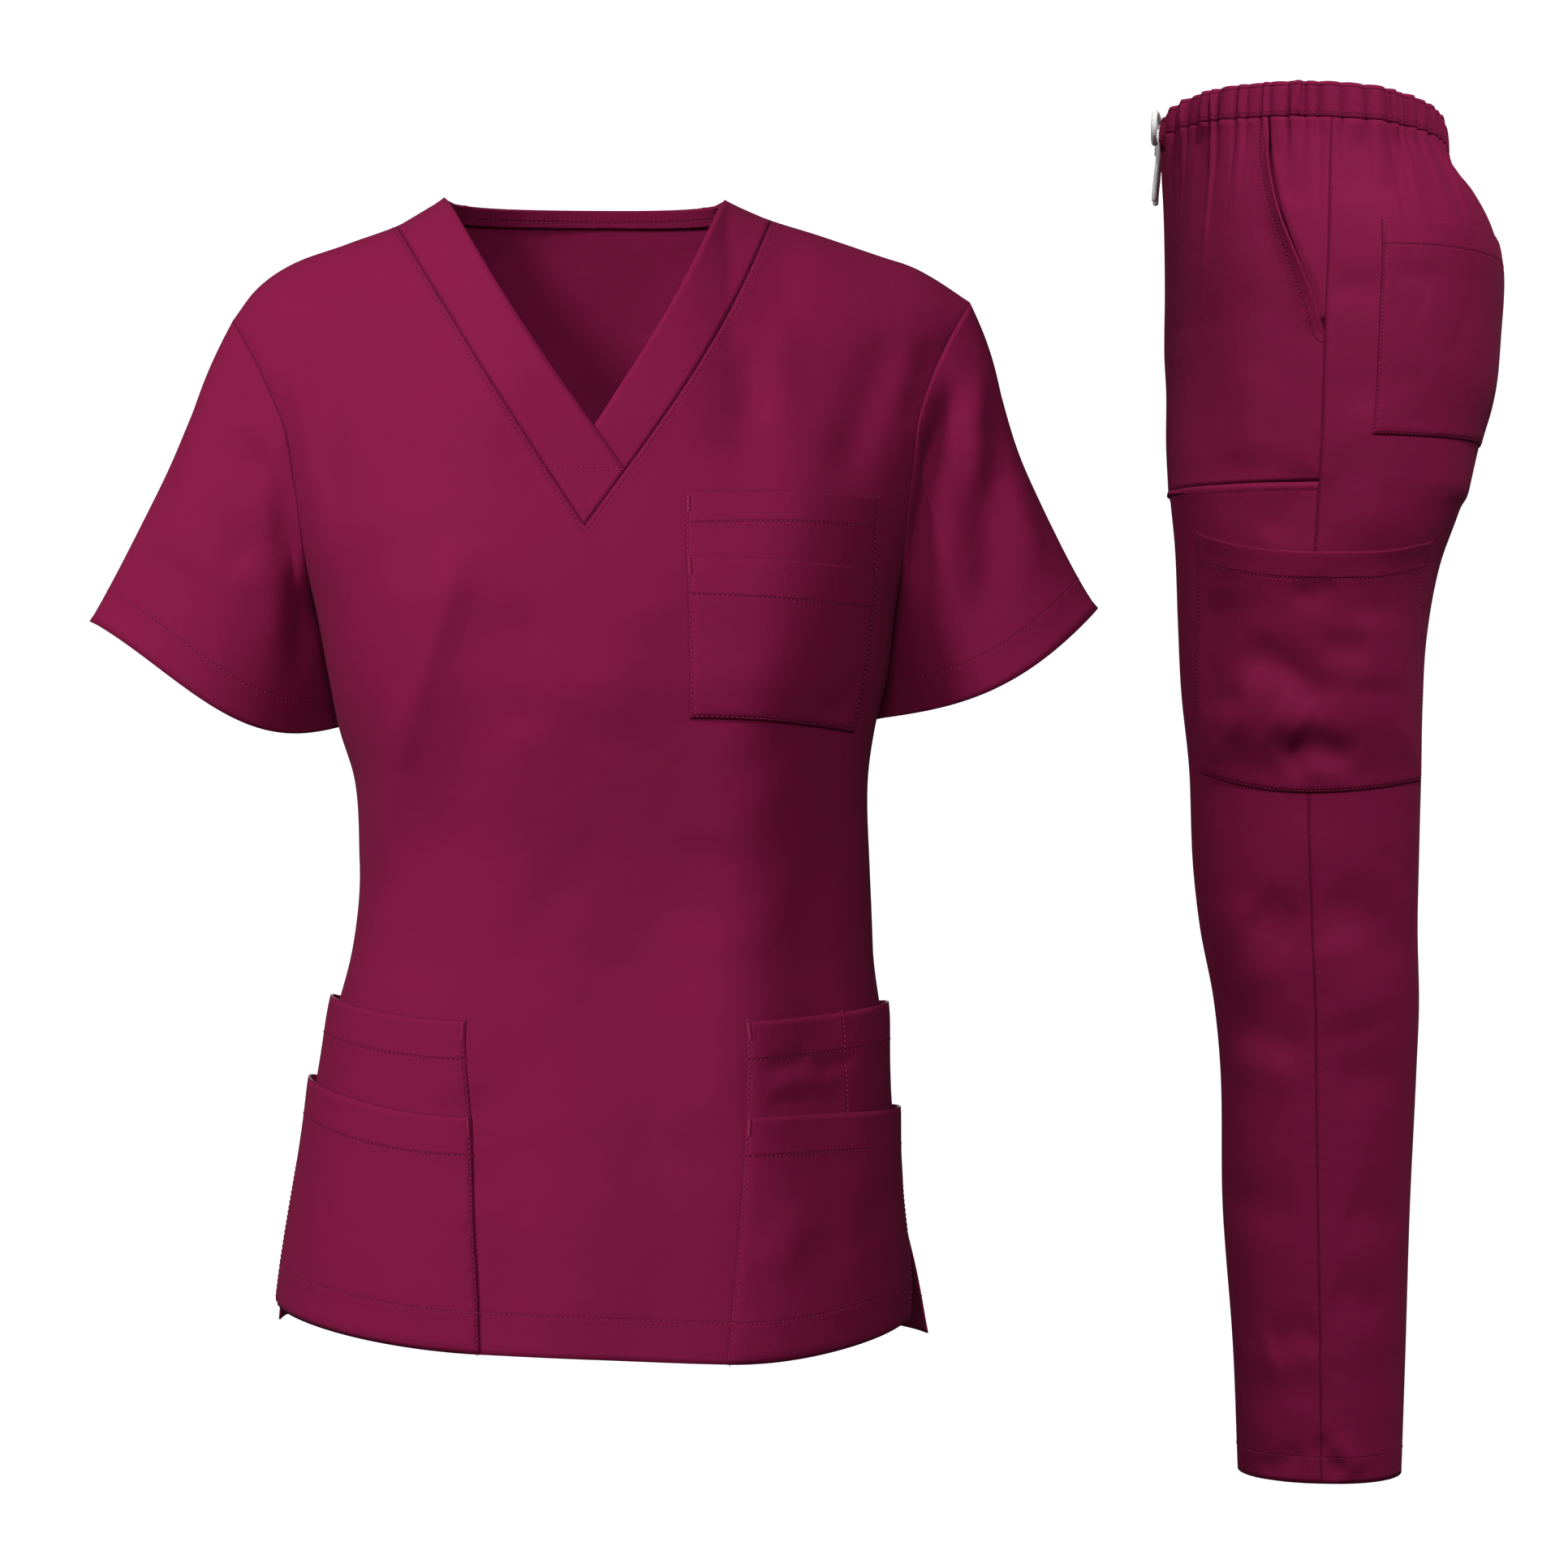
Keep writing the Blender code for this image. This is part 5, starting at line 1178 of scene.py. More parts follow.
topCut = {
    "neckHalf": 0.0845,          # from the middle to a neck side point
    "neckRise": 0.061,           # how far the shoulder ridge would run on above the neck opening
    "backNeckRise": 0.003,
    "bandShoulder": 0.113,       # from the middle to the neckband's outer seam, on the shoulder
    "vPoint": (0.0, -0.205),
    "vBulge": {right: 0.003, left: 0.010},
    "bandEdgeBulge": 0.005,
    "crossover": 0.15,           # where the neckband's right half crosses the left one, along its free edge
    "tuck": 0.008, "dipLength": 0.10,
    "shoulderRound": 0.20,
    "torsoPower": 2.3,
    "armpitZ": -0.240,
    "hemZ": -0.6815,
    "hemTilt": -0.0075,
    "tiltTopZ": -0.600,
    "ventTopZ": -0.584,
    "foldFade": 0.03,
    "archFade": 0.5,
    "underarmBow": -0.0012,
    # Table rows and columns that pockets and bands end on
    "lowerMouth": 5, "upperMouth": 7, "chestBottom": 12, "chestMouthInner": 16, "chestMouthOuter": 18,
    "overBandEnd": 3, "forkColumns": 4, "sideColumns": 8, "neckColumns": 4, "shoulderColumns": 7,
    "chestPocketColumns": 5,
    # Fine steps
    "forkSteps": 4, "sideSteps": 5, "backSteps": 5, "bandSteps": 10, "sleeveSteps": 46, "pitch": 0.0040,
    # How pockets stand off
    "hipMouthRise": 0.0046, "chestMouthRise": 0.0026, "pocketSwell": 0.0006,
    "rims": {"Back": 0.0012, "Front": 0.0017},
    # Lengths that stand for the armhole and the neckband when rows are shared out
    "armholeLength": 0.30, "seamLength": 0.25,
    "frontSize": (0.56, 0.70),   # flat, as the armholes and the V leave the panel narrower than its columns
    # Sewing, as distances in from an edge
    "bandLift": 0.0003, "innerLift": 0.00015,   # of stitches on the neckband and on the facing's inner side
    "hemDepth": 0.0235, "cuffDepth": 0.0215, "ventDepth": 0.0070, "pocketHem": 0.0225, "chestHem": 0.0180,
    "edgeInset": 0.0016, "seamInset": 0.0026, "facingInset": 0.0070, "tipRise": 0.0345,
}

torso = {name: smoothColumn(torsoRows, name) for name in Section._fields[1:]}
sideWords = {right: "right", left: "left"}
ridges = {side: smoothColumn(shoulders, word, "across") for side, word in sideWords.items()}
armholes = {
    (side, face): smoothColumn(armholeRows, sideWord + faceWord, "drop")
    for side, sideWord in sideWords.items() for face, faceWord in ((front, "Front"), (back, "Back"))
}
vents = {vent.side: vent for vent in ventRows}


# Height of the shoulders' ridge line, which would arch on over the neck opening
def ridge(x):
    across = np.abs(x)
    overNeck = topCut["neckRise"] * (1 - (across / topCut["neckHalf"]) ** 2)
    shoulder = np.where(x < 0, ridges[right](across), ridges[left](across))
    return np.where(across < topCut["neckHalf"], overNeck, shoulder)


# 0 at the top of the side vents, 1 at the hem
def ventShare(z):
    return np.clip((topCut["ventTopZ"] - z) / (topCut["ventTopZ"] - topCut["hemZ"]), 0, 1)


# How much a row near the hem drops by its outer end, as the hem is a little lower on the left
def hemTilt(side, z):
    return side * topCut["hemTilt"] * ease((topCut["tiltTopZ"] - z) / (topCut["tiltTopZ"] - topCut["hemZ"]))


def reach(side, face, z):
    vent = vents[side]
    flare = vent.frontFlare if face == front else vent.backFlare
    return torso[sideWords[side]](z) + flare * ventShare(z) ** 1.5


# How much of the section's reach a panel covers, which is less beside an open vent
def edgeShare(side, face, z):
    vent = vents[side]
    angle = vent.frontAngle if face == front else vent.backAngle
    return np.cos(angle * ventShare(z)) ** (2 / topCut["torsoPower"])


# The point of the top's outer face at this place in the front view
def torsoPoint(x, z, face):
    centre = torso["centre"](z)
    widest = np.where(x < centre, reach(right, face, z), reach(left, face, z))
    across = np.clip(np.abs(x - centre) / widest, 0, 1)
    depth = torso["front" if face == front else "back"](z)
    section = (1 - across ** topCut["torsoPower"]) ** (1 / topCut["torsoPower"])
    fall = np.clip((ridge(x) - z) / topCut["shoulderRound"], 0, 1)
    y = depth * section * np.sqrt(1 - (1 - fall) ** 2)
    y = np.where(y < 1e-6, 0.0, y)
    y = y + foldAmount(x, z, topFolds[face]) * ease(y / topCut["foldFade"])
    return np.stack(np.broadcast_arrays(x, face * y, z), axis=-1)


def armholePlace(side, face, drop):
    tipX = side * armholes[side, face](0.0)
    tipZ = ridge(tipX)
    return np.array([side * armholes[side, face](drop), tipZ + (topCut["armpitZ"] - tipZ) * drop])


# A place on the neckband's outer seam, from the V point (0) up to the shoulder (1)
def seamPlace(side, share):
    shoulder = (side * topCut["bandShoulder"], ridge(side * topCut["bandShoulder"]))
    x, z = lerp(topCut["vPoint"], shoulder, share)
    return np.array([x + side * topCut["vBulge"][side] * math.sin(math.pi * share ** 1.1), z])


# How far the shoulder's ridge arches over a straight line from the neckband to the sleeve
def shoulderArch(side, x):
    inner, outer = topCut["bandShoulder"], float(armholes[side, front](0.0))
    across = np.clip(np.abs(x), inner, outer)
    straight = lerp(ridge(side * inner), ridge(side * outer), (across - inner) / (outer - inner))
    return ridge(side * across) - straight


# Shares that crowd towards the side, where the section turns
def spreadToSide(count):
    return np.sin(np.linspace(0, math.pi / 2, count + 1)) ** (2 / topCut["torsoPower"])


def frontShares(side, z, fork=None):
    if fork is None:
        fork = float(torso[sideWords[side] + "Fork"](z))
    inner = np.linspace(0, fork, topCut["forkColumns"] * topCut["forkSteps"] + 1)[:-1]
    outer = fork + (1 - fork) * spreadToSide(topCut["sideColumns"] * topCut["sideSteps"])
    return np.concatenate([inner, outer]), fork


# Fine rows of the front: below the armpits by height, then by how far down the armhole they end
def frontSteps():
    heights = [row.z for row in frontRows]
    lowSteps = stepsFor(heights, topCut["pitch"])
    drops = [1.0] + [row.drop for row in chestRows]
    seams = [0.0, 0.0] + [row.upSeam for row in chestRows[1:]]
    lengths = np.maximum(np.abs(np.diff(np.sqrt(drops))) * topCut["armholeLength"],
                         np.abs(np.diff(seams)) * topCut["seamLength"])
    highSteps = [max(3, math.ceil(length / topCut["pitch"])) for length in lengths]
    return lowSteps, highSteps


# The front's lower and upper grids on one side of the middle
def frontHalf(side):
    lowSteps, highSteps = frontSteps()
    lower, upper = [], []
    zs = between([row.z for row in frontRows], lowSteps)
    rises = between([getattr(row, sideWords[side] + "Rise") for row in frontRows], lowSteps)
    for z, rise in zip(zs, rises):
        shares, fork = frontShares(side, z)
        height = z + hemTilt(side, z) * shares + rise * np.clip((shares - fork) / (1 - fork), 0, 1) ** 2
        across = reach(side, front, height) * shares * edgeShare(side, front, height)
        x = torso["centre"](height) + side * across
        lower.append(torsoPoint(x, height, front))
    drops = between(np.sqrt([1.0] + [row.drop for row in chestRows]), highSteps) ** 2
    middles = between([topCut["armpitZ"], chestRows[0].centreZ, topCut["vPoint"][1]], highSteps[:2])
    seams = between([row.upSeam for row in chestRows[1:]], highSteps[2:])
    vRow = sum(highSteps[:2])
    ends = []
    for index in range(len(drops)):
        if index <= vRow:
            z = middles[index]
            toPoint = np.clip((z - chestRows[0].centreZ) / (topCut["vPoint"][1] - chestRows[0].centreZ), 0, 1)
            inner = np.array([torso["centre"](z) * (1 - toPoint), z])
        else:
            inner = seamPlace(side, seams[index - vRow])
        drop = drops[index] if index < len(drops) - 1 else 0.0
        ends.append((inner, armholePlace(side, front, drop), drop))
    # The line that the chest pocket's edge follows runs straight between the table's rows
    places = rowPlaces(highSteps)
    forkX = [lerp(ends[row][0], ends[row][1], frontShares(side, ends[row][0][1])[1])[0] for row in places]
    low, high = (topCut[name] - len(frontRows) + 1 for name in ("chestMouthInner", "chestMouthOuter"))
    forkX[low + 1:high + 1] = [forkX[low]] * (high - low)
    forkX = np.interp(range(len(drops)), places, forkX)
    for index, (inner, outer, drop) in list(enumerate(ends))[1:]:
        shares, _ = frontShares(side, inner[1], (forkX[index] - inner[0]) / (outer[0] - inner[0]))
        spots = lerp(inner, outer, shares[:, None])
        spots[:, 1] += shoulderArch(side, spots[:, 0]) * ease(1 - drop / topCut["archFade"])
        points = torsoPoint(spots[:, 0], spots[:, 1], front)
        if index <= vRow:
            lower.append(points)
        if index >= vRow:
            upper.append(points)
    return np.array(lower), np.array(upper)


# The fine rows that the tables' rows stand for
def frontPlaces():
    lowSteps, highSteps = frontSteps()
    low = rowPlaces(lowSteps)
    high = rowPlaces(highSteps)
    return np.concatenate([low, low[-1] + high[1:]])


# The back's grid on one side of the middle, its row at the armpit and how many rows its facing has
def backHalf(side):
    tipX = armholes[side, back](0.0)
    neck = topCut["neckHalf"] / tipX
    inner = np.linspace(0, neck, topCut["neckColumns"] * topCut["forkSteps"] + 1)[:-1]
    outer = neck + (1 - neck) * spreadToSide(topCut["shoulderColumns"] * topCut["backSteps"])
    shares = np.concatenate([inner, outer])
    topX = side * tipX * shares
    neckline = topCut["backNeckRise"] * (1 - (topX / topCut["neckHalf"]) ** 2)
    topZ = np.where(shares < neck - 1e-9, neckline, ridge(topX))
    rows = []
    for z in between(backRows, stepsFor(backRows, topCut["pitch"])):
        x = torso["centre"](z) + side * reach(side, back, z) * shares * edgeShare(side, back, z)
        rows.append(torsoPoint(x, z + hemTilt(side, z) * shares, back))
    drops = np.sqrt([1.0] + list(backDrops))
    lengths = np.abs(np.diff(drops)) * topCut["armholeLength"]
    steps = [max(3, math.ceil(length / topCut["pitch"])) for length in lengths]
    fine = between(drops, steps) ** 2
    fine[-1] = 0.0
    for drop in fine[1:]:
        z = topCut["armpitZ"] + (topZ - topCut["armpitZ"]) * (1 - drop)
        outerX = side * armholes[side, back](drop)
        x = torso["centre"](z) + (outerX - torso["centre"](z)) * shares
        if drop == 0.0:
            x = topX
        rows.append(torsoPoint(x, z, back))
    return np.array(rows), len(rows) - len(fine), steps[-1]


# Both halves as one grid, from the wearer's right to the left, sharing the centre line
def wholeRow(rightHalf, leftHalf):
    return np.concatenate([rightHalf[:, ::-1], leftHalf[:, 1:]], axis=1)


# A place on the free edge of one half of the neckband, from its lower end up to the neck side
def bandEdge(side, share):
    bulge = topCut["bandEdgeBulge"] * math.sin(math.pi * share)
    if side == right:
        low = seamPlace(left, chestRows[topCut["overBandEnd"]].upSeam)
    else:
        low = bandEdge(right, topCut["crossover"])
    x, z = lerp(low, (side * topCut["neckHalf"], 0.0), share)
    return np.array([x + side * bulge, z])


# Seam shares of the fine rows above the V point
def seamShares():
    return between([row.upSeam for row in chestRows[1:]], frontSteps()[1][2:])


# The right half of the neckband, which lies over the left one and ends in the V
def overBand():
    across = np.linspace(0, 1, topCut["bandSteps"] + 1)
    end, second = chestRows[topCut["overBandEnd"]].upSeam, chestRows[2].upSeam
    lowEdge = np.array([seamPlace(left, end * share) for share in across])
    spots = [lowEdge]
    for share in seamShares()[1:]:
        row = lerp(seamPlace(right, share), bandEdge(right, share), across[:, None])
        bent = lowEdge - lerp(seamPlace(right, 0.0), bandEdge(right, 0.0), across[:, None])
        spots.append(row + bent * ease(1 - share / second))
    spots = np.array(spots)
    return torsoPoint(spots[..., 0], spots[..., 1], front)


# The left half of the neckband, which dips at its lower end to pass under the right one
def underBand():
    start = chestRows[topCut["overBandEnd"]].upSeam
    across = np.linspace(0, 1, topCut["bandSteps"] + 1)[:, None]
    spots, dips = [], []
    for share in [share for share in seamShares() if share >= start - 1e-9]:
        edge = bandEdge(left, (share - start) / (1 - start))
        spots.append(lerp(edge, seamPlace(left, share), across))
        dips.append(layers["under"] * ease(1.35 - (share - start) / topCut["dipLength"]))
    crossing = spots[0][-1] - spots[0][0]
    downwards = np.array([crossing[1], -crossing[0]]) / np.linalg.norm(crossing)
    for _ in range(3):
        spots.insert(0, spots[0] + topCut["tuck"] / 3 * downwards)
        dips.insert(0, layers["under"])
    spots = np.array(spots)
    dip = np.repeat(np.array(dips)[:, None], len(across), axis=1)
    grid = torsoPoint(spots[..., 0], spots[..., 1], front)
    return raised(grid, dip)


# The same grid, with its columns in the order that makes its faces point out
def outward(grid):
    centre = grid.reshape(-1, 3).mean(axis=0)
    facing = (gridNormals(grid) * (grid - centre)).sum()
    return grid if facing > 0 else grid[:, ::-1]


# A sleeve from the armhole (first row) to the cuff. The edges run from the armpit to the shoulder.
def sleeveGrid(sleeve, frontEdge, backEdge):
    ring = np.concatenate([frontEdge[::-1], backEdge[1:]])
    steps = np.linalg.norm(np.diff(ring, axis=0), axis=1)
    armpit = len(frontEdge) - 1
    down = np.concatenate([[0], np.cumsum(steps[:armpit])]) / steps[:armpit].sum()
    up = np.cumsum(steps[armpit:]) / steps[armpit:].sum()
    share = np.clip(np.concatenate([down, 1 - up]), 0, 1)
    face = np.concatenate([np.full(armpit + 1, front), np.full(len(up), back)])
    roundCuff = halfTurn(share) ** 0.8
    cuff = lerp(sleeve.outer, sleeve.inner, share[:, None])
    cuff[:, 1] += face * sleeve.depth * roundCuff
    cuff[:, 2] -= sleeve.hang * halfTurn(share ** sleeve.skew) * np.where(face == front, 1.0, 0.45)
    rows = []
    for v in np.linspace(0, 1, topCut["sleeveSteps"] + 1):
        points = lerp(ring, cuff, v)
        bow = sleeve.highBow * halfTurn(min(v / 0.3, 1.0))
        bow += sleeve.lowBow * ease(v / 0.55) * halfTurn(v) ** 0.6
        points[:, 0] += sleeve.side * bow * np.cos(np.pi * share / 2) ** 2
        points[:, 0] += sleeve.side * topCut["underarmBow"] * halfTurn(v) * ease(share * 2 - 1)
        rows.append(points)
    grid = outward(np.array(rows))
    # Soft folds, which die out at the armhole
    normals = gridNormals(grid)
    normals[:, 0] = normals[:, -1] = (normals[:, 0] + normals[:, -1]) / 2
    for face in (front, back):
        own = ease(face * grid[..., 1] / 0.02)
        amount = foldAmount(grid[..., 0], grid[..., 2], sleeveFolds[sleeve.side, face])
        fade = ease(np.linspace(0, 1, len(grid)) / 0.18)[:, None]
        grid = grid + normals * (amount * own * fade)[..., None]
    return grid


# The line across the neckband's tip, where its two halves are sewn together
def tipLine(grid):
    points, _, _ = contour(grid, gridNormals(grid), grid[..., 2] - topCut["vPoint"][1] - topCut["tipRise"])
    return points[np.argsort(points[:, 0])]


# Adds a piece of the top or the trousers, and the stitches along its edges and hems
def sewCloth(name, node, garment, panel, wall):
    makeCloth(name, node, garment, [panel], wall)
    stitchOn(garment, panel, panel.edge)
    stitchOn(garment, panel, panel.hem)


# The front is one piece of three grids, below and to both sides of the V
def sewFront(lowerFront, uppers, ventLines, seamLines, neckSeam):
    cut = topCut
    edges = [(line, cut["ventDepth"]) for line in ventLines] + [(neckSeam, cut["seamInset"])]
    hems = [(lowerFront[0], cut["hemDepth"])]
    grids = ((lowerFront, (0.0, 0.0)), (uppers[right], (-0.12, 0.5)), (uppers[left], (0.12, 0.5)))
    panels = [panelOf(grid, seamLines, edges, hems, mark) for grid, mark in grids]
    makeCloth("topFront", "top_front", "top", panels, layers["panel"], cut["frontSize"])
    for panel in panels:
        stitchOn("top", panel, panel.edge)
    # The hem shows between the pockets only
    lower = panels[0]
    shown = np.zeros(lower.points.shape[:2], dtype=bool)
    shown[:, cut["sideColumns"] * cut["sideSteps"]:-cut["sideColumns"] * cut["sideSteps"]] = True
    stitchOn("top", lower, lower.hem, keep=shown)
    print("top front ready")


# The back and the facing inside its neckline
def sewBack(grid, armpitRow, facingRows):
    cut = topCut
    sides = [grid[:armpitRow + 1, 0], grid[:armpitRow + 1, -1]]
    arms = [grid[armpitRow:, 0], grid[armpitRow:, -1]]
    ventRow = int(np.argmin(np.abs(grid[:, 0, 2] - cut["ventTopZ"])))
    neckCount = cut["neckColumns"] * cut["forkSteps"]
    middle = grid.shape[1] // 2
    neck = slice(middle - neckCount, middle + neckCount + 1)
    shoulders = [grid[-1, :middle - neckCount + 1], grid[-1, middle + neckCount:]]
    edges = [(line[:ventRow + 1], cut["ventDepth"]) for line in sides]
    edges.append((grid[-1, neck], cut["facingInset"]))
    seams = [line[ventRow:] for line in sides] + shoulders + arms
    panel = panelOf(grid, seams, edges, [(grid[0], cut["hemDepth"])])
    sewCloth("topBack", "top_back", "top", panel, layers["panel"])
    facing = raised(grid[-facingRows - 1:, neck], layers["under"])
    panel = panelOf(facing, (), [(facing[-1], cut["facingInset"])])
    makeCloth("neckFacing", "back_neck_facing", "top", [panel], layers["patch"])
    stitchOn("top", panel, panel.edge, lift=-(layers["patch"] + cut["innerLift"]))
    print("top back ready")
    return arms


def sewNeckband():
    over, under = overBand(), underBand()
    tip = tipLine(over)
    overPanel = panelOf(over, [over[:, 0], over[0], over[-1]], [(tip, 0.0)])
    underPanel = panelOf(under, [under[:, -1], under[-1]])
    for word, node, panel in (("Over", "right", overPanel), ("Under", "left", underPanel)):
        makeCloth(f"neckband{word}", f"neckband_{node}", "top", [panel], layers["band"])
    # One line across the tip, and a second one under part of it
    for line in (tip, tip[-len(tip) // 3:] - np.array([0.0, 0.0, 0.0016])):
        forward = np.tile(np.array([0.0, -1.0, 0.0]), (len(line), 1))
        stitchAlong("top", line, forward, topCut["bandLift"])
    print("neckband ready")


def sewSleeves(armhole, backArms):
    for sleeve in sleeveRows:
        side = sleeve.side
        grid = sleeveGrid(sleeve, armhole[side], backArms[1] if side == right else backArms[0])
        panel = panelOf(grid, [grid[0]], (), [(grid[-1], topCut["cuffDepth"])])
        word = sideWords[side]
        makeCloth(f"sleeve{word.title()}", f"sleeve_{word}", "top", [panel], layers["panel"])
        stitchOn("top", panel, panel.hem)
    print("sleeves ready")


# Both layers of one hip pocket, which reach from the fork line to the side seam
def sewHipPocket(side, half, at, ventRow):
    cut = topCut
    word = sideWords[side]
    peak = 0.2 if side == right else 0.8
    column = 4 * cut["sideSteps"] - 2
    rows = slice(at[cut["lowerMouth"]] - 2, None)
    for layer, mouth, rise in (("Back", "upperMouth", "firstPatch"), ("Front", "lowerMouth", "secondPatch")):
        base = half[:at[cut[mouth]] + 1, cut["forkColumns"] * cut["forkSteps"]:]
        base = rimmed(base[:, ::-1] if side == right else base)
        height = layers[rise] + mouthRise(base, cut["hipMouthRise"], peak)
        height = height + swell(base, cut["pocketSwell"], cut["rims"][layer])
        # Only the left pocket's upper layer is bound loosely and has a line of stitches down it
        special = layer == "Back" and side == left
        if special:
            height = height + foldAmount(base[..., 0], base[..., 2], hipPocketFolds)
        grid = raised(base, np.maximum(height, pocketShape["leastHeight"]))
        inner, outer = (grid[:, -1], grid[:, 0]) if side == right else (grid[:, 0], grid[:, -1])
        hems = [(grid[-1], cut["pocketHem"])]
        edges = [(inner, cut["edgeInset"])]
        if layer == "Front":
            hems.append((grid[0], cut["hemDepth"]))
            edges.append((outer[:ventRow + 1], cut["ventDepth"]))
        if special:
            edges.append((grid[rows, column], 0.0))
        # The mouth, the last row, is listed with the seams, so painted shade darkens it as the shade of the gap
        # behind it
        panel = panelOf(grid, [outer[ventRow:], inner, grid[-1]], edges, hems)
        node = f"hip_pocket_{word}_{layer.lower()}"
        sewCloth(f"hipPocket{word.title()}{layer}", node, "top", panel, layers["patch"])
        tackAt("top", grid, "last" if side == right else "first")
        if special:
            stitchAlong("top", grid[rows, column], gridNormals(grid)[rows, column])


# A patch pocket that is sewn down on its sides and its bottom, with a bar-tack at both ends of its mouth
def sewPatch(name, node, garment, grid, edgeInset, hemDepth):
    edges = [(line, edgeInset) for line in (grid[:, 0], grid[:, -1], grid[0])]
    # The mouth, the last row, is listed with the seams, so painted shade darkens it as the shade of the gap
    # behind it
    panel = panelOf(grid, [grid[:, 0], grid[:, -1], grid[0], grid[-1]], edges, [(grid[-1], hemDepth)])
    sewCloth(name, node, garment, panel, layers["patch"])
    tackAt(garment, grid, "first")
    tackAt(garment, grid, "last")


# Both layers of the chest pocket, on the wearer's left
def sewChestPocket(halves, at):
    cut = topCut
    chest = np.concatenate([halves[0], halves[1][1:]])
    forkStart = cut["forkColumns"] * cut["forkSteps"]
    chest = chest[:, forkStart:forkStart + cut["chestPocketColumns"] * cut["sideSteps"] + 1]
    for layer, mouth, rise, hem in (("Back", "chestMouthOuter", "firstPatch", "chestHem"),
                                    ("Front", "chestMouthInner", "secondPatch", "pocketHem")):
        base = rimmedAround(chest[at[cut["chestBottom"]]:at[cut[mouth]] + 1])
        height = mouthRise(base, cut["chestMouthRise"]) + swell(base, cut["pocketSwell"], cut["rims"][layer])
        grid = raised(base, layers[rise] + height)
        sewPatch(f"chestPocket{layer}", f"chest_pocket_{layer.lower()}", "top", grid,
                 cut["edgeInset"], cut[hem])


def buildTop():
    halves = {side: frontHalf(side) for side in (right, left)}
    lowerFront = wholeRow(halves[right][0], halves[left][0])
    uppers = {right: halves[right][1][:, ::-1], left: halves[left][1]}
    backs = {side: backHalf(side) for side in (right, left)}
    backGrid = wholeRow(backs[right][0], backs[left][0])[:, ::-1]
    at = frontPlaces()
    armpitRow = at[len(frontRows) - 1]
    print("top surface:", lowerFront.shape, uppers[left].shape, backGrid.shape)

    # Lines that pieces are sewn or hemmed along
    ventRow = int(np.argmin(np.abs(lowerFront[:, 0, 2] - topCut["ventTopZ"])))
    neckSeam = np.concatenate([uppers[right][::-1, -1], uppers[left][1:, 0]])
    armhole, ventLines, seamLines = {}, [], []
    for side, column in ((right, 0), (left, -1)):
        ventLines.append(lowerFront[:ventRow + 1, column])
        seamLines.append(lowerFront[ventRow:armpitRow + 1, column])
        armhole[side] = np.concatenate([lowerFront[armpitRow:, column], uppers[side][1:, column]])
    seamLines += [armhole[right], armhole[left], neckSeam, uppers[right][-1], uppers[left][-1]]

    sewFront(lowerFront, uppers, ventLines, seamLines, neckSeam)
    backArms = sewBack(backGrid, *backs[right][1:])
    sewNeckband()
    sewSleeves(armhole, backArms)
    for side in (right, left):
        sewHipPocket(side, halves[side][0], at, ventRow)
    sewChestPocket(halves[left], at)
    print("top pockets ready")


# Trousers: the surface that all their pieces lie on

trouserCut = {
    "waistband": 0.026,
    "waistTilt": -0.058,          # the waist's rise for each metre forward
    "waistTiltEndZ": -0.100,
    "waistDip": 0.006,
    "gathers": 68, "gatherDepth": 0.0056, "gatherSeed": 5,
    "gatherWidths": (0.45, 1.8), "gatherDepths": (0.35, 1.3), "gatherLean": 0.10, "gatherRound": 0.62,
    "fallStart": 0.008, "fallSpread": 0.050, "fallPower": 1.7,   # how far gathers run down the panels
    "waistStretch": 1.6,          # evens out the directions round the waist, which is wider than deep
    "bandProud": 0.0001,
    "creaseLength": 0.955,       # of the waist, to turn shares of it into lengths
    "crossSeamZ": -0.286,
    "frontForkZ": -0.170, "backForkZ": -0.140,
    "trouserPower": 2.2,
    "slantEndZ": -0.182, "facingEndZ": -0.174, "slantTuck": 0.14, "slantGape": 0.0085,
    "cargoSag": {front: 2.4, back: 1.4}, "cargoFootZ": -0.56,
    # Table rows and columns that pockets end on
    "cargoBottom": 13, "cargoMouth": 19, "hipPocketBottom": 3, "hipPocketMouth": 10,
    "halfColumns": 10, "cargoColumn": 4, "hipOuterColumn": 1, "hipInnerColumn": 7,
    # Fine steps
    "columnSteps": 12, "pitch": 0.0042, "gatherSteps": 10, "bandRows": 10,
    # Sewing
    "hemDepth": 0.0180, "pocketHem": 0.0190, "edgeInset": 0.0016, "slantInset": 0.0080, "crossInset": 0.0060,
    "bandInset": 0.0030, "bandTopInset": 0.0035,
    "facingTuck": 0.0026, "facingTuckColumns": 7,
    "allowance": 0.006,           # how far the panels' tops run on up behind the waistband
}

PocketShape = namedtuple("PocketShape", "name node mouthRise swell folds")
pocketShapes = (
    PocketShape("cargoPocket", "cargo_pocket", 0.0050, 0.0058, cargoFolds),
    PocketShape("backPocket", "back_pocket", 0.0022, 0.0014, backPocketFolds),
)

leg = {name: smoothColumn(trouserRows, name) for name in Leg._fields[1:]}
slantAngle = smoothColumn(slantRows, "angle")
forkZ = {front: trouserCut["frontForkZ"], back: trouserCut["backForkZ"]}


# 0 where the section is one curve across both legs, 1 from the crotch down
def forkShare(face, z):
    return np.clip((forkZ[face] - z) / (forkZ[face] - trouserCut["crossSeamZ"]), 0, 1)


# The angle round the section where the left half ends, at the middle or at the inseam
def lastAngle(face, z):
    return math.pi / 2 + math.asin(float(forkShare(face, z)))


# Moves points of the left half out or in along the folds of the given leg
def legFolds(points, side):
    x, y, z = points[..., 0], points[..., 1], points[..., 2]
    amount = foldAmount(y, z, trouserFolds[side])
    outer = ease((x - leg["side"](z) * 0.55) / 0.04)
    return np.stack([x + amount * outer, y, z], axis=-1)


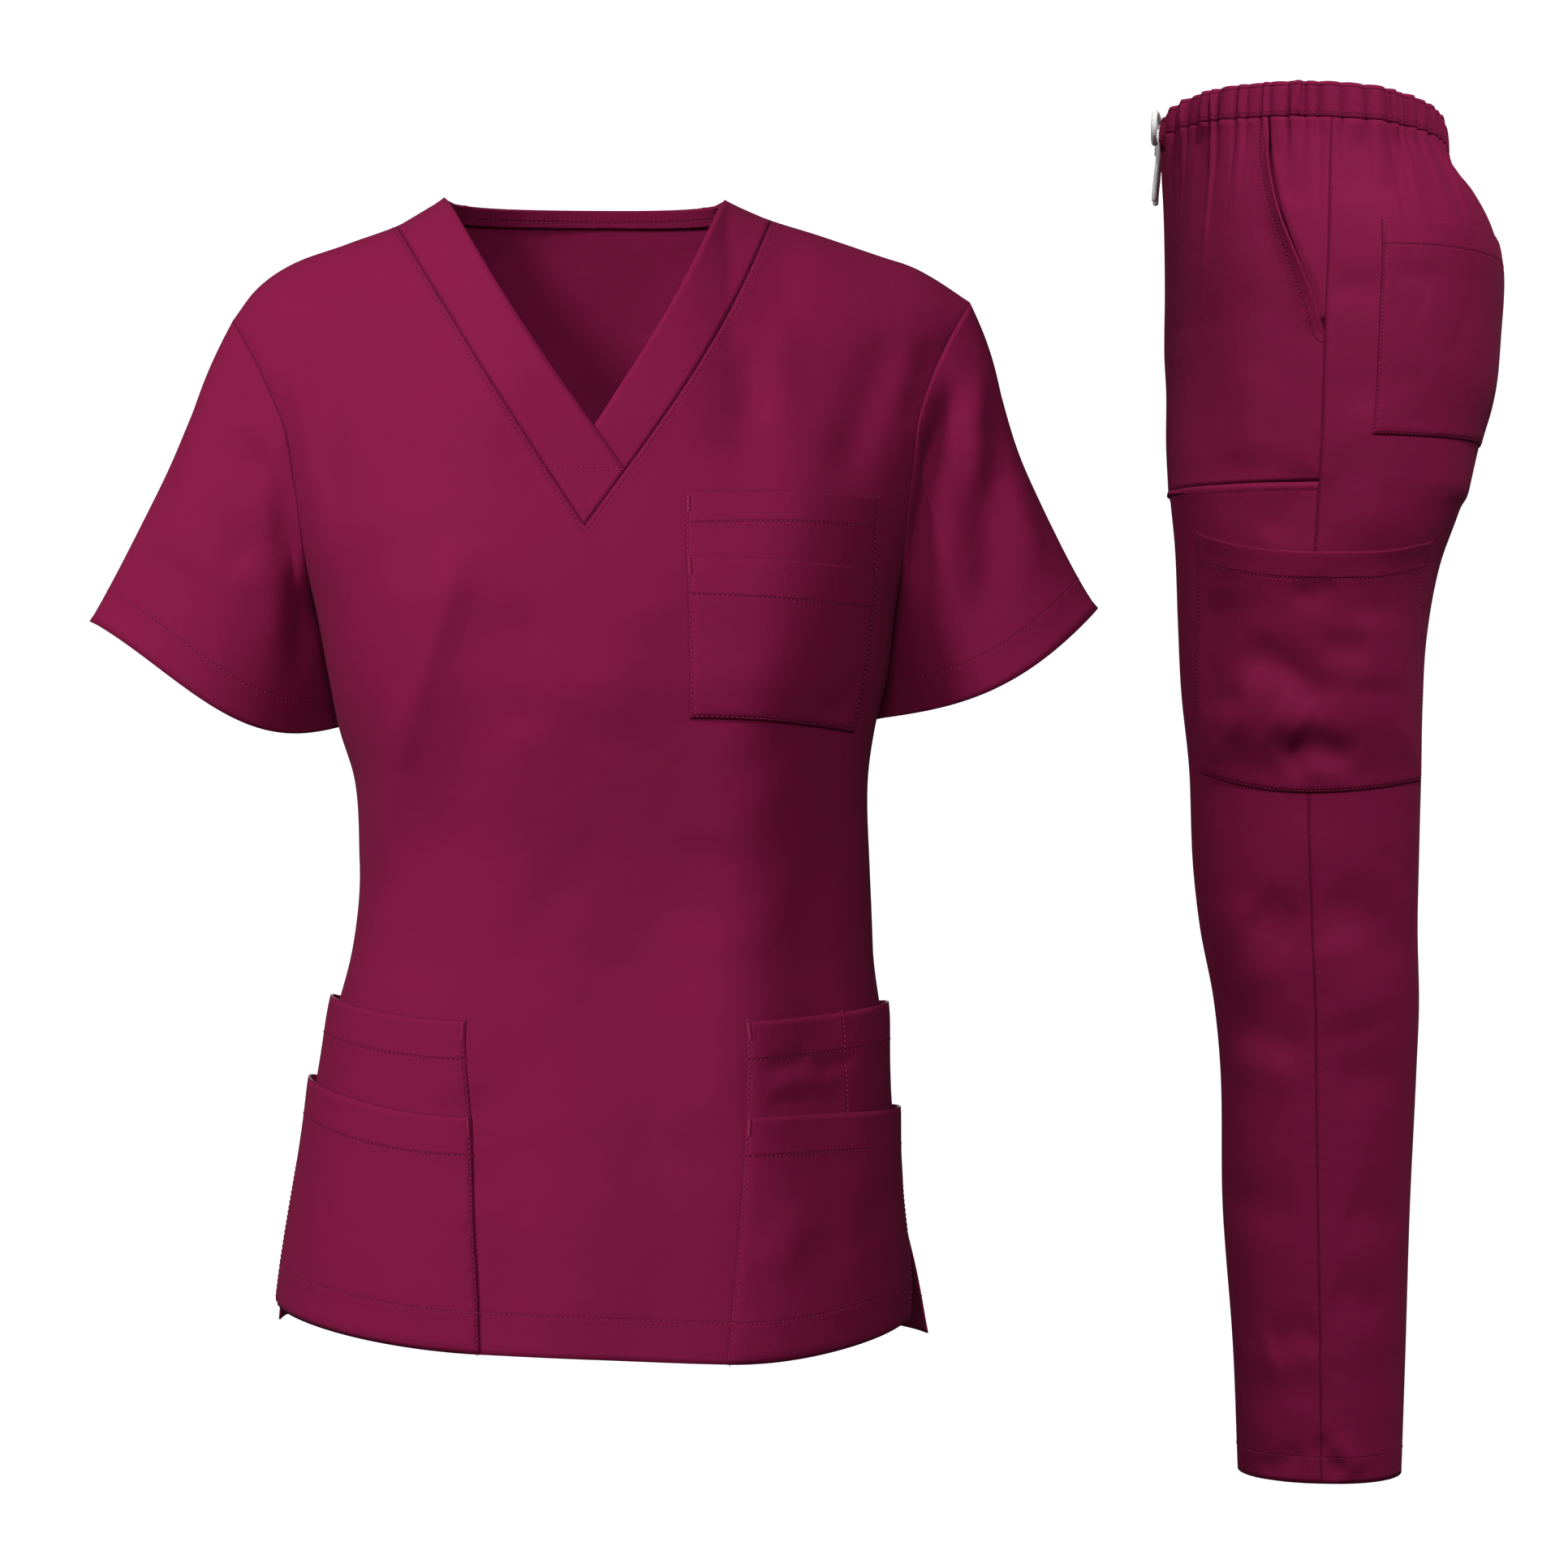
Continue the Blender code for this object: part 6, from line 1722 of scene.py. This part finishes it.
# Points round the left half at one level. The waist slopes, and rows by the cargo pockets curve.
def halfRow(face, level, angles, side):
    cut = trouserCut
    share = forkShare(face, level)
    inner = leg["inner"](level)
    centre = leg["gap"](level) + inner * share
    seam = leg["seam"](level)
    depth = abs(leg["front" if face == front else "back"](level) - seam)
    cosine, sine = np.cos(angles), np.maximum(np.sin(angles), 0.0)
    exponent = np.where(cosine > 0, 2 / cut["trouserPower"], 1.0)
    x = centre + np.where(cosine > 0, leg["side"](level) - centre, inner) * power(cosine, exponent)
    x = np.where(np.abs(x) < 1e-6, 0.0, x)
    y = seam + face * depth * power(sine, exponent)
    slope = ease((level - cut["waistTiltEndZ"]) / (-cut["waistband"] - cut["waistTiltEndZ"]))
    z = level + cut["waistTilt"] * y * slope
    nearCargo = ease((cut["crossSeamZ"] - level) / 0.03) * ease((level - cut["cargoFootZ"]) / 0.05)
    z = z + cut["cargoSag"][face] * (y - seam) ** 2 * nearCargo * ease(x / 0.1)
    return legFolds(np.stack([x, y, z], axis=-1), side)


# Where the columns stand round one half, from its first angle, so that some follow pockets' edges
def columnAngles(face, level, start):
    cut = trouserCut
    fixed = [
        (0, start),
        (cut["cargoColumn"], leg["cargoFront"](level)),
        (cut["halfColumns"], lastAngle(face, level)),
    ]
    if face == back:
        fixed[1:2] = [
            (cut["hipOuterColumn"], leg["hipOuter"](level)),
            (cut["cargoColumn"], leg["cargoBack"](level)),
            (cut["hipInnerColumn"], leg["hipInner"](level)),
        ]
    columns, angles = zip(*fixed)
    fine = np.arange(cut["halfColumns"] * cut["columnSteps"] + 1) / cut["columnSteps"]
    return np.interp(fine, columns, [float(angle) for angle in angles])


# Where the upper front starts: at the slant pocket's edge, or at the side seam below it
def slantFirst(level):
    return float(slantAngle(level)) if level > trouserCut["slantEndZ"] else 0.0


# Rows from the side seam round to the middle or the inseam, on the left half
def halfGrid(face, levels, side, firstAngle=lambda level: 0.0):
    rows = [halfRow(face, level, columnAngles(face, level, firstAngle(level)), side) for level in levels]
    return np.array(rows)


# The slant pocket's facing, from the side seam to a little way under the front
def facingGrid(levels, side):
    rows = []
    for level in levels:
        edge = float(slantAngle(level))
        tucked = edge + trouserCut["slantTuck"] * np.linspace(0, 1, 7)[1:]
        rows.append(halfRow(front, level, np.concatenate([np.linspace(0, edge, 25), tucked]), side))
    return np.array(rows)


# The grid on its own leg, with its columns in the order that makes its faces point out
def placed(grid, face, side):
    grid = grid if side == left else grid * np.array([-1.0, 1.0, 1.0])
    return grid[:, ::-1] if (face == front) == (side == left) else grid


# The elastic's gathers: where each starts along the waist, how deep it is, how far it runs down the panels
# and how it leans
def gatherTable():
    cut = trouserCut
    chance = np.random.default_rng(cut["gatherSeed"])
    widths = chance.uniform(*cut["gatherWidths"], cut["gathers"])
    depths = chance.uniform(*cut["gatherDepths"], cut["gathers"]) * cut["gatherDepth"]
    starts = np.concatenate([[0], np.cumsum(widths)]) / widths.sum()
    falls = chance.uniform(0.0, 1.0, cut["gathers"]) ** cut["fallPower"]
    falls = cut["fallStart"] + cut["fallSpread"] * falls
    lean = chance.normal(0.0, cut["gatherLean"], cut["gathers"])
    return starts, depths, falls, lean


# The waist's smooth ring at one level, with the share of its length at each point
def waistRing(level):
    fine = np.linspace(0, math.pi / 2, 120)
    quarter = [halfRow(front, level, fine, left), halfRow(back, level, fine, left)[::-1]]
    half = np.concatenate([quarter[1][:-1], quarter[0]])
    ring = np.concatenate([half, (half * np.array([-1.0, 1.0, 1.0]))[::-1][1:]])
    along = lengthsAlong(ring)
    return along / along[-1], ring


# The level direction out of the waist at each point
def outwardsAt(points):
    away = points * np.array([1.0, trouserCut["waistStretch"], 0.0])
    return away / np.maximum(np.linalg.norm(away, axis=-1, keepdims=True), 1e-9)


# How far a gather stands out at a share of the waist's length, and how far it runs down
def gatherWave(share, height=0.0):
    starts, depths, falls, lean = gatherTable()
    share = np.mod(share, 1.0)
    index = np.clip(np.searchsorted(starts, share, side="right") - 1, 0, len(depths) - 1)
    phase = (share - starts[index]) / (starts[index + 1] - starts[index])
    bent = phase + lean[index] * height * np.sin(np.pi * phase) ** 2
    # Round on top and sharp where two gathers meet
    return depths[index] * np.abs(np.sin(np.pi * bent)) ** trouserCut["gatherRound"], falls[index]


# How far each spot is along the waist from the nearest crease between two gathers, which is where painted shade
# darkens the cloth
def awayFromShadedCrease(share):
    starts = gatherTable()[0]
    steps = np.abs(np.mod(share, 1.0)[..., None] - starts).min(axis=-1)
    return steps * trouserCut["creaseLength"]


# The waistband's grid, and how far its points are from the creases, which places painted shade in them
def waistband():
    cut = trouserCut
    steps = cut["gathers"] * cut["gatherSteps"]
    shares = np.arange(steps + 1) / steps
    lower, upper = (pickAlong(shares, *waistRing(level)) for level in (-cut["waistband"], 0.0))
    rows = []
    for step in range(cut["bandRows"] + 1):
        v = step / cut["bandRows"]
        points = lerp(lower, upper, v)
        wave, _ = gatherWave(shares, (v - 0.5) * 2)
        puff = 0.0005 * math.sin(math.pi * v) ** 1.2 - 0.0008 * ease((v - 0.88) / 0.12)
        out = wave + puff + cut["bandProud"]
        points = points + outwardsAt(points) * out[:, None]
        points[:, 2] = -cut["waistband"] * (1 - v) + cut["waistTilt"] * points[:, 1]
        points[:, 2] -= v * cut["waistDip"] * np.abs(points[:, 1] / 0.1) ** 2.5
        points[-1] = points[0]
        rows.append(points)
    rows = np.array(rows)
    made = outward(rows)
    shadedCreaseAway = np.tile(awayFromShadedCrease(shares), (len(rows), 1))
    return made, shadedCreaseAway if np.allclose(made[0, 1], rows[0, 1]) else shadedCreaseAway[:, ::-1]


# Carries the gathers on down a panel, each fading in its own length. The painted shade in their creases thins
# out lower down.
def gathered(grid, levels, ring):
    shares, points = ring
    stretch = trouserCut["waistStretch"]
    turns = np.unwrap(np.arctan2(points[:, 1] * stretch, points[:, 0]))
    order = np.argsort(turns)
    below = (-trouserCut["waistband"] - np.array(levels))[:, None]
    turn = np.arctan2(grid[..., 1] * stretch, grid[..., 0])
    turn = np.where(turn < turns.min(), turn + 2 * np.pi, turn)
    turn = np.where(turn > turns.max(), turn - 2 * np.pi, turn)
    share = np.interp(turn, turns[order], shares[order])
    wave, falls = gatherWave(share, -1.0)
    shadedCreaseAway = awayFromShadedCrease(share) + 0.03 * np.maximum(below, 0.0)
    return grid + outwardsAt(grid) * (wave * np.exp(-(below / falls) ** 1.1))[..., None], shadedCreaseAway


# The panel with its seam allowance, which steps in and runs up behind the waistband
def withAllowance(grid):
    rows = [grid]
    for up, inwards in ((0.0010, 0.0026), (trouserCut["allowance"], 0.0028)):
        rows.append(grid[-1:] - outwardsAt(grid[-1:]) * inwards + np.array([0.0, 0.0, up]))
    return np.concatenate(rows)


# A panel that also shows the creases of the gathers above it, as painted shade
def withCreaseShade(panel, shadedCreaseAway):
    extra = len(panel.seam) - len(shadedCreaseAway)
    shadedCreaseAway = np.concatenate([shadedCreaseAway, np.repeat(shadedCreaseAway[-1:], extra, axis=0)])
    return panel._replace(seam=np.minimum(panel.seam, shadedCreaseAway))


# The grids of both legs' panels, and how far the gathered ones' points are from the creases, where shade is
# painted
def trouserGrids(hipLevels, legLevels):
    ring = waistRing(-trouserCut["waistband"])
    backLevels = np.concatenate([legLevels[:-1], hipLevels])
    facingLevels = np.linspace(trouserCut["facingEndZ"], hipLevels[-1], 40)
    grids, shadedCreaseAway = {}, {}
    for side in (right, left):
        made = {
            "upper": (halfGrid(front, hipLevels, side, slantFirst), front, hipLevels),
            "lower": (halfGrid(front, legLevels, side), front, legLevels),
            "back": (halfGrid(back, backLevels, side), back, backLevels),
            "facing": (facingGrid(facingLevels, side), front, facingLevels),
        }
        for name, (grid, face, levels) in made.items():
            grid = placed(grid, face, side)
            if name != "lower":
                grid, shadedCreaseAway[name, side] = gathered(grid, levels, ring)
            grids[name, side] = grid
    return grids, shadedCreaseAway


def sewWaistband():
    grid, shadedCreaseAway = waistband()
    edges, hems = [(grid[0], trouserCut["bandInset"])], [(grid[-1], trouserCut["bandTopInset"])]
    # The band's seam distances are those from the gathers' creases, so painted shade darkens the creases
    panel = panelOf(grid, (), edges, hems)._replace(seam=shadedCreaseAway)
    makeCloth("waistband", "waistband", "trousers", [panel], layers["band"])
    stitchOn("trousers", panel, panel.edge)
    print("waistband ready")


# One leg's panels and pockets. Columns run from the inseam to the side seam in front, and from it to the
# inseam behind; turned puts them in the order that makes the faces point out.
def sewLeg(side, grids, shadedCreaseAway, hipLevels, hipAt, legAt):
    cut = trouserCut
    word = sideWords[side]
    title = word.title()

    def turned(grid):
        return grid[:, ::-1] if side == right else grid

    names = ("upper", "lower", "back", "facing")
    upper, lower, backGrid, facing = (turned(grids[name, side]) for name in names)

    # The slanted mouth stands open a little
    slantRow = int(np.argmin(np.abs(hipLevels - cut["slantEndZ"])))
    gape = np.zeros(upper.shape[:2])
    gape[slantRow:] = cut["slantGape"] * halfTurn(np.linspace(0, 1, len(upper) - slantRow))[:, None] ** 0.7
    gape *= np.exp(-(np.arange(upper.shape[1])[::-1] / cut["columnSteps"] * 2) ** 1.2)[None, :]
    upper = upper + outwardsAt(upper) * gape[..., None]
    seams = [upper[:slantRow + 1, -1], upper[0], upper[:, 0], upper[-1]]
    panel = panelOf(turned(withAllowance(upper)), seams, [(upper[slantRow:, -1], cut["slantInset"])])
    panel = withCreaseShade(panel, shadedCreaseAway["upper", side])
    makeCloth(f"trouserFrontUpper{title}", f"trouser_front_upper_{word}", "trousers", [panel],
              layers["panel"])
    keep = np.ones(panel.seam.shape, dtype=bool)
    keep[:slantRow + 2] = False
    stitchOn("trousers", panel, panel.edge, keep=turned(keep))

    panel = panelOf(turned(lower), [lower[:, -1], lower[:, 0], lower[-1]], [(lower[-1], cut["crossInset"])],
                    [(lower[0], cut["hemDepth"])])
    sewCloth(f"trouserFrontLower{title}", f"trouser_front_lower_{word}", "trousers", panel,
             layers["panel"])

    panel = panelOf(turned(withAllowance(backGrid)), [backGrid[:, 0], backGrid[:, -1], backGrid[-1]], (),
                    [(backGrid[0], cut["hemDepth"])])
    panel = withCreaseShade(panel, shadedCreaseAway["back", side])
    makeCloth(f"trouserBack{title}", f"trouser_back_{word}", "trousers", [panel], layers["panel"])
    stitchOn("trousers", panel, panel.hem)

    # The facing dips where it passes under the front
    count = cut["facingTuckColumns"]
    column = np.arange(facing.shape[1])
    dip = np.where(column < count, -cut["facingTuck"], 0.0) * ease((count - column) / 2.0 + 0.5)
    facing = withAllowance(facing)
    dips = np.tile(dip, (len(facing), 1))
    panel = panelOf(raised(turned(facing), turned(dips)), [facing[:, -1]])
    makeCloth(f"slantFacing{title}", f"slant_facing_{word}", "trousers", [panel], layers["patch"])

    steps = cut["columnSteps"]
    rows = slice(legAt[cut["cargoBottom"]], legAt[cut["cargoMouth"]] + 1)
    frontPart = lower[rows, -cut["cargoColumn"] * steps - 1:]
    backPart = backGrid[rows, :cut["cargoColumn"] * steps + 1]
    cargo = np.concatenate([frontPart, backPart[:, 1:]], axis=1)
    first, last = (legAt[-1] + hipAt[cut[name]] for name in ("hipPocketBottom", "hipPocketMouth"))
    hip = backGrid[first:last + 1, cut["hipOuterColumn"] * steps:cut["hipInnerColumn"] * steps + 1]
    for shape, base in zip(pocketShapes, (cargo, hip)):
        base = rimmedAround(turned(base))
        loose = swell(base, 1.0, rim=0.0, width=0.007)
        height = layers["firstPatch"] + mouthRise(base, shape.mouthRise)
        height = height + swell(base, shape.swell, width=0.022)
        height = height + foldAmount(base[..., 1], base[..., 2], shape.folds) * loose
        sewPatch(shape.name + title, f"{shape.node}_{word}", "trousers",
                 raised(base, np.maximum(height, pocketShape["leastHeight"])),
                 cut["edgeInset"], cut["pocketHem"])


def buildTrousers():
    hipSteps, legSteps = (stepsFor(rows, trouserCut["pitch"]) for rows in (hipRows, legRows))
    hipLevels, legLevels = between(hipRows, hipSteps), between(legRows, legSteps)
    grids, shadedCreaseAway = trouserGrids(hipLevels, legLevels)
    print("trouser surface:", *(grids[name, left].shape for name in ("upper", "lower", "back")))
    sewWaistband()
    for side in (right, left):
        sewLeg(side, grids, shadedCreaseAway, hipLevels, rowPlaces(hipSteps), rowPlaces(legSteps))
    print("trousers ready")


# Stitches: one tree of nodes lays them along every stitched line

def stitchTree():
    tree = bpy.data.node_groups.new("layStitches", "GeometryNodeTree")
    face = tree.interface
    face.new_socket("Geometry", in_out="INPUT", socket_type="NodeSocketGeometry")
    for name, value in (("Pitch", stitching["pitch"]), ("Stitch Length", stitching["stitchLength"]),
                        ("Thread Thickness", stitching["threadThick"]), ("Turn", 0.0)):
        face.new_socket(name, in_out="INPUT", socket_type="NodeSocketFloat").default_value = value
    face.new_socket("Seed", in_out="INPUT", socket_type="NodeSocketInt").default_value = stitching["seed"]
    face.new_socket("Thread", in_out="INPUT", socket_type="NodeSocketMaterial")
    face.new_socket("Geometry", in_out="OUTPUT", socket_type="NodeSocketGeometry")
    add = Nodes(tree).add
    given = add("NodeGroupInput").outputs
    curve = add("GeometryNodeMeshToCurve", Mesh=given["Geometry"]).outputs["Curve"]
    spaced = add("GeometryNodeResampleCurve", {"mode": "LENGTH"}, Curve=curve, Length=given["Pitch"])
    # Each stitch lies along its line and flat on the cloth, turned by a little chance
    tangent = add("GeometryNodeInputTangent").outputs["Tangent"]
    outwards = add("GeometryNodeInputNamedAttribute", {"data_type": "FLOAT_VECTOR"}, Name="outward")
    axes = add("FunctionNodeAxesToRotation", {"primary_axis": "Z", "secondary_axis": "X"},
               Primary_Axis=outwards.outputs["Attribute"], Secondary_Axis=tangent).outputs["Rotation"]
    wobble = add("FunctionNodeRandomValue", {"data_type": "FLOAT"}, Seed=given["Seed"],
                 i2=-stitching["wobble"], i3=stitching["wobble"]).outputs[1]
    turns = add("ShaderNodeMath", {"operation": "ADD"}, i0=given["Turn"], i1=wobble).outputs[0]
    turn = add("ShaderNodeCombineXYZ", Z=turns).outputs["Vector"]
    rotated = add("FunctionNodeRotateRotation", {"rotation_space": "LOCAL"}, Rotation=axes, Rotate_By=turn)
    size = add("ShaderNodeCombineXYZ", X=given["Stitch Length"], Y=given["Thread Thickness"],
               Z=given["Thread Thickness"]).outputs["Vector"]
    ball = add("GeometryNodeMeshIcoSphere", Radius=0.5, Subdivisions=1).outputs["Mesh"]
    spots = add("GeometryNodeInstanceOnPoints", Points=spaced.outputs["Curve"], Instance=ball,
                Rotation=rotated.outputs["Rotation"], Scale=size).outputs["Instances"]
    real = add("GeometryNodeRealizeInstances", Geometry=spots).outputs["Geometry"]
    smooth = add("GeometryNodeSetShadeSmooth", Geometry=real).outputs["Geometry"]
    paint = add("GeometryNodeSetMaterial", Geometry=smooth, Material=given["Thread"]).outputs["Geometry"]
    add("NodeGroupOutput", Geometry=paint)
    return tree


# All runs of stitches of one garment as one mesh of lines, then as one mesh of stitches
def sewGarment(tree, name, garment, runs, values):
    points, outward, links = [], [], []
    for run, away, pairs in runs:
        start = sum(len(part) for part in points)
        points.append(run)
        outward.append(away)
        links += [(a + start, b + start) for a, b in pairs]
    away = standing(np.concatenate(outward), garment) - np.array(place[garment][0])
    lines = bpy.data.meshes.new(name + "Lines")
    lines.from_pydata(standing(np.concatenate(points), garment).tolist(), links, [])
    field = lines.attributes.new("outward", "FLOAT_VECTOR", "POINT")
    field.data.foreach_set("vector", away.astype(np.float32).ravel())
    guide = bpy.data.objects.new(name + "Lines", lines)
    bpy.context.scene.collection.objects.link(guide)
    sewing = guide.modifiers.new("sewing", "NODES")
    sewing.node_group = tree
    sockets = {item.name: item.identifier for item in tree.interface.items_tree if item.in_out == "INPUT"}
    for key, value in {**values, "Thread": wineThread}.items():
        sewing[sockets[key]] = value
    bpy.context.view_layer.update()
    graph = bpy.context.evaluated_depsgraph_get()
    made = bpy.data.meshes.new_from_object(guide.evaluated_get(graph), depsgraph=graph)
    bpy.data.objects.remove(guide, do_unlink=True)
    made.name = name
    if not made.materials:
        made.materials.append(wineThread)
    piece = bpy.data.objects.new(name, made)
    bpy.context.scene.collection.objects.link(piece)
    joinFrame(piece)
    print(name, "has", len(made.polygons), "faces")


def sewAll():
    tree = stitchTree()
    kinds = (("Stitches", stitchRuns, "pitch", "stitchLength", 0.0),
             ("BarTacks", tackRuns, "tackPitch", "tackWidth", math.pi / 2))
    for garment in ("top", "trousers"):
        for kind, runs, pitch, length, turn in kinds:
            sewGarment(tree, garment + kind, garment, runs[garment], {
                "Pitch": stitching[pitch], "Stitch Length": stitching[length],
                "Thread Thickness": stitching["threadThick"], "Turn": turn})


tieBow()
print("drawstring tied")
buildTop()
buildTrousers()
sewAll()
shareLights()
for name, node, flat, area in sheetNotes:
    print(f"{name} ({node}): cut {flat[0]:.3f} x {flat[1]:.3f} m, {area:.4f} square metres")

bpy.context.view_layer.update()
